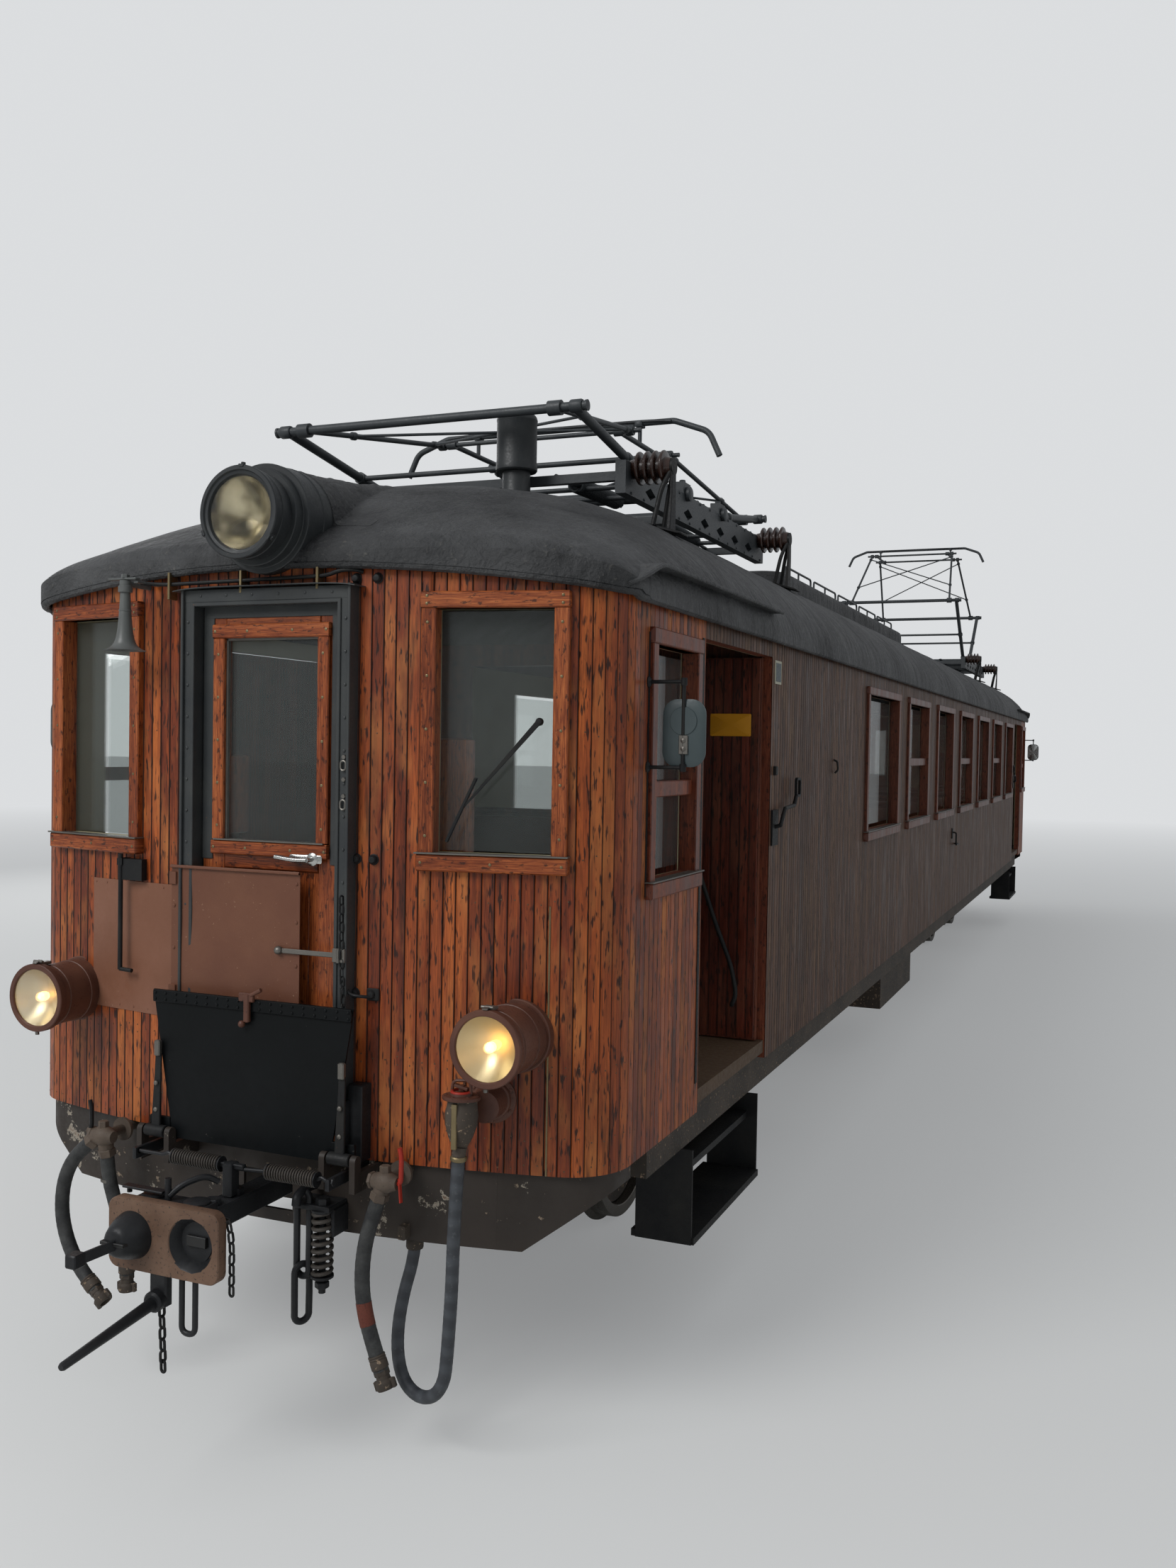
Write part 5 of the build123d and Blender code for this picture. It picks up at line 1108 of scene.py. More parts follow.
def make_lamps():
    """Roof lamp and two lower lamps: turned drums, dishes, glasses, bulbs, clips and screws."""
    at = (0, -9.2, 3.288)
    drum = spun([(196, -335), (200, -331), (200, -262), (203, -259), (203, -243), (200, -240), (200, -150),
                 (197, -147), (181, -147), (178, -144), (178, -104), (175, -101), (158, -101), (158.5, -98),
                 (158.5, -62), (161.5, -60), (161.5, -48), (158.5, -46), (158.5, -24), (165, -21), (166, -4),
                 (163, 0), (150, 0), (146, -7), (136, -9), (131, -18), (125, -118)], at)
    clips = []
    for a in np.radians((5, 125, 245)):
        out = np.array([np.sin(a), 0, np.cos(a)])
        root = np.array(at) + 0.163 * out
        clips += [bar(root + (0, 0.03, 0), root + (0, -0.003, 0), 0.02, 0.01, 0.002, out),
                  hexagon(root + (0, 0.012, 0), root + (0, 0.012, 0) + 0.013 * out, 0.008)]
    drum = both_ends(drum, *clips)
    make("roof_lamps", drum, LAMP_DARK, old="headlamps")
    roof_dish = reflector(at, 0.1295, 0.098, 0.02)
    small, fittings, dishes, glasses, bulbs = [], [], [], [lens(np.array(at) + (0, 0.009, 0), 0.133,
            0.004)], []
    for x in (-LAMP_X, LAMP_X):
        at = (x, LAMP_Y, LAMP_Z)
        small += [spun([(119, -295), (119, -192), (122.5, -190), (122.5, -177), (119.5, -175), (119.5, -82),
                        (122.5, -80), (122.5, -67), (119.5, -65), (119.5, -34), (131, -31), (133, -28),
                        (133, -3), (130, 0), (114, 0), (111, -3), (111, -88)], at),
                  spun([(130, -285), (130, -246), (126, -242), (118, -242)], at)]
        dishes.append(reflector(at, 0.1105, 0.072, 0.01))
        glasses.append(lens(at, 0.112, 0.003))
        q = np.linspace(0.02, 1, 7)[:-1]
        bulb = [(-0.07 + 0.05 * (1 - math.cos(np.pi * v)) / 2, 0.017 * math.sin(np.pi * v) + 0.004 * (1 - v))
                for v in q]
        bulbs.append(round_part(bulb, at, sides=24))
        top = np.array(at) + (0, 0.018, 0.134)
        fittings += [rod(top + (-0.022, 0, 0.006), top + (0.022, 0, 0.006), 0.006, 12),
                     block(x - 0.014, x + 0.014, at[1] + 0.02, at[1] + 0.075, at[2] + 0.125, at[2] + 0.137),
                     bar(top + (0, -0.02, 0.002), top + (0, 0.01, 0.01), 0.02, 0.005, 0.001, UP)]
        low = np.array(at) - (0, -0.014, 0.134)
        fittings.append(hexagon(low, low - (0, 0, 0.012), 0.008))
    make("lower_lamps", both_ends(*small), LAMP_BROWN, old="headlamps")
    make("lamp_clips", both_ends(*fittings), STEEL)
    make("roof_lamp_reflectors", both_ends(roof_dish), ROOF_DISH)
    make("lamp_reflectors", both_ends(*dishes), LIT_DISH)
    make("lamp_glasses", both_ends(*glasses), LENS)
    make("lamp_bulbs", both_ends(*bulbs), BULB)


def make_horn():
    """Trumpet horn, mouth down: the radius falls from 78 mm to 21 mm as two exponentials of the height."""
    up = np.concatenate([np.linspace(0.0, 0.05, 12), np.linspace(0.06, 0.145, 8)])
    flare = 0.019 + 0.028 * np.exp(-up / 0.07) + 0.031 * np.exp(-up / 0.012)
    outside = [(2.812 + h, r) for h, r in zip(up, flare)]
    neck = [(2.959, 0.0222), (2.96, 0.0235), (2.966, 0.0235), (2.967, 0.0215), (3.03, 0.0185), (3.032, 0.026),
            (3.055, 0.026), (3.058, 0.021), (3.076, 0.021)]
    inside = [(2.86, 0.012), (2.85, 0.02), (2.83, 0.038), (2.82, 0.056), (2.8125, 0.074)]
    centre = (-0.59, -9.1, 0)
    horn = round_part(inside + outside + neck, centre, UP, 48)
    strap = block(-0.665, -0.53, -9.112, -9.088, 3.078, 3.086, 0.002)
    arms = [bar((-0.54, -9.1, 3.07), (-0.54, -8.93, 3.07), 0.02, 0.008),
            rod((-0.59, -9.1, 3.066), (-0.59, -8.93, 3.066), 0.012)]
    nut = hexagon((-0.59, -9.1, 3.084), (-0.59, -9.1, 3.1), 0.016)
    make("horn_bodies", both_ends(horn, strap, nut, *arms), HORN_GREY, old="horns")


def make_door_frame():
    """Riveted iron frame round the end door, its visor, the latch bar, clips, hooks and the chain."""
    face = -9.035
    parts, bright = [], []
    for sx in (-1, 1):
        parts += [block(sx * 0.317, sx * 0.367, face, -8.975, 1.062, 3.04, 0.003),
                  block(sx * 0.362, sx * 0.374, face - 0.012, -8.96, 1.062, 3.046, 0.002),
                  block(sx * 0.3155, sx * 0.33, face - 0.006, -8.972, 1.0615, 2.9935, 0.002),
                  bolt_heads([(sx * 0.348, face, z) for z in np.arange(1.15, 2.98, 0.118)], AHEAD, 0.0065,
                             0.004, 8)]
    parts += [block(-0.3665, 0.3665, face - 0.0008, -8.9745, 2.991, 3.0405, 0.003),
              block(-0.329, 0.329, face - 0.0055, -8.99, 2.978, 2.9925, 0.002),
              bolt_heads([(x, face, 3.016) for x in np.arange(-0.29, 0.3, 0.116)], AHEAD, 0.0065, 0.004, 8)]
    x, y = np.meshgrid(np.linspace(-0.4, 0.4, 41), np.linspace(-9.062, -8.97, 5), indexing="ij")
    droop = 3.049 - 0.012 * (np.abs(x) / 0.4) ** 6 - 0.06 * np.maximum(-y - 9.04, 0)
    parts.append(slab(xyz(x, y, droop), xyz(x, y, droop - 0.0035)))
    make("end_door_frames", both_ends(*parts), GREY_FRAME, old="door_frames")
    bar_y = -9.0465
    bright += [block(0.1, 0.35, bar_y - 0.004, bar_y + 0.004, 1.706, 1.724, 0.002),
               spun([(0, -17), (8, -15), (14, -9), (16, 0), (14, 9), (8, 15), (0, 17)],
                    (0.084, bar_y, 1.715), ACROSS, 16),
               block(0.318, 0.372, bar_y - 0.006, face, 1.69, 1.74, 0.002),
               rod((0.345, bar_y - 0.008, 1.69), (0.345, bar_y - 0.008, 1.742), 0.006, 12)]
    for z in (2.395, 2.255):
        bright += [loop((0.35, face - 0.008, z), 0.017, 0.011, 0.004, UP, ACROSS, 8),
                   hexagon((0.35, face, z + 0.03), (0.35, face - 0.008, z + 0.03), 0.009)]
    bright.append(hexagon((0.35, face, 2.345), (0.35, face - 0.008, 2.345), 0.009))
    make("frame_latches", both_ends(*bright), STEEL, old="door_frames")
    links = chain(bend([(0.352, face - 0.012, 1.93), (0.356, face - 0.014, 1.7), (0.366, face - 0.012, 1.5)],
                       0.1), 0.04, 0.0035)
    hook = tube(bend([(0.452, -8.985, 1.565), (0.43, -9.02, 1.57), (0.38, -9.03, 1.575),
                      (0.366, -9.03, 1.6)], 0.02), 0.006, 8)
    foot = on_end(plate(rounded(0.05, 0.045, 0.008), (0, -0.006, 1.575), AHEAD, 0.008), 0.45, PROUD)
    hanger = chain([(0.366, face - 0.014, 1.6), (0.362, face - 0.016, 1.42)], 0.04, 0.0035)
    make("door_chains", both_ends(links, hook, foot, hanger), BLACK_IRON)
    pipe = tube(bend([(-0.55, -9.062, 3.07), (-0.48, -9.02, 3.066), (0.0, -9.028, 3.071),
                      (0.26, -9.022, 3.076), (0.31, -9.02, 3.094), (0.37, -9.01, 3.096),
                      (0.39, -8.99, 3.088)], 0.05), 0.0075, 10)
    make("conduit_pipe", both_ends(pipe), BLACK_IRON)
    clips = [block(x - 0.005, x + 0.005, -9.037, -8.99, z - 0.052, z + 0.05, 0.001)
             for x, z in ((-0.44, 3.06), (-0.11, 3.075), (0.225, 3.08))]
    make("conduit_clips", both_ends(*clips), BRASS)


def make_end_door():
    """Door leaf: framed timber with boards below, the window's screwed trim, sill strip and lever handle."""
    face, back = -8.985, -8.945
    flat, upright, grey = [], [], [block(-0.3095, 0.3095, face - 0.005, face + 0.002, 2.936, 2.984, 0.002)]
    for sx in (-1, 1):
        upright.append(block(sx * 0.2095, sx * 0.31, face + 0.0005, back, 1.068, 2.985, 0.004))
        grey.append(block(sx * 0.262, sx * 0.3098, face - 0.0045, face + 0.002, 2.03, 2.94, 0.002))
        upright.append(block(sx * 0.207, sx * 0.257, face - 0.018, face + 0.002, 2.105, 2.862, 0.004))
    for z0, z1 in ((2.86, 2.985), (2.0, 2.105), (1.068, 1.22)):
        flat.append(block(-0.21, 0.21, face, back, z0, z1, 0.004))
    flat += [block(-0.261, 0.261, face - 0.021, face + 0.002, 2.86, 2.912, 0.004),
             block(-0.261, 0.261, face - 0.021, face + 0.002, 2.052, 2.104, 0.004)]
    panel = block(-0.211, 0.211, face + 0.012, back - 0.004, 1.215, 2.003, 0.002)
    slats = [block(x - 0.0205, x + 0.0205, face + 0.007, face + 0.013, 1.222, 1.998, 0.002)
             for x in np.arange(-0.189, 0.2, 0.042)]
    flashing = block(-0.245, 0.245, face - 0.026, face + 0.016, 2.104, 2.11, 0.001)
    stops = [block(a, b, face - 0.002, face + 0.014, z0, z1, 0.001) for a, b, z0, z1 in (
        (-0.209, -0.199, 2.11, 2.86), (0.199, 0.209, 2.11, 2.86), (-0.205, 0.205, 2.852, 2.861))]
    places = [(sx * 0.232, face - 0.018, z) for sx in (-1, 1) for z in (2.16, 2.32, 2.48, 2.64, 2.8)]
    places += [(sx * x, face - 0.021, z) for sx in (-1, 1) for x in (0.246, 0.1) for z in (2.886, 2.078)]
    screws = bolt_heads(places, AHEAD, 0.0062, 0.002, 8)
    y = face - 0.021
    handle = [spun([(24, 0), (24, 4), (20, 7), (0, 8)], (0.2, y, 2.05), AHEAD, 24),
              rod((0.2, y, 2.05), (0.2, y - 0.042, 2.05), 0.0085, 16),
              tube(bend([(0.2, y - 0.038, 2.05), (0.14, y - 0.04, 2.048), (0.06, y - 0.034, 2.056)], 0.03),
                   0.0085, 12), plate(rounded(0.14, 0.03, 0.008), (0.17, y - 0.001, 2.05), AHEAD, 0.004)]
    for end, turn in TURNS:
        body = "end_door_" + end
        make("end_door_stiles_" + end, turn(join(*upright)), JOINERY, body, old=body)
        make("end_door_rails_" + end, turn(join(*flat)), JOINERY_FLAT, body, old=body)
        make("end_door_panel_" + end, turn(join(panel, *slats)), JOINERY, body, old=body)
        make("end_door_edging_" + end, turn(join(*grey)), GREY_FRAME, body, old=body)
        make("end_door_sill_" + end, turn(join(flashing, *stops)), STEEL, body, old=body)
        make("end_door_screws_" + end, turn(screws), BRASS, body, old=body)
        make("end_door_handle_" + end, turn(join(*handle)), CHROME, body, old=body)


def make_plates():
    """Steel wind plate before the door's foot and the bent sheet beside it, both slightly dented."""
    x, z = np.meshgrid(np.linspace(-0.41, 0.17, 46), np.linspace(1.47, 1.998, 42), indexing="ij")
    dent = 0.0016 * (np.sin(9 * x + 4 * np.sin(5 * z)) + np.sin(13 * z + 3 * x))
    dent *= np.minimum(1, 12 * np.minimum(np.minimum(x + 0.41, 0.17 - x), np.minimum(z - 1.47, 1.998 - z)))
    y = -9.0395 - dent
    front = slab(xyz(x, y, z), xyz(x, y + 0.0035, z))
    fold = carry(oblong(0.013, 0.006, 0.002), [(-0.41, -9.0445, 1.997), (0.17, -9.0445, 1.997)], ref=UP)
    hem = tube([(-0.41, -9.044, 2.0), (0.17, -9.044, 2.0)], 0.0055, 10)
    ears = [block(-0.418, -0.385, -9.047, -9.036, z0, z0 + 0.05, 0.002) for z0 in (1.93, 1.5)]
    rivets = bolt_heads([(-0.398, -9.0405, z) for z in (1.53, 1.69, 1.85)]
                        + [(0.155, -9.0405, z) for z in (1.5, 1.66, 1.82, 1.96)]
                        + [(x, -9.0405, 1.482) for x in (-0.3, -0.15, 0.0, 0.12)], AHEAD, 0.007, 0.003, 10)
    s0, s1 = end_s(-0.9), end_s(-0.378)
    s, z = np.meshgrid(np.linspace(s0, s1, 40), np.linspace(1.408, 1.92, 30), indexing="ij")
    wave = 0.0012 * np.sin(15 * s + 6 * z) * np.minimum(1, 20 * np.minimum(s - s0, s1 - s))
    (xa, ya), (xb, yb) = end_line(s, PROUD + 0.004 + wave), end_line(s, PROUD + 0.0005 + 0 * wave)
    beside = slab(xyz(xa, ya, z), xyz(xb, yb, z))
    nails = [on_end(bolt_heads([(0, 0, h)], AHEAD, 0.0045, 0.0016, 6), x, PROUD + 0.004)
             for x in (-0.885, -0.82, -0.74, -0.66, -0.58, -0.5, -0.42) for h in (1.905, 1.425)
             if not (h < 1.6 and x < -0.84)]
    make("wind_plates", both_ends(front, fold, hem, rivets, *ears), BROWN_SHEET,
         old="cover_plates")
    make("side_cover_plates", both_ends(beside, *nails), RED_SHEET, old="cover_plates")


def make_fall_plate():
    """Fall plate folded up before the door: a sheet with a shallow bulge, riveted top strip, hinge straps
    whose steel tips are worn bright, and a brown latch with a ball."""
    t, u = np.meshgrid(np.linspace(0, 1, 40), np.linspace(-1, 1, 60), indexing="ij")
    half = 0.352 + (0.441 - 0.352) * t
    bottom_round = 0.03 * np.maximum(np.abs(u) - 0.93, 0) / 0.07 * (1 - t)
    x, z = half * u, 0.985 + 0.553 * t + bottom_round
    bulge = 0.005 * (1 - u ** 2) * (1 - (2 * t - 1) ** 2) + 0.0012 * np.sin(14 * x + 5 * z) * (1 - np.abs(u))
    y = -9.098 - bulge
    sheet = slab(xyz(x, y, z), xyz(x, y + 0.007, z))
    notch = [block(sx * 0.405 - 0.048, sx * 0.405 + 0.048, -9.102, -9.088, 1.0, 1.06, 0.002)
             for sx in (-1, 1)]
    strip = block(-0.438, 0.438, -9.108, -9.098, 1.492, 1.538, 0.003)
    rows = [(x, -9.108, z) for x in np.linspace(-0.425, 0.425, 19) for z in (1.504, 1.527)]
    rivets = bolt_heads(rows, AHEAD, 0.0062, 0.004, 8)
    hinges, tips, latch = [], [], []
    for sx in (-1, 1):
        c = sx * 0.405
        hinges.append(spun([(20, -45), (23, -42), (23, 42), (20, 45)], (c, -9.12, 1.01), ACROSS, 24))
        path = np.array([(c, -9.12, 1.02), (c, -9.118, 1.1), (c, -9.113, 1.2), (c, -9.109, 1.3)])
        hinges.append(carry(oblong(0.04, 0.014, 0.003), path, ref=(0, 1, 0), scale=[1, 0.9, 0.75, 0.65]))
        tips += [block(c - 0.013, c + 0.013, -9.124, -9.104, 1.29, 1.35, 0.004),
                 bolt_heads([(c, -9.1245, z) for z in (1.09, 1.19)], AHEAD, 0.01, 0.006, 8)]
    latch += [block(-0.036, 0.03, -9.122, -9.108, 1.53, 1.562, 0.003),
              block(-0.012, 0.012, -9.126, -9.108, 1.455, 1.56, 0.004),
              rod((0.018, -9.118, 1.556), (0.06, -9.116, 1.578), 0.008, 12)]
    ball = spun([(0, -13), (8, -11), (13, -4), (13, 4), (8, 11), (0, 13)], (-0.02, -9.12, 1.448), UP, 16)
    for end, turn in TURNS:
        body = "fall_plate_" + end
        make("fall_plate_sheet_" + end, turn(join(sheet, strip, rivets, *notch)), FALL_BLACK, body,
             old=body)
        make("fall_plate_hinges_" + end, turn(join(*hinges)), BLACK_IRON, body, old=body)
        make("fall_plate_tips_" + end, turn(join(*tips)), STEEL, body, old=body)
        make("fall_plate_latch_" + end, turn(join(ball, *latch)), LAMP_BROWN, body,
             old=body)


def holed_head():
    """Coupler head: a plate with rounded corners round a funnel; each point of the outline is joined to the
    point of the funnel's mouth that lies in the same direction."""
    outline = rounded(0.46, 0.24, 0.04, 8)
    after = np.roll(outline, -1, 0)
    outline = np.concatenate([outline + (after - outline) * t for t in np.arange(6) / 6])
    outline = outline.reshape(6, -1, 2).swapaxes(0, 1).reshape(-1, 2)
    hole = np.array([0.115, 0.0])
    angle = np.arctan2(outline[:, 1], outline[:, 0] - hole[0])
    mouth = np.stack([np.cos(angle), np.sin(angle)], -1)
    rings = [(0 * outline + hole, 0.045), (outline * 0.985, 0.045), (outline, 0.041), (outline, 0.004),
             (outline * 0.985, 0.0), (hole + 0.0915 * mouth, 0.0), (hole + 0.088 * mouth, 0.003),
             (hole + 0.072 * mouth, 0.034), (hole + 0.052 * mouth, 0.07), (hole + 0.05 * mouth, 0.082),
             (0 * outline + hole, 0.082)]
    points = np.stack([xyz(ring[:, 0], COUPLER_Y + back, COUPLER_Z + ring[:, 1]) for ring, back in rings])
    return points.reshape(-1, 3), grid_quads(len(rings), len(outline), False, True)


def make_coupler():
    """Coupler with its cone and funnel, bell, shank, centring rod, lever, link and chains."""
    head = make("coupler_heads", both_ends(holed_head()), RUST_HEAD, old="couplers")
    # The faces inside the funnel take the cone's dark iron: the funnel is darker inside than the plate.
    head.data.materials.append(COUPLER_IRON)
    middles = np.empty(len(head.data.polygons) * 3)
    head.data.polygons.foreach_get("center", middles)
    x, y, z = middles.reshape(-1, 3).T
    in_funnel = (np.hypot(np.abs(x) - 0.115, z - COUPLER_Z) < 0.0885) & (np.abs(y) < 9.5595) & (x * y < 0)
    head.data.polygons.foreach_set("material_index", in_funnel.astype(np.int32))
    cone = spun([(82, 0), (80, 8), (74, 30), (64, 55), (53, 76), (46, 86), (36, 92), (0, 93)],
                (-0.125, -9.558, COUPLER_Z), AHEAD, 48)
    # Black blocks in the cone's slot and deep in the funnel: painted shade standing for the dark openings
    slot = block(-0.125 - 0.05, -0.125 + 0.05, -9.66, -9.6, 0.799, 0.811, 0.002)
    blade = bar((-0.115, -9.63, 0.803), (-0.165, -9.79, 0.786), 0.012, 0.036, 0.002)
    blade_lug = block(-0.19, -0.145, -9.8, -9.75, 0.765, 0.81, 0.004)
    inner_slot = block(0.075, 0.155, -9.53, -9.47, 0.79, 0.826, 0.002)
    bell = spun([(52, -217), (60, -200), (100, -150), (150, -90), (168, -45), (165, -42)],
                (0, COUPLER_Y, COUPLER_Z))
    bell = ((bell[0] - (0, 0, COUPLER_Z)) * (1.05, 1, 0.66) + (0, 0, COUPLER_Z), bell[1])
    shank = block(-0.045, 0.045, -9.46, -8.4, 0.765, 0.845, 0.006)
    pins = [hexagon((x, y, 0.842), (x, y, 0.868), 0.03) for x, y in ((0.0, -9.3), (0.0, -9.17))]
    caps = [spun([(45, 0), (45, 8), (38, 12), (0, 13)], (x, -9.47, 0.912), UP, 24) for x in (-0.11, 0.07)]
    cheeks = block(-0.17, 0.13, -9.515, -9.43, 0.86, 0.914, 0.006)
    lug = block(-0.06, 0.01, -9.552, -9.515, 0.572, 0.69, 0.006)
    guide = tube([(-0.025, -9.51, 0.602), (-0.0245, -9.53, 0.6), (-0.012, -9.84, 0.577),
                  (-0.0052, -9.994, 0.5655), (-0.005, -10.002, 0.565)], 0.022, 20,
                 scale=[0.8, 1, 0.75, 0.62, 0.45], ref=(1, 0, 0.02))
    collar = spun([(34, 0), (36, 6), (36, 36), (30, 44), (0, 45)], (-0.025, -9.54, 0.601),
                  (0.02, -0.474, -0.035), 20)
    link = tube(bend([(0.06, -9.53, 0.69), (0.06, -9.53, 0.495), (0.115, -9.53, 0.495),
                      (0.115, -9.53, 0.69)], 0.027, 8), 0.01, 12)
    lever = [bar((-0.21, -9.5, 0.945), (-0.05, -9.49, 0.94), 0.034, 0.008, 0.002),
             rod((-0.2, -9.49, 0.92), (-0.2, -9.49, 0.943), 0.009),
             tube(bend([(-0.03, -9.49, 0.93), (0.0, -9.46, 0.965), (0.05, -9.4, 0.985),
                        (0.07, -9.36, 0.955)], 0.03), 0.011, 10),
             rod((-0.035, -9.49, 0.905), (-0.035, -9.49, 0.99), 0.011)]
    make("coupler_bodies", both_ends(cone, blade, blade_lug, bell, shank, cheeks, lug, guide, collar, link,
            *pins, *caps, *lever), COUPLER_IRON, old="couplers")
    # The slots as flat black blocks: painted shade
    make("coupler_slot_shade", both_ends(slot, inner_slot), SLOT_SHADE, old="couplers")
    hung = chain(bend([(0.2, -9.5, 0.89), (0.232, -9.512, 0.9), (0.25, -9.515, 0.82), (0.246, -9.51, 0.63)],
                      0.03), 0.045, 0.0042)
    below = chain([(-0.02, -9.535, 0.575), (-0.016, -9.53, 0.35)], 0.05, 0.005)
    make("coupler_chains", both_ends(hung, below), BLACK_IRON)


def make_draw_gear():
    """Centring springs and hooks across the end, and the side hook with its links and coil spring."""
    y, z = -9.2, 0.955
    springs, irons = [], []
    for sx, inner, outer in ((-1, 0.05, 0.26), (1, 0.16, 0.365)):
        springs.append(helix((sx * inner, y, z), (sx * outer, y, z), 0.025, 0.0036, 19))
        hook = [(sx * outer, y, z), (sx * (outer + 0.02), y, z + 0.012), (sx * (outer + 0.04), y, z),
                (sx * 0.43, y, z)]
        irons += [tube(bend(hook, 0.012), 0.007, 10), rod((0, y, z - 0.01), (sx * inner, y, z), 0.007, 10)]
        irons += [spun([(26, 0), (28, 3), (28, 7), (0, 8)], (sx * u, y, z), ACROSS, 20)
                  for u in (inner - 0.004, outer - 0.004)]
        irons += [block(sx * 0.42 - 0.008, sx * 0.42 + 0.008, y - 0.022, -8.9, z - 0.028, z + 0.013, 0.002),
                  hexagon((sx * 0.412, y, z), (sx * 0.436, y, z), 0.014)]
    irons += [block(-0.02, 0.02, y - 0.025, y + 0.025, 0.846, z + 0.012, 0.004),
              block(-0.06, 0.06, y - 0.012, y + 0.012, z - 0.008, z + 0.01, 0.003)]
    link_y = -9.068
    irons += [block(0.185, 0.34, link_y - 0.02, -8.9, 0.795, 0.815, 0.004),
              tube(bend([(0.22, -8.9, 0.85), (0.22, link_y + 0.01, 0.862), (0.22, link_y - 0.04, 0.85),
                         (0.22, link_y - 0.045, 0.815)], 0.03), 0.017, 12)]
    upper = loop((0.22, link_y, 0.7), 0.155, 0.027, 0.0125, UP, ACROSS)
    lower = loop((0.22, link_y - 0.004, 0.485), 0.105, 0.03, 0.0125, UP, (0.5, 1, 0))
    p = (0.295, link_y + 0.012)
    coil = helix((*p, 0.56), (*p, 0.79), 0.034, 0.0075, 8.5)
    seats = [spun([(36, 0), (42, 4), (42, 12), (0, 14)], (*p, h), UP, 24) for h in (0.546, 0.786)]
    stem = [rod((*p, 0.492), (*p, 0.8), 0.013), hexagon((*p, 0.51), (*p, 0.535), 0.026),
            hexagon((*p, 0.812), (*p, 0.838), 0.026)]
    plates = join(block(0.33, 0.345, -9.06, -8.9, 0.7, 0.8, 0.003),
                  block(0.386, 0.446, -9.045, -8.975, 0.98, 1.255, 0.003),
                  block(0.386, 0.394, -9.075, -9.04, 0.98, 1.2, 0.002))
    make("draw_springs", both_ends(coil, *springs), RUST_DARK, old="drawgear_irons")
    make("draw_irons", both_ends(upper, lower, plates, *seats, *stem, *irons), COUPLER_IRON,
         old="drawgear_irons")


def make_sockets():
    """Jumper socket: a ringed wall flange, a bulb-shaped body, its round lid with a red seal and a clamp, the
    gland at the foot with a brass collar, and the dummy socket below the apron."""
    wall = on_end(spun([(86, -10), (86, 6), (82, 10), (70, 12), (68, 24), (62, 28), (58, 55), (55, 120)],
                       (0, 0, 1.235)), 0.9, PROUD)
    studs = on_end(bolt_heads([(0.075 * math.sin(a), -0.008, 1.235 + 0.075 * math.cos(a))
            for a in np.arange(6) * SIXTH], AHEAD, 0.009, 0.007), 0.9, PROUD)
    body = spun([(22, -140), (26, -120), (42, -90), (54, -50), (57, -15), (52, 20), (50, 34), (56, 36),
                 (56, 40)], (0.876, -9.098, 1.235), (0.02, 0.05, 1), 32)
    lid = spun([(64, 0), (66, 3), (66, 11), (62, 14), (40, 14.5), (38, 24), (0, 25)], (0.874, -9.1, 1.274),
               (0.0, 0.06, 1), 40)
    lid_studs = bolt_heads([(0.874 + 0.052 * math.cos(a), -9.1 + 0.052 * math.sin(a),
            1.2875 - 0.003 * math.sin(a)) for a in np.arange(6) * SIXTH + 0.4], (0, 0.06, 1), 0.006, 0.004)
    seal = tube(np.array([(0.874 + 0.032 * math.cos(a), -9.1 + 0.032 * math.sin(a), 1.299)
                          for a in np.arange(24) * np.pi / 12]), 0.006, 8, closed=True, ref=UP)
    clamp = [tube(bend([(0.838, -9.1, 1.295), (0.842, -9.1, 1.335), (0.906, -9.095, 1.34),
                        (0.91, -9.1, 1.295)], 0.02), 0.006, 8),
             bar((0.85, -9.1, 1.32), (0.9, -9.1, 1.31), 0.02, 0.01),
             hexagon((0.874, -9.097, 1.3), (0.874, -9.097, 1.322), 0.011)]
    strip = block(0.866, 0.886, -9.158, -9.148, 1.115, 1.27, 0.002)
    collar = spun([(27, 0), (29, 3), (29, 12), (26, 16), (0, 17)], (0.877, -9.12, 1.07), (0.05, 0, 1), 28)
    neck = spun([(24, 0), (24, 30), (0, 35)], (0.877, -9.119, 1.082), (0.03, 0.2, 1), 24)
    gland = [spun([(30, -5), (32, 0), (32, 30), (28, 34), (30, 90), (34, 94), (34, 112), (0, 116)],
                  (0.575, -8.88, 0.645), (0.01, 0.03, 1), 24),
             block(0.56, 0.59, -8.98, -8.875, 0.7, 0.75, 0.003)]
    make("jumper_strips", both_ends(strip, collar), BRASS, old="jumper_sockets")
    make("jumper_seals", both_ends(seal), RED, old="jumper_sockets")
    make("jumper_bodies", both_ends(body, neck, *gland), DUSTY_IRON, old="jumper_sockets")
    make("jumper_flanges", both_ends(wall, studs, lid, lid_studs, *clamp), LAMP_BROWN,
         old="jumper_sockets")


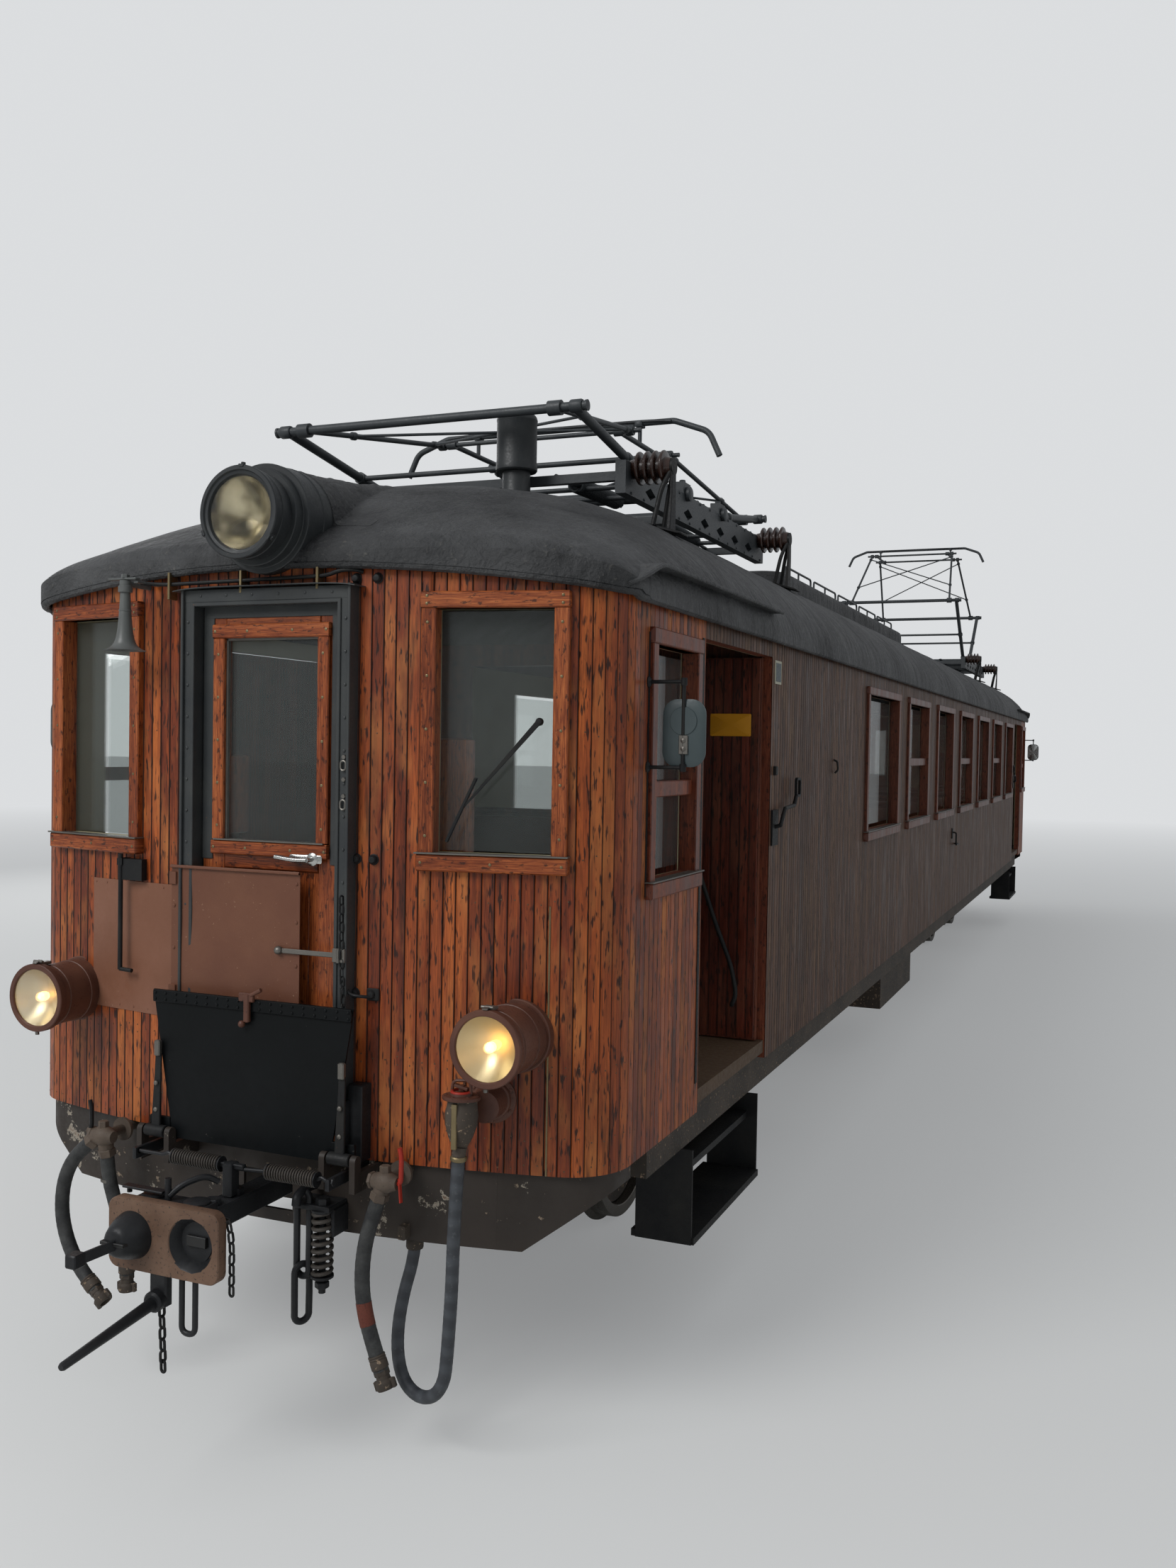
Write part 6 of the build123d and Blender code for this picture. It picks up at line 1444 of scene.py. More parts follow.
def valve(at, tops, handle):
    """Air cock: a turned body across the wall, a hexagon cap, a union nut on each hose and a lever."""
    x, y, z = at
    body = spun([(20, -50), (26, -45), (30, -30), (37, -15), (38, 15), (30, 30), (24, 45), (22, 50)], at,
                ACROSS, 28)
    cap = hexagon((x - 0.062, y, z), (x - 0.046, y, z), 0.03)
    plug = hexagon((x, y, z + 0.03), (x, y, z + 0.058), 0.02)
    stem = spun([(24, 0), (24, 30), (19, 40), (19, 250)], at, (0, 1, 0), 20)
    flange = spun([(45, 0), (45, 12)], (x, y + 0.1, z), (0, 1, 0), 28)
    parts = [body, cap, plug, stem, flange]
    for top in tops:
        top = np.array(top, float)
        back = unit(np.array(at) - top + (0, 0, 0.02))
        parts += [hexagon(top - 0.012 * back, top + 0.02 * back, 0.034),
                  spun([(28, 0), (30, 20), (24, 50), (0, 55)], top + 0.018 * back, back, 24)]
    lever = tube(bend([(x + 0.052, y, z), (x + 0.066, y - 0.005, z + 0.01), (x + 0.07, y - 0.01, z + handle),
                       (x + 0.064, y - 0.012, z + handle + 0.03)], 0.02), 0.0085, 10)
    tongue = bar((x + 0.058, y - 0.002, z + 0.02), (x + 0.07, y - 0.01, z - 0.06), 0.006, 0.018, 0.002,
                 (0, 1, 0))
    return join(*parts), join(lever, tongue)


def make_valves():
    """Air valves at both ends with red and black levers, and a band and tape on the front hoses."""
    right, red = valve((0.582, -9.104, 0.95), [HOSES["hose_right"][0]], 0.1)
    left, black = valve((-0.673, -9.104, 0.95), [HOSES["hose_left_outer"][0], HOSES["hose_left_inner"][0]],
                        0.085)
    black = moved(black, (-0.12, 0, 0.02))
    neck = rod((-0.745, -9.104, 0.965), (-0.7, -9.104, 0.955), 0.015)
    band = spun([(29, -6), (29.5, 0), (29, 6)], (-0.6725, -9.0765, 0.775), (0.1, -0.1, 1), 28)
    make("valve_bodies", both_ends(right, left, neck), VALVE_IRON, old="air_valves")
    make("valve_levers_red", both_ends(red), RED, old="air_valves")
    make("valve_levers_black", both_ends(black), BLACK_IRON, old="air_valves")
    make("hose_band", band, STEEL)
    line = nurbs_line("hose_tape", HOSES["hose_right"])
    line = line[(line[:, 2] > 0.45) & (line[:, 2] < 0.53)]
    make("hose_tape", tube(line, HOSE_R + 0.001, 24, ref=(0.02, 1, 0.03)), TAPE_RED)


def make_mirrors():
    """Round-cornered mirror, its back swelling 6 mm, on a mast with two stays, a pale clamp and two studs."""
    glassy, backs, masts, studs = [], [], [], []
    outline = rounded(0.162, 0.245, 0.055, 10)
    rings = [(0.0, -0.0135), (0.35, -0.013), (0.7, -0.0115), (0.92, -0.009), (1.0, -0.005), (1.0, 0.004),
             (0.96, 0.0055), (0.0, 0.0055)]
    at = (1.45, -8.515, 2.532)
    points = np.stack([xyz(outline[:, 0] * k, h, outline[:, 1] * k) for k, h in rings]) + at
    backs += [(points.reshape(-1, 3), grid_quads(len(rings), len(outline), False, True)),
              spun([(52, 0), (50, 3.5), (0, 4)], (1.45, -8.5275, 2.575), AHEAD, 32)]
    glassy.append(plate(outline * 0.94, (1.45, -8.5085, 2.532), (0, 1, 0), 0.002, edge=0.0005))
    for z in (2.505, 2.475):
        studs.append(spun([(10, 0), (9, 6), (4, 9), (0, 10)], (1.452, -8.531, z), AHEAD, 16))
    studs.append(block(1.435, 1.469, -8.535, -8.527, 2.455, 2.525, 0.002))
    masts.append(rod((1.45, -8.528, 2.4), (1.45, -8.528, 2.724), 0.0072, 12))
    for z in (2.407, 2.717):
        masts += [tube(bend([(1.3, -8.526, z), (1.38, -8.526, z), (1.45, -8.528, z)], 0.02), 0.007, 12),
                  spun([(22, 0), (22, 4), (12, 10), (0, 12)], (HALF_W + PROUD, -8.526, z), ACROSS, 20),
                  spun([(12, -14), (12, 14)], (1.45, -8.528, z), UP, 12)]
    for name, shapes, skin, slot in (("mirror_backs", backs, MIRROR_GREY, "black_iron"),
            ("mirror_glasses", glassy, CHROME, "silvered"),
            ("mirror_masts", masts, BLACK_IRON, "black_iron"), ("mirror_studs", studs, STEEL, "silvered")):
        make(name, both_ends(both_sides(*shapes)), skin, old="mirrors")


def make_side_doors():
    """Side door leaves: boards on both faces and a brass handle. The right-hand leaves stand open."""
    hinge = np.array([1.265, -6.799, 0])
    quarter = [[0, 1, 0], [-1, 0, 0], [0, 0, 1]]

    def opened(shape):
        return (shape[0] - hinge) @ np.array(quarter).T + hinge, shape[1]

    outer = board_patch(lambda s, off=0.0: (1.3052 + off + 0 * s, s), -7.838, -6.792, 1.075, 2.918)
    inner = board_patch(lambda s, off=0.0: (1.2648 - off + 0 * s, s), -7.838, -6.792, 1.075, 2.918)
    outline = [block(1.3, 1.312, -7.843, -7.8, 1.067, 2.923, 0.003),
               block(1.258, 1.27, -7.843, -7.8, 1.067, 2.923, 0.003)]
    knob = join(spun([(22, 0), (22, 4), (12, 8), (10, 30)], (1.31, -7.76, 1.95), ACROSS, 20),
                tube(bend([(1.336, -7.76, 1.95), (1.336, -7.72, 1.95), (1.334, -7.66, 1.945)], 0.01), 0.008,
                     10))
    for name, turn in (("front_right", opened), ("front_left", other_side),
                       ("rear_right", lambda s: other_end(other_side(opened(s)))), ("rear_left", other_end)):
        points, quads, uvs = [], [], []
        for (p, q, uv), turned in ((outer, False), (inner, True)):
            p, q = turn((p, q[:, ::-1] if turned else q))
            quads.append(q + sum(len(k) for k in points))
            points.append(p)
            uvs.append(uv + (130.0 + 3 * turned, 0))
        body = "side_door_" + name
        make("side_door_boards_" + name, (np.concatenate(points), np.concatenate(quads)), DOOR_BOARDS, body,
             uv=np.concatenate(uvs), open_sheet=True)
        make("side_door_edge_" + name, turn(join(*outline)), DARK_TIMBER, body)
        make("side_door_handle_" + name, turn(knob), BRASS, body)
    plate_shape = plate(rounded(0.206, 0.109, 0.006), (1.128, -6.8478, 2.5975), AHEAD, 0.002, edge=0.0005)
    screws = bolt_heads([(1.128 + sx * 0.093, -6.849, 2.5975 + sz * 0.045) for sx in (-1, 1)
                         for sz in (-1, 1)], AHEAD, 0.004, 0.0015, 8)
    make("yellow_plate_front_right", join(plate_shape, screws), YELLOW, "side_door_front_right")
    rail = [(0.985, -6.85, 1.9), (0.99, -6.885, 1.89), (1.075, -6.885, 1.65), (1.165, -6.885, 1.43),
            (1.195, -6.885, 1.29), (1.17, -6.885, 1.235), (1.165, -6.85, 1.235)]
    for end, turn in (("front", same), ("rear", lambda s: other_end(other_side(s)))):
        make("grab_rail_%s_right" % end, turn(tube(bend(rail, 0.05), 0.011, 12, ref=(0.1, 1, 0.05))),
             BLACK_IRON, "side_door_%s_right" % end)


def make_insulators():
    """Insulators: a turned row of four rounded discs, caps at both ends and forked feet."""
    ribs, irons = [], []
    for name in PANTO:
        yc = PANTO[name][0]
        for sy in (-1, 1):
            y = yc + sy * 1.05
            profile = [(0.84, 0.04)]
            for k in range(4):
                c = 0.88 + 0.038 * k
                profile += [(c - 0.012, 0.046), (c - 0.007, 0.066), (c - 0.002, 0.0735), (c + 0.004, 0.0745),
                            (c + 0.009, 0.07), (c + 0.012, 0.048)]
            profile.append((1.03, 0.04))
            ribs.append(round_part(profile, (0, y, INSULATOR_Z), ACROSS, 40))
            irons += [spun([(34, 0), (38, 4), (38, 22), (0, 24)], (1.02, y, INSULATOR_Z), ACROSS, 24),
                      spun([(34, 0), (38, 4), (38, 22), (0, 24)], (0.832, y, INSULATOR_Z), ACROSS, 24)]
            foot = float(roof_z(1.03, y)) - 0.004
            irons.append(carry(oblong(0.07, 0.016, 0.003),
                               [(1.034, y, 3.735), (1.036, y, 3.6), (1.03, y, foot + 0.02), (1.03, y, foot)],
                               ref=ACROSS, scale=[0.8, 0.75, 1.1, 1.3]))
            irons += [tube(bend([(1.03, y + sz * 0.02, 3.7), (1.0, y + sz * 0.05, 3.62),
                                 (0.97, y + sz * 0.07, float(roof_z(0.97, y)))], 0.04), 0.011, 10)
                      for sz in (-1, 1)]
            irons.append(plate(rounded(0.2, 0.12, 0.02), (1.0, y, float(roof_z(1.0, y)) + 0.004),
                               (0.28, 0, 0.96), 0.012, up=(0, 1, 0)))
    make("insulator_ribs", both_sides(*ribs), PORCELAIN, old="insulators")
    make("insulator_feet", both_sides(*irons), BLACK_IRON, old="insulators")


def make_base_details():
    """Bolt heads along the girders, bearing caps on the shafts, lifting springs and cross bars."""
    parts, coils = [], []
    for name in PANTO:
        yc = PANTO[name][0]
        for sx in (-1, 1):
            x = sx * 0.825
            tops = [(x + dx, yc + t, 3.745) for t in np.linspace(-1.1, 1.1, 23) for dx in (-0.014, 0.014)]
            parts.append(bolt_heads(tops, UP, 0.01, 0.009, 6))
            for h in (3.735, 3.61):
                parts.append(bolt_heads([(x + sx * 0.025, yc + t, h) for t in np.linspace(-1.08, 1.08, 14)],
                                        (sx, 0, 0), 0.008, 0.006, 6))
            for sy in (-1, 1):
                y = yc + sy * SHAFT_HALF
                parts += [spun([(30, 0), (36, 4), (36, 20), (30, 24), (0, 25)], (sx * 0.85, y, SHAFT_Z),
                               (sx, 0, 0), 24), hexagon((x, y, 3.803), (x, y, 3.82), 0.016)]
        for sx in (-1, 1):
            coils += [helix((sx * 0.5, yc - 0.9, 3.705), (sx * 0.5, yc - 0.36, 3.72), 0.034, 0.006, 30),
                      helix((sx * 0.5, yc + 0.36, 3.72), (sx * 0.5, yc + 0.9, 3.705), 0.034, 0.006, 30)]
            parts += [rod((sx * 0.5, yc - 1.12, 3.7), (sx * 0.5, yc - 0.34, 3.722), 0.01),
                      rod((sx * 0.5, yc + 0.34, 3.722), (sx * 0.5, yc + 1.12, 3.7), 0.01)]
        for t in (-0.85, -0.6, 0.6, 0.85):
            parts.append(rod((-0.82, yc + t, 3.69), (0.82, yc + t, 3.69), 0.012))
    make("girder_bolts", join(*parts), PANTO_PAINT)
    make("lifting_springs", join(*coils), PANTO_PAINT)


def make_arm_details():
    """Joint hubs, clamps and end caps on the pantograph arms, each riding on its own arm."""
    for name, (yc, angle) in PANTO.items():
        a = math.radians(angle)
        for end, side in (("a", -1), ("b", 1)):
            shaft = np.array([0, yc + side * SHAFT_HALF, SHAFT_Z])
            knee = shaft + (0, side * ARM_L * math.cos(a), ARM_L * math.sin(a))
            top = shaft + (0, 0, 2 * ARM_L * math.sin(a))
            low, high = [], []
            for sx in (-1, 1):
                hub = [(0, -0.028), (0.036, -0.028), (0.04, -0.022), (0.04, 0.022), (0.036, 0.028),
                       (0, 0.028)]
                low += [lathe(hub, shaft + (sx * 0.725, 0, 0), ACROSS, 24),
                        lathe([(r * 0.72, h) for r, h in hub], knee + (sx * 0.735, 0, 0), ACROSS, 24),
                        spun([(23, -6), (24, 4), (0, 8)], knee + (sx * 0.782, 0, 0), (sx, 0, 0), 20)]
                for part in (0.06, 0.45):
                    c = shaft + part * (knee - shaft) + (sx * 0.725, 0, 0)
                    low.append(spun([(28, -20), (30, -16), (30, 16), (28, 20)], c, knee - shaft, 20))
                at_knee, at_top = knee + (sx * 0.635, 0, 0), top + (sx * 0.54, 0, 0)
                for part in BRACE_ENDS:
                    c = at_knee + part * (at_top - at_knee)
                    high.append(spun([(18, -15), (20, -11), (20, 11), (18, 15)], c, at_top - at_knee, 16))
                high.append(spun([(24, -20), (26, -14), (26, 14), (24, 20)], at_top, ACROSS, 20))
            make("arm_hubs_lower_%s_%s" % (name, end), join(*low), PANTO_PAINT,
                 "panto_lower_%s_%s" % (name, end))
            make("arm_hubs_upper_%s_%s" % (name, end), join(*high), PANTO_PAINT,
                 "panto_upper_%s_%s" % (name, end))
        strip_z = SHAFT_Z + 2 * ARM_L * math.sin(a) + 0.11
        run = np.linspace(-1, 1, 61)
        path = xyz(0.66 * run, yc, strip_z + 0.007 - 0.01 * run ** 8)
        strip = carry(oblong(0.05, 0.014, 0.004), path, ref=UP)
        clamps = [block(sx * 0.48 - 0.02, sx * 0.48 + 0.02, yc - 0.03, yc + 0.03, strip_z - 0.022,
                        strip_z + 0.01, 0.003) for sx in (-1, 1)]
        make("collector_strip_" + name, strip, CARBON, "panto_head_" + name)
        make("collector_clamps_" + name, join(*clamps), PANTO_PAINT, "panto_head_" + name)


def make_roof_fittings():
    """Long box on the roof with rounded corners, its hand rails, and the ventilators with stepped bodies."""
    outline = rounded(0.7, 5.8, 0.18, 8)
    steps = [(1.0, 3.55), (1.0, 3.835), (0.992, 3.862), (0.972, 3.884), (0.94, 3.896), (0.9, 3.9)]
    rings = [np.sign(outline) * (np.abs(outline) - 0.35 * (1 - k)) for k, _ in steps]
    rings = [outline * 0] + rings + [outline * 0]
    heights = [steps[0][1]] + [z for _, z in steps] + [steps[-1][1]]
    points = np.stack([xyz(r[:, 0], r[:, 1], z) for r, z in zip(rings, heights)])
    box_shape = points.reshape(-1, 3), grid_quads(len(rings), len(outline), False, True)
    seams = [block(-0.352, 0.352, y - 0.012, y + 0.012, 3.6, 3.84, 0.002)
             for y in (-1.93, -0.97, 0, 0.97, 1.93)]
    rails = []
    for k in range(5):
        for x in (-0.27, 0.27):
            y0, y1 = -2.48 + 1.02 * k, -1.58 + 1.02 * k
            rails += [tube(bend([(x, y0, 3.885), (x, y0, 3.98), (x, y1, 3.98), (x, y1, 3.885)], 0.035),
                           0.009, 12, ref=(1, 0.001, 0.001)),
                      rod((x, (y0 + y1) / 2, 3.885), (x, (y0 + y1) / 2, 3.98), 0.008, 10)]
    vent = spun([(75, 3500), (75, 3575), (64, 3600), (62, 3700), (88, 3702), (93, 3708), (94, 3722),
                 (92, 3728), (92, 3742), (90, 3748), (90, 3920), (92, 3926), (92, 3932), (88, 3945),
                 (78, 3957), (60, 3966), (35, 3971), (10, 3972)], (0.36, -7.69, 0), UP, 56)
    for name, shape, skin, slot in (("roof_box", join(box_shape, *seams), ROOF, "roof_paint"),
            ("roof_rails", join(*rails), PANTO_PAINT, "black_iron"),
            ("ventilators", both_ends(vent), LAMP_DARK, "roof_paint")):
        make(name, shape, skin, old="roof_fittings")


def make_wheels():
    """Wheelset: hub, dished web, rim, rolled tread and flange turned about the axle, and the journals."""
    back, face = 0.4125, 0.4405
    end = 0.5325
    rim = [(back, 0.36), (back, 0.43), (back + 0.003, 0.442), (back + 0.009, 0.448), (back + 0.016, 0.447),
           (back + 0.022, 0.438), (face + 0.004, 0.42), (end - 0.004, 0.417), (end, 0.412), (end, 0.362),
           (end - 0.004, 0.358), (back + 0.004, 0.356)]
    web = [(back - 0.01, 0.066), (back - 0.01, 0.12), (back - 0.006, 0.125), (back + 0.022, 0.13),
           (back + 0.036, 0.2), (back + 0.04, 0.33), (back + 0.02, 0.352), (back + 0.07, 0.352),
           (back + 0.062, 0.33), (back + 0.058, 0.2), (back + 0.062, 0.13), (end - 0.009, 0.125),
           (end - 0.005, 0.12), (end - 0.005, 0.066)]
    axle = [(-0.69, 0.05), (-0.686, 0.055), (-0.55, 0.055), (-0.547, 0.065), (0.547, 0.065), (0.55, 0.055),
            (0.686, 0.055), (0.69, 0.05)]
    for i, y in enumerate(AXLES):
        at = (0, y, AXLE_Z)
        ring = round_part(rim, at, ACROSS, 96)
        disc = round_part(web, at, ACROSS, 64)
        body = "wheelset_%d" % (i + 1)
        make("tyres_%d" % (i + 1), both_sides(ring), TREAD, body, old=body)
        make("wheel_centres_%d" % (i + 1), join(both_sides(disc), round_part(axle, at, ACROSS, 40)),
             DUSTY_IRON, body, old=body)


def cushion(centre, size, crown=0.3, channels=0):
    """Stuffed pad: a box blown up with soft edges, each coordinate a power of the cosines and sines of two
    angles, its faces crowned and drawn in by sewn channels, its sides pulled in between the corners."""
    a = np.linspace(-np.pi / 2, np.pi / 2, 26)[:, None]
    b = np.arange(72)[None] * 2 * np.pi / 72

    def power(v, k):
        return np.sign(v) * np.abs(v) ** k

    x = power(np.cos(a), 0.28) * power(np.cos(b), 0.24)
    y = power(np.cos(a), 0.28) * power(np.sin(b), 0.24)
    z = power(np.sin(a), 0.6) + 0 * b
    waist = 1 - 0.025 * (1 - np.abs(x) ** 2) * (1 - np.abs(y) ** 2)
    waist = waist - 0.012 * np.cos(np.pi * x) * np.cos(np.pi * y)
    dome = 1 + crown * (1 - x ** 2) * (1 - y ** 2)
    if channels:
        seam = np.sin(np.pi * channels * (y + 1) / 2) / 0.16
        dome = dome - 0.16 * np.exp(-seam ** 2) * (np.abs(z) > 0.5)
    points = xyz(x * waist * size[0] / 2, y * waist * size[1] / 2, z * dome * size[2] / 2 / (1 + crown))
    return points.reshape(-1, 3) + np.array(centre), grid_quads(26, 72, False, True)


def piping(centre, size, z):
    """Welt sewn round a cushion."""
    ring = rounded(size[0] * 0.985, size[1] * 0.985, 0.03, 6)
    return tube(np.concatenate([ring, np.full((len(ring), 1), 0.0)], 1) + np.array(centre) + (0, 0, z),
                0.004, 8, closed=True, ref=UP)


def make_seats():
    """Seven rows of back-to-back benches on each side: two seats and two backs on a wooden frame."""
    frames = []
    number = 0
    for row in range(7):
        y = -5.2 + 1.6 * row
        for sx in (-1, 1):
            x = sx * 0.765
            number += 1
            for k, sy in enumerate((-1, 1)):
                at = (x, y + sy * 0.24, 1.448)
                seat = make("seat_cushion_%02d_%d" % (number, k),
                            join(cushion(at, SEAT_SIZE, 0.25, 5), piping(at, SEAT_SIZE, 0.012)), SEAT,
                            old="seats")
                lean = [[1, 0, 0], [0, 0, -sy], [0, sy, 0]]
                pad = moved(join(cushion((0, 0, 0), BACK_SIZE, 0.3, 5), piping((0, 0, 0), BACK_SIZE, 0.008)),
                            (x, y + sy * 0.052, 1.77), lean)
                pad = make("back_cushion_%02d_%d" % (number, k), pad, SEAT, old="seats")
            for e in (x - 0.432, x + 0.418):
                frames += [block(e, e + 0.014, y - 0.42, y + 0.42, 1.31, 1.4, 0.003),
                           block(e, e + 0.014, y - 0.03, y + 0.03, 1.062, 2.06, 0.004)]
            frames += [block(x - 0.43, x + 0.43, y - 0.425, y + 0.425, 1.372, 1.396, 0.004),
                       block(x - 0.432, x + 0.432, y - 0.012, y + 0.012, 1.38, 2.05, 0.003),
                       tube([(x - 0.435, y, 2.052), (x + 0.435, y, 2.052)], 0.02, 12)]
            frames += [block(x - 0.4, x + 0.4, y + sy * 0.1 - 0.01, y + sy * 0.1 + 0.01, 1.062, 1.375, 0.003)
                       for sy in (-1, 1)]
    make("seat_frames", join(*frames), DARK_TIMBER, old="seats")


def make_cab():
    """Driver's controller with its cap and crank, the hand brake wheel on its column, and a wooden box."""
    y = -8.56
    column = spun([(140, 1060), (150, 1070), (150, 1120), (143, 1130), (143, 1880), (150, 1885), (150, 1930),
                   (140, 1945), (20, 1950)], (-0.8, y, 0), UP, 48)
    crank = [rod((-0.8, y, 1.94), (-0.8, y, 1.985), 0.018),
             bar((-0.8, y, 1.975), (-0.68, y - 0.07, 1.98), 0.024, 0.014),
             rod((-0.685, y - 0.066, 1.975), (-0.685, y - 0.066, 2.05), 0.013)]
    post = spun([(70, 1060), (70, 1075), (35, 1085), (32, 1860), (50, 1862), (50, 1895), (10, 1898)],
                (0.82, y, 0), UP, 32)
    a = np.arange(48) * 2 * np.pi / 48
    wheel = tube(xyz(0.82 + 0.185 * np.cos(a), y + 0.185 * np.sin(a), 1.885), 0.013, 10, closed=True, ref=UP)
    spokes = [rod((0.82, y, 1.88), (0.82 + 0.185 * math.cos(t), y + 0.185 * math.sin(t), 1.885), 0.009, 10)
              for t in (0.4, 1.97, 3.54, 5.11)]
    make("cab_columns", both_ends(column, post, wheel, *crank, *spokes), CAB_GREY,
         old="cab_equipment")
    box_shape = join(block(-0.62, -0.42, -8.72, -8.56, 2.1, 2.42, 0.006),
                     block(0.42, 0.66, -8.7, -8.62, 1.9, 2.5, 0.006))
    make("cab_boxes", both_ends(box_shape), JOINERY)


def make_wipers():
    """Wiper on each driver's window: spindle, arm and blade lying down across the glass."""
    pivot = np.array([0.168, -0.034, 2.56])
    blade0, blade1 = np.array([-0.06, -0.006, 2.36]), np.array([-0.165, -0.006, 2.135])
    middle = (blade0 + blade1) / 2 + (0, -0.012, 0)
    arm = carry(oblong(0.02, 0.006, 0.002), [pivot, 0.5 * (pivot + middle), middle], ref=(0, 1, 0),
                scale=[1, 0.7, 0.35])
    blade = [bar(blade0 + (0, -0.012, 0), blade1 + (0, -0.012, 0), 0.01, 0.008, 0.001, (0, 1, 0)),
             bar(blade0, blade1, 0.005, 0.018, 0.001, (0, 1, 0))]
    boss = [spun([(14, 0), (14, 8), (9, 16), (0, 18)], pivot + (0, 0.012, 0), AHEAD, 20),
            bar(pivot + (0, 0, 0.03), pivot + (0, 0, -0.01), 0.014, 0.01)]
    shape = on_end(join(arm, *blade, *boss), END_WIN_X)
    make("wipers", both_ends(shape), BLACK_IRON)


def make_nails():
    """Small nail heads along the boards, round-headed nuts on the end wall, metal strips at the corners."""
    heads = []
    inside = [s for s in np.arange(-27, 28) * BOARD + BOARD / 2 if abs(s) > 0.4 and abs(abs(s) - 0.9) > 0.28]
    under = [s for s in np.arange(-27, 28) * BOARD + BOARD / 2 if 0.6 < abs(s) < 1.2]
    all_way = [s for s in np.arange(-31, 32) * BOARD + BOARD / 2 if abs(s) > 0.4]
    for places, levels in ((inside, (2.52, 2.09)), (under, (1.93,)), (all_way, (1.35, 1.335, 1.1, 1.0))):
        for s in places:
            for k, z in enumerate(levels):
                x, y = end_line(s, PROUD)
                x0, y0 = end_line(s, 0.0)
                lean = unit((float(x) - float(x0), float(y) - float(y0), 0))
                shift = 0.012 * (k % 2 * 2 - 1) * math.copysign(1, math.sin(31 * s))
                heads.append(bolt_heads([(float(x), float(y), z + 0.6 * shift)], lean, 0.0034, 0.0012, 5))
    make("board_nails", both_ends(*heads), DARK_NAIL)
    nuts = []
    for x, zs in ((0.376, (2.06, 1.575)), (0.444, (2.06, 1.575)), (0.364, (3.065,)), (0.448, (3.065,))):
        for z in zs:
            nuts.append(on_end(spun([(20, 0), (20.5, 2), (17, 4), (16.5, 12), (11, 19), (0, 21)], (0, 0, z),
                                    AHEAD, 12), x, PROUD))
    make("wall_nuts", both_ends(*nuts), BLACK_IRON)
    strips = []
    for y, z0, z1 in ((-8.52, 1.93, 2.9), (-7.885, 1.1, 2.93)):
        strips.append(on_side(block(-0.012, 0.012, -PROUD - 0.004, -PROUD + 0.001, z0, z1, 0.001), y))
    make("wall_strips", both_ends(both_sides(*strips)), BLACK_IRON)
    small = [block(HALF_W, HALF_W + 0.02, -6.73, -6.69, 2.355, 2.4, 0.004),
             tube(bend([(HALF_W, -5.34, 2.43), (HALF_W + 0.025, -5.34, 2.42), (HALF_W + 0.03, -5.34, 2.37),
                        (HALF_W + 0.012, -5.34, 2.352)], 0.01), 0.006, 10),
             tube(bend([(HALF_W, 0.1, 1.72), (HALF_W + 0.045, 0.1, 1.72), (HALF_W + 0.045, 0.1, 1.6),
                        (HALF_W + 0.045, 0.3, 1.6), (HALF_W, 0.3, 1.6)], 0.02), 0.008, 10,
                  ref=(0.3, 0.2, 1)), block(HALF_W, HALF_W + 0.014, 0.07, 0.13, 1.66, 1.76, 0.003)]
    make("side_irons", join(*small, other_end(join(*small))), BLACK_IRON)
    face = HALF_W + PROUD
    label = block(face - 0.003, face + 0.004, -6.739, -6.619, 2.803, 2.918, 0.001)
    field = block(face + 0.003, face + 0.005, -6.727, -6.631, 2.815, 2.906, 0.0005)
    make("label_rim", label, LABEL_CREAM)
    make("label_field", field, MIRROR_GREY)
    joint = on_end(block(-0.003, 0.003, -0.003, 0.001, SHEATH_Z0, 1.92, 0.001), 1.09, PROUD)
    make("butt_joint", both_ends(joint), BRASS)


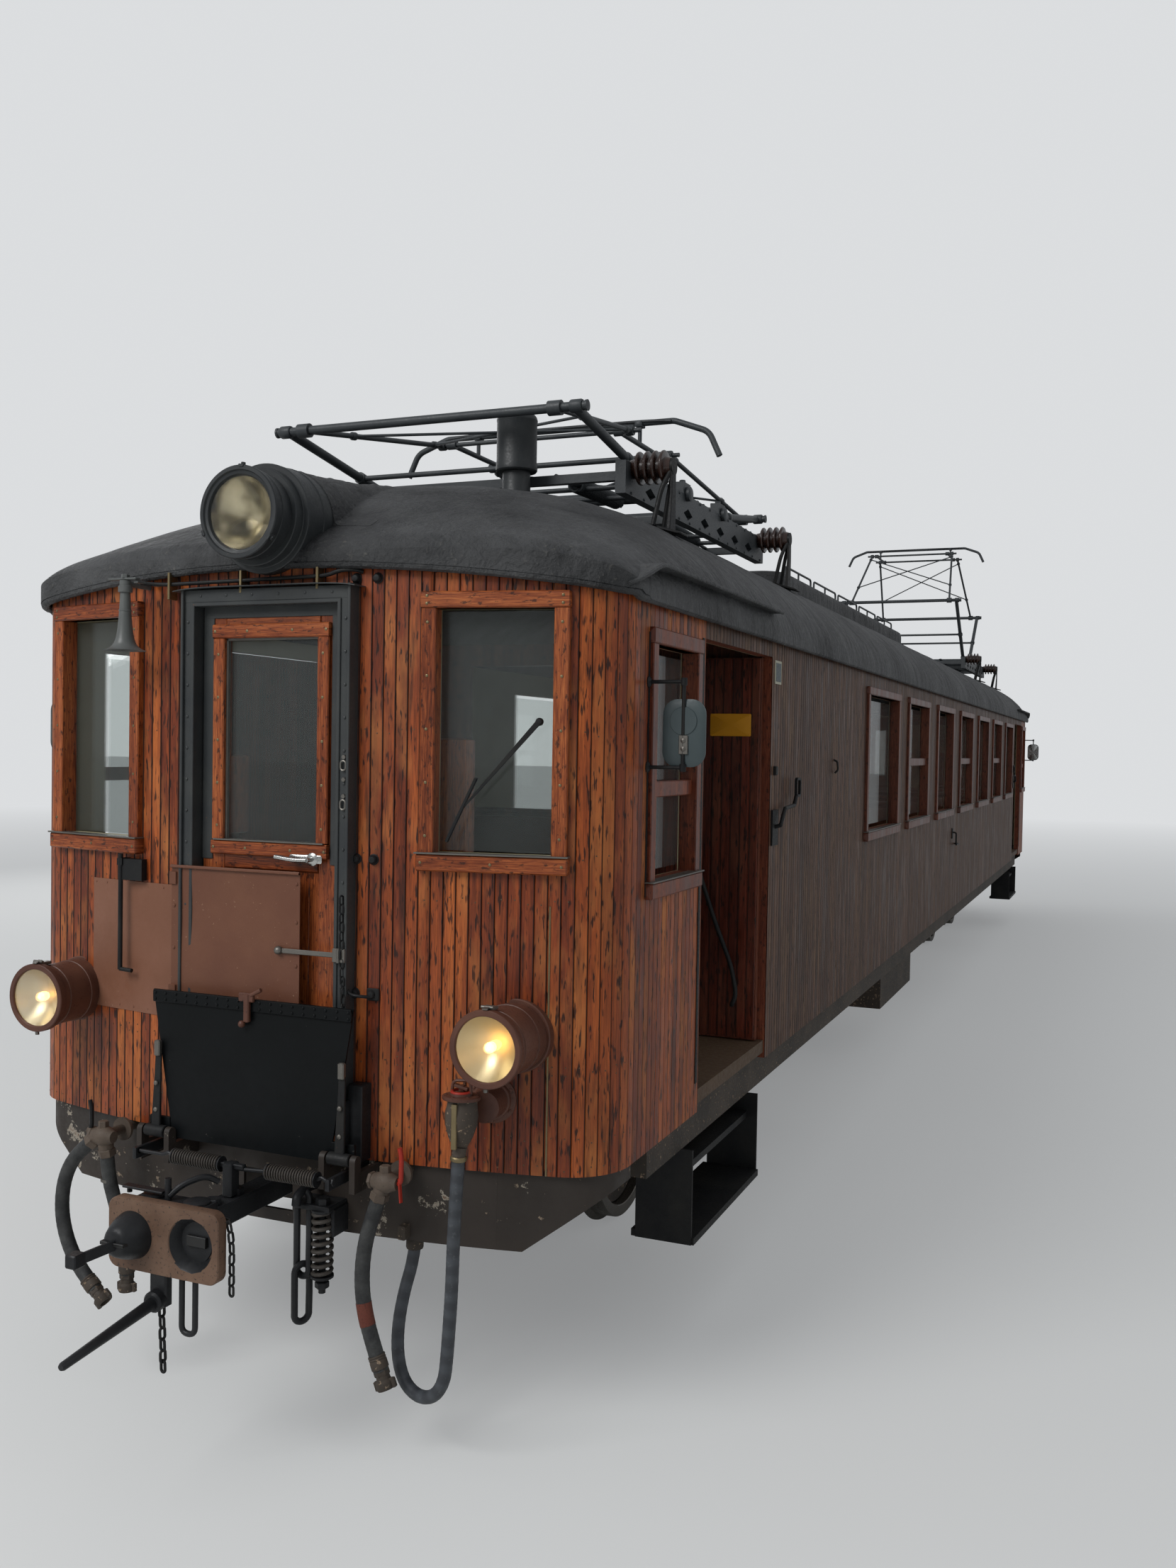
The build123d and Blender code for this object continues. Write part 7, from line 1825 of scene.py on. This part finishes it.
def make_bogie_details():
    """Axle box lids, bolts, curved spring leaves, buckles and brake blocks on the bogies."""
    for name, bogie_y in (("front", -5.6), ("rear", 5.6)):
        parts = []
        for ay in (bogie_y - 1, bogie_y + 1):
            t = np.linspace(-1, 1, 25)
            for k in range(5):
                half = 0.38 - 0.07 * k
                z = 0.776 - 0.0165 * k + 0.018 * (t * half / 0.38) ** 2
                path = xyz(0.64, ay + half * t, z)
                parts.append(carry(oblong(0.074, 0.014, 0.002), path, ref=UP))
            parts += [block(0.597, 0.683, ay - 0.045, ay + 0.045, 0.69, 0.792, 0.004),
                      spun([(85, 700), (85, 722), (70, 732), (20, 736)], (0, ay, AXLE_Z), ACROSS, 28),
                      bolt_heads([(0.716, ay + dy, AXLE_Z + dz) for dy in (-0.092, 0.092)
                                  for dz in (-0.09, 0.09)], ACROSS, 0.013, 0.01)]
            for sy in (-1, 1):
                parts += [rod((0.64, ay + sy * 0.37, 0.62), (0.64, ay + sy * 0.37, 0.795), 0.016),
                          hexagon((0.64, ay + sy * 0.37, 0.798), (0.64, ay + sy * 0.37, 0.818), 0.028)]
                arc = np.linspace(-0.32, 0.32, 9)
                block_path = xyz(0.48, ay + sy * 0.452 * np.cos(arc), 0.46 + 0.452 * np.sin(arc))
                parts += [carry(oblong(0.075, 0.04, 0.004), block_path, ref=ACROSS),
                          bar((0.48, ay + sy * 0.475, 0.46), (0.48, ay + sy * 0.5, 0.75), 0.03, 0.016, 0.003,
                              (0, 1, 0))]
        parts.append(bolt_heads([(0.66, bogie_y + t, z) for t in np.linspace(-1.45, 1.45, 24)
                for z in (0.585, 0.675)], ACROSS, 0.011, 0.008))
        beams = [rod((-0.48, bogie_y + t, 0.5), (0.48, bogie_y + t, 0.5), 0.022)
                 for t in (-1.49, -0.51, 0.51, 1.49)]
        make("bogie_irons_" + name, join(both_sides(*parts), *beams), DUSTY_IRON, "bogie_" + name)


make_cladding()
make_windows()
make_roof()
make_fairing()
make_lips()
make_lamps()
make_horn()
make_door_frame()
make_end_door()
make_plates()
make_fall_plate()
make_coupler()
make_draw_gear()
make_sockets()
make_valves()
make_mirrors()
make_side_doors()
make_insulators()
make_base_details()
make_arm_details()
make_roof_fittings()
make_wheels()
make_seats()
make_cab()
make_wipers()
make_nails()
make_bogie_details()

SKINS = {"underframe": DUSTY_IRON, "headstocks": APRON_IRON, "floor": LINO, "side_wall_left": WALL_INSIDE,
         "side_wall_right": WALL_INSIDE, "end_wall_front": WALL_INSIDE, "end_wall_rear": WALL_INSIDE,
         "bulkheads": DARK_TIMBER, "window_glass": GLASS, "end_door_glass_front": GLASS,
         "end_door_glass_rear": GLASS, "end_door_front": JOINERY, "end_door_rear": JOINERY,
         "door_frames": GREY_FRAME, "headlamps": LAMP_BROWN, "bogie_frame_front": DUSTY_IRON,
         "bogie_frame_rear": DUSTY_IRON, "couplers": RUST, "drawgear_irons": BLACK_IRON,
         "fall_plate_front": FALL_BLACK, "fall_plate_rear": FALL_BLACK, "pantograph_bases": PANTO_PAINT,
         "insulators": PORCELAIN, "roof_fittings": ROOF, "steps": BLACK_IRON, "seats": SEAT,
         "cab_equipment": CAB_GREY, "underfloor_boxes": DUSTY_IRON, "horns": BLACK_IRON,
         "mirrors": MIRROR_GREY, "cover_plates": BROWN_SHEET, "jumper_sockets": LAMP_BROWN,
         "air_valves": DUSTY_IRON, "hose_couplings": DUSTY_IRON, "wall_irons": BLACK_IRON}
for i in range(1, 5):
    SKINS["wheelset_%d" % i] = TREAD
for node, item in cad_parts.items():
    skin = SKINS.get(node) or (DARK_TIMBER if node.startswith("side_door") else PANTO_PAINT)
    item.data.materials.clear()
    item.data.materials.append(skin)
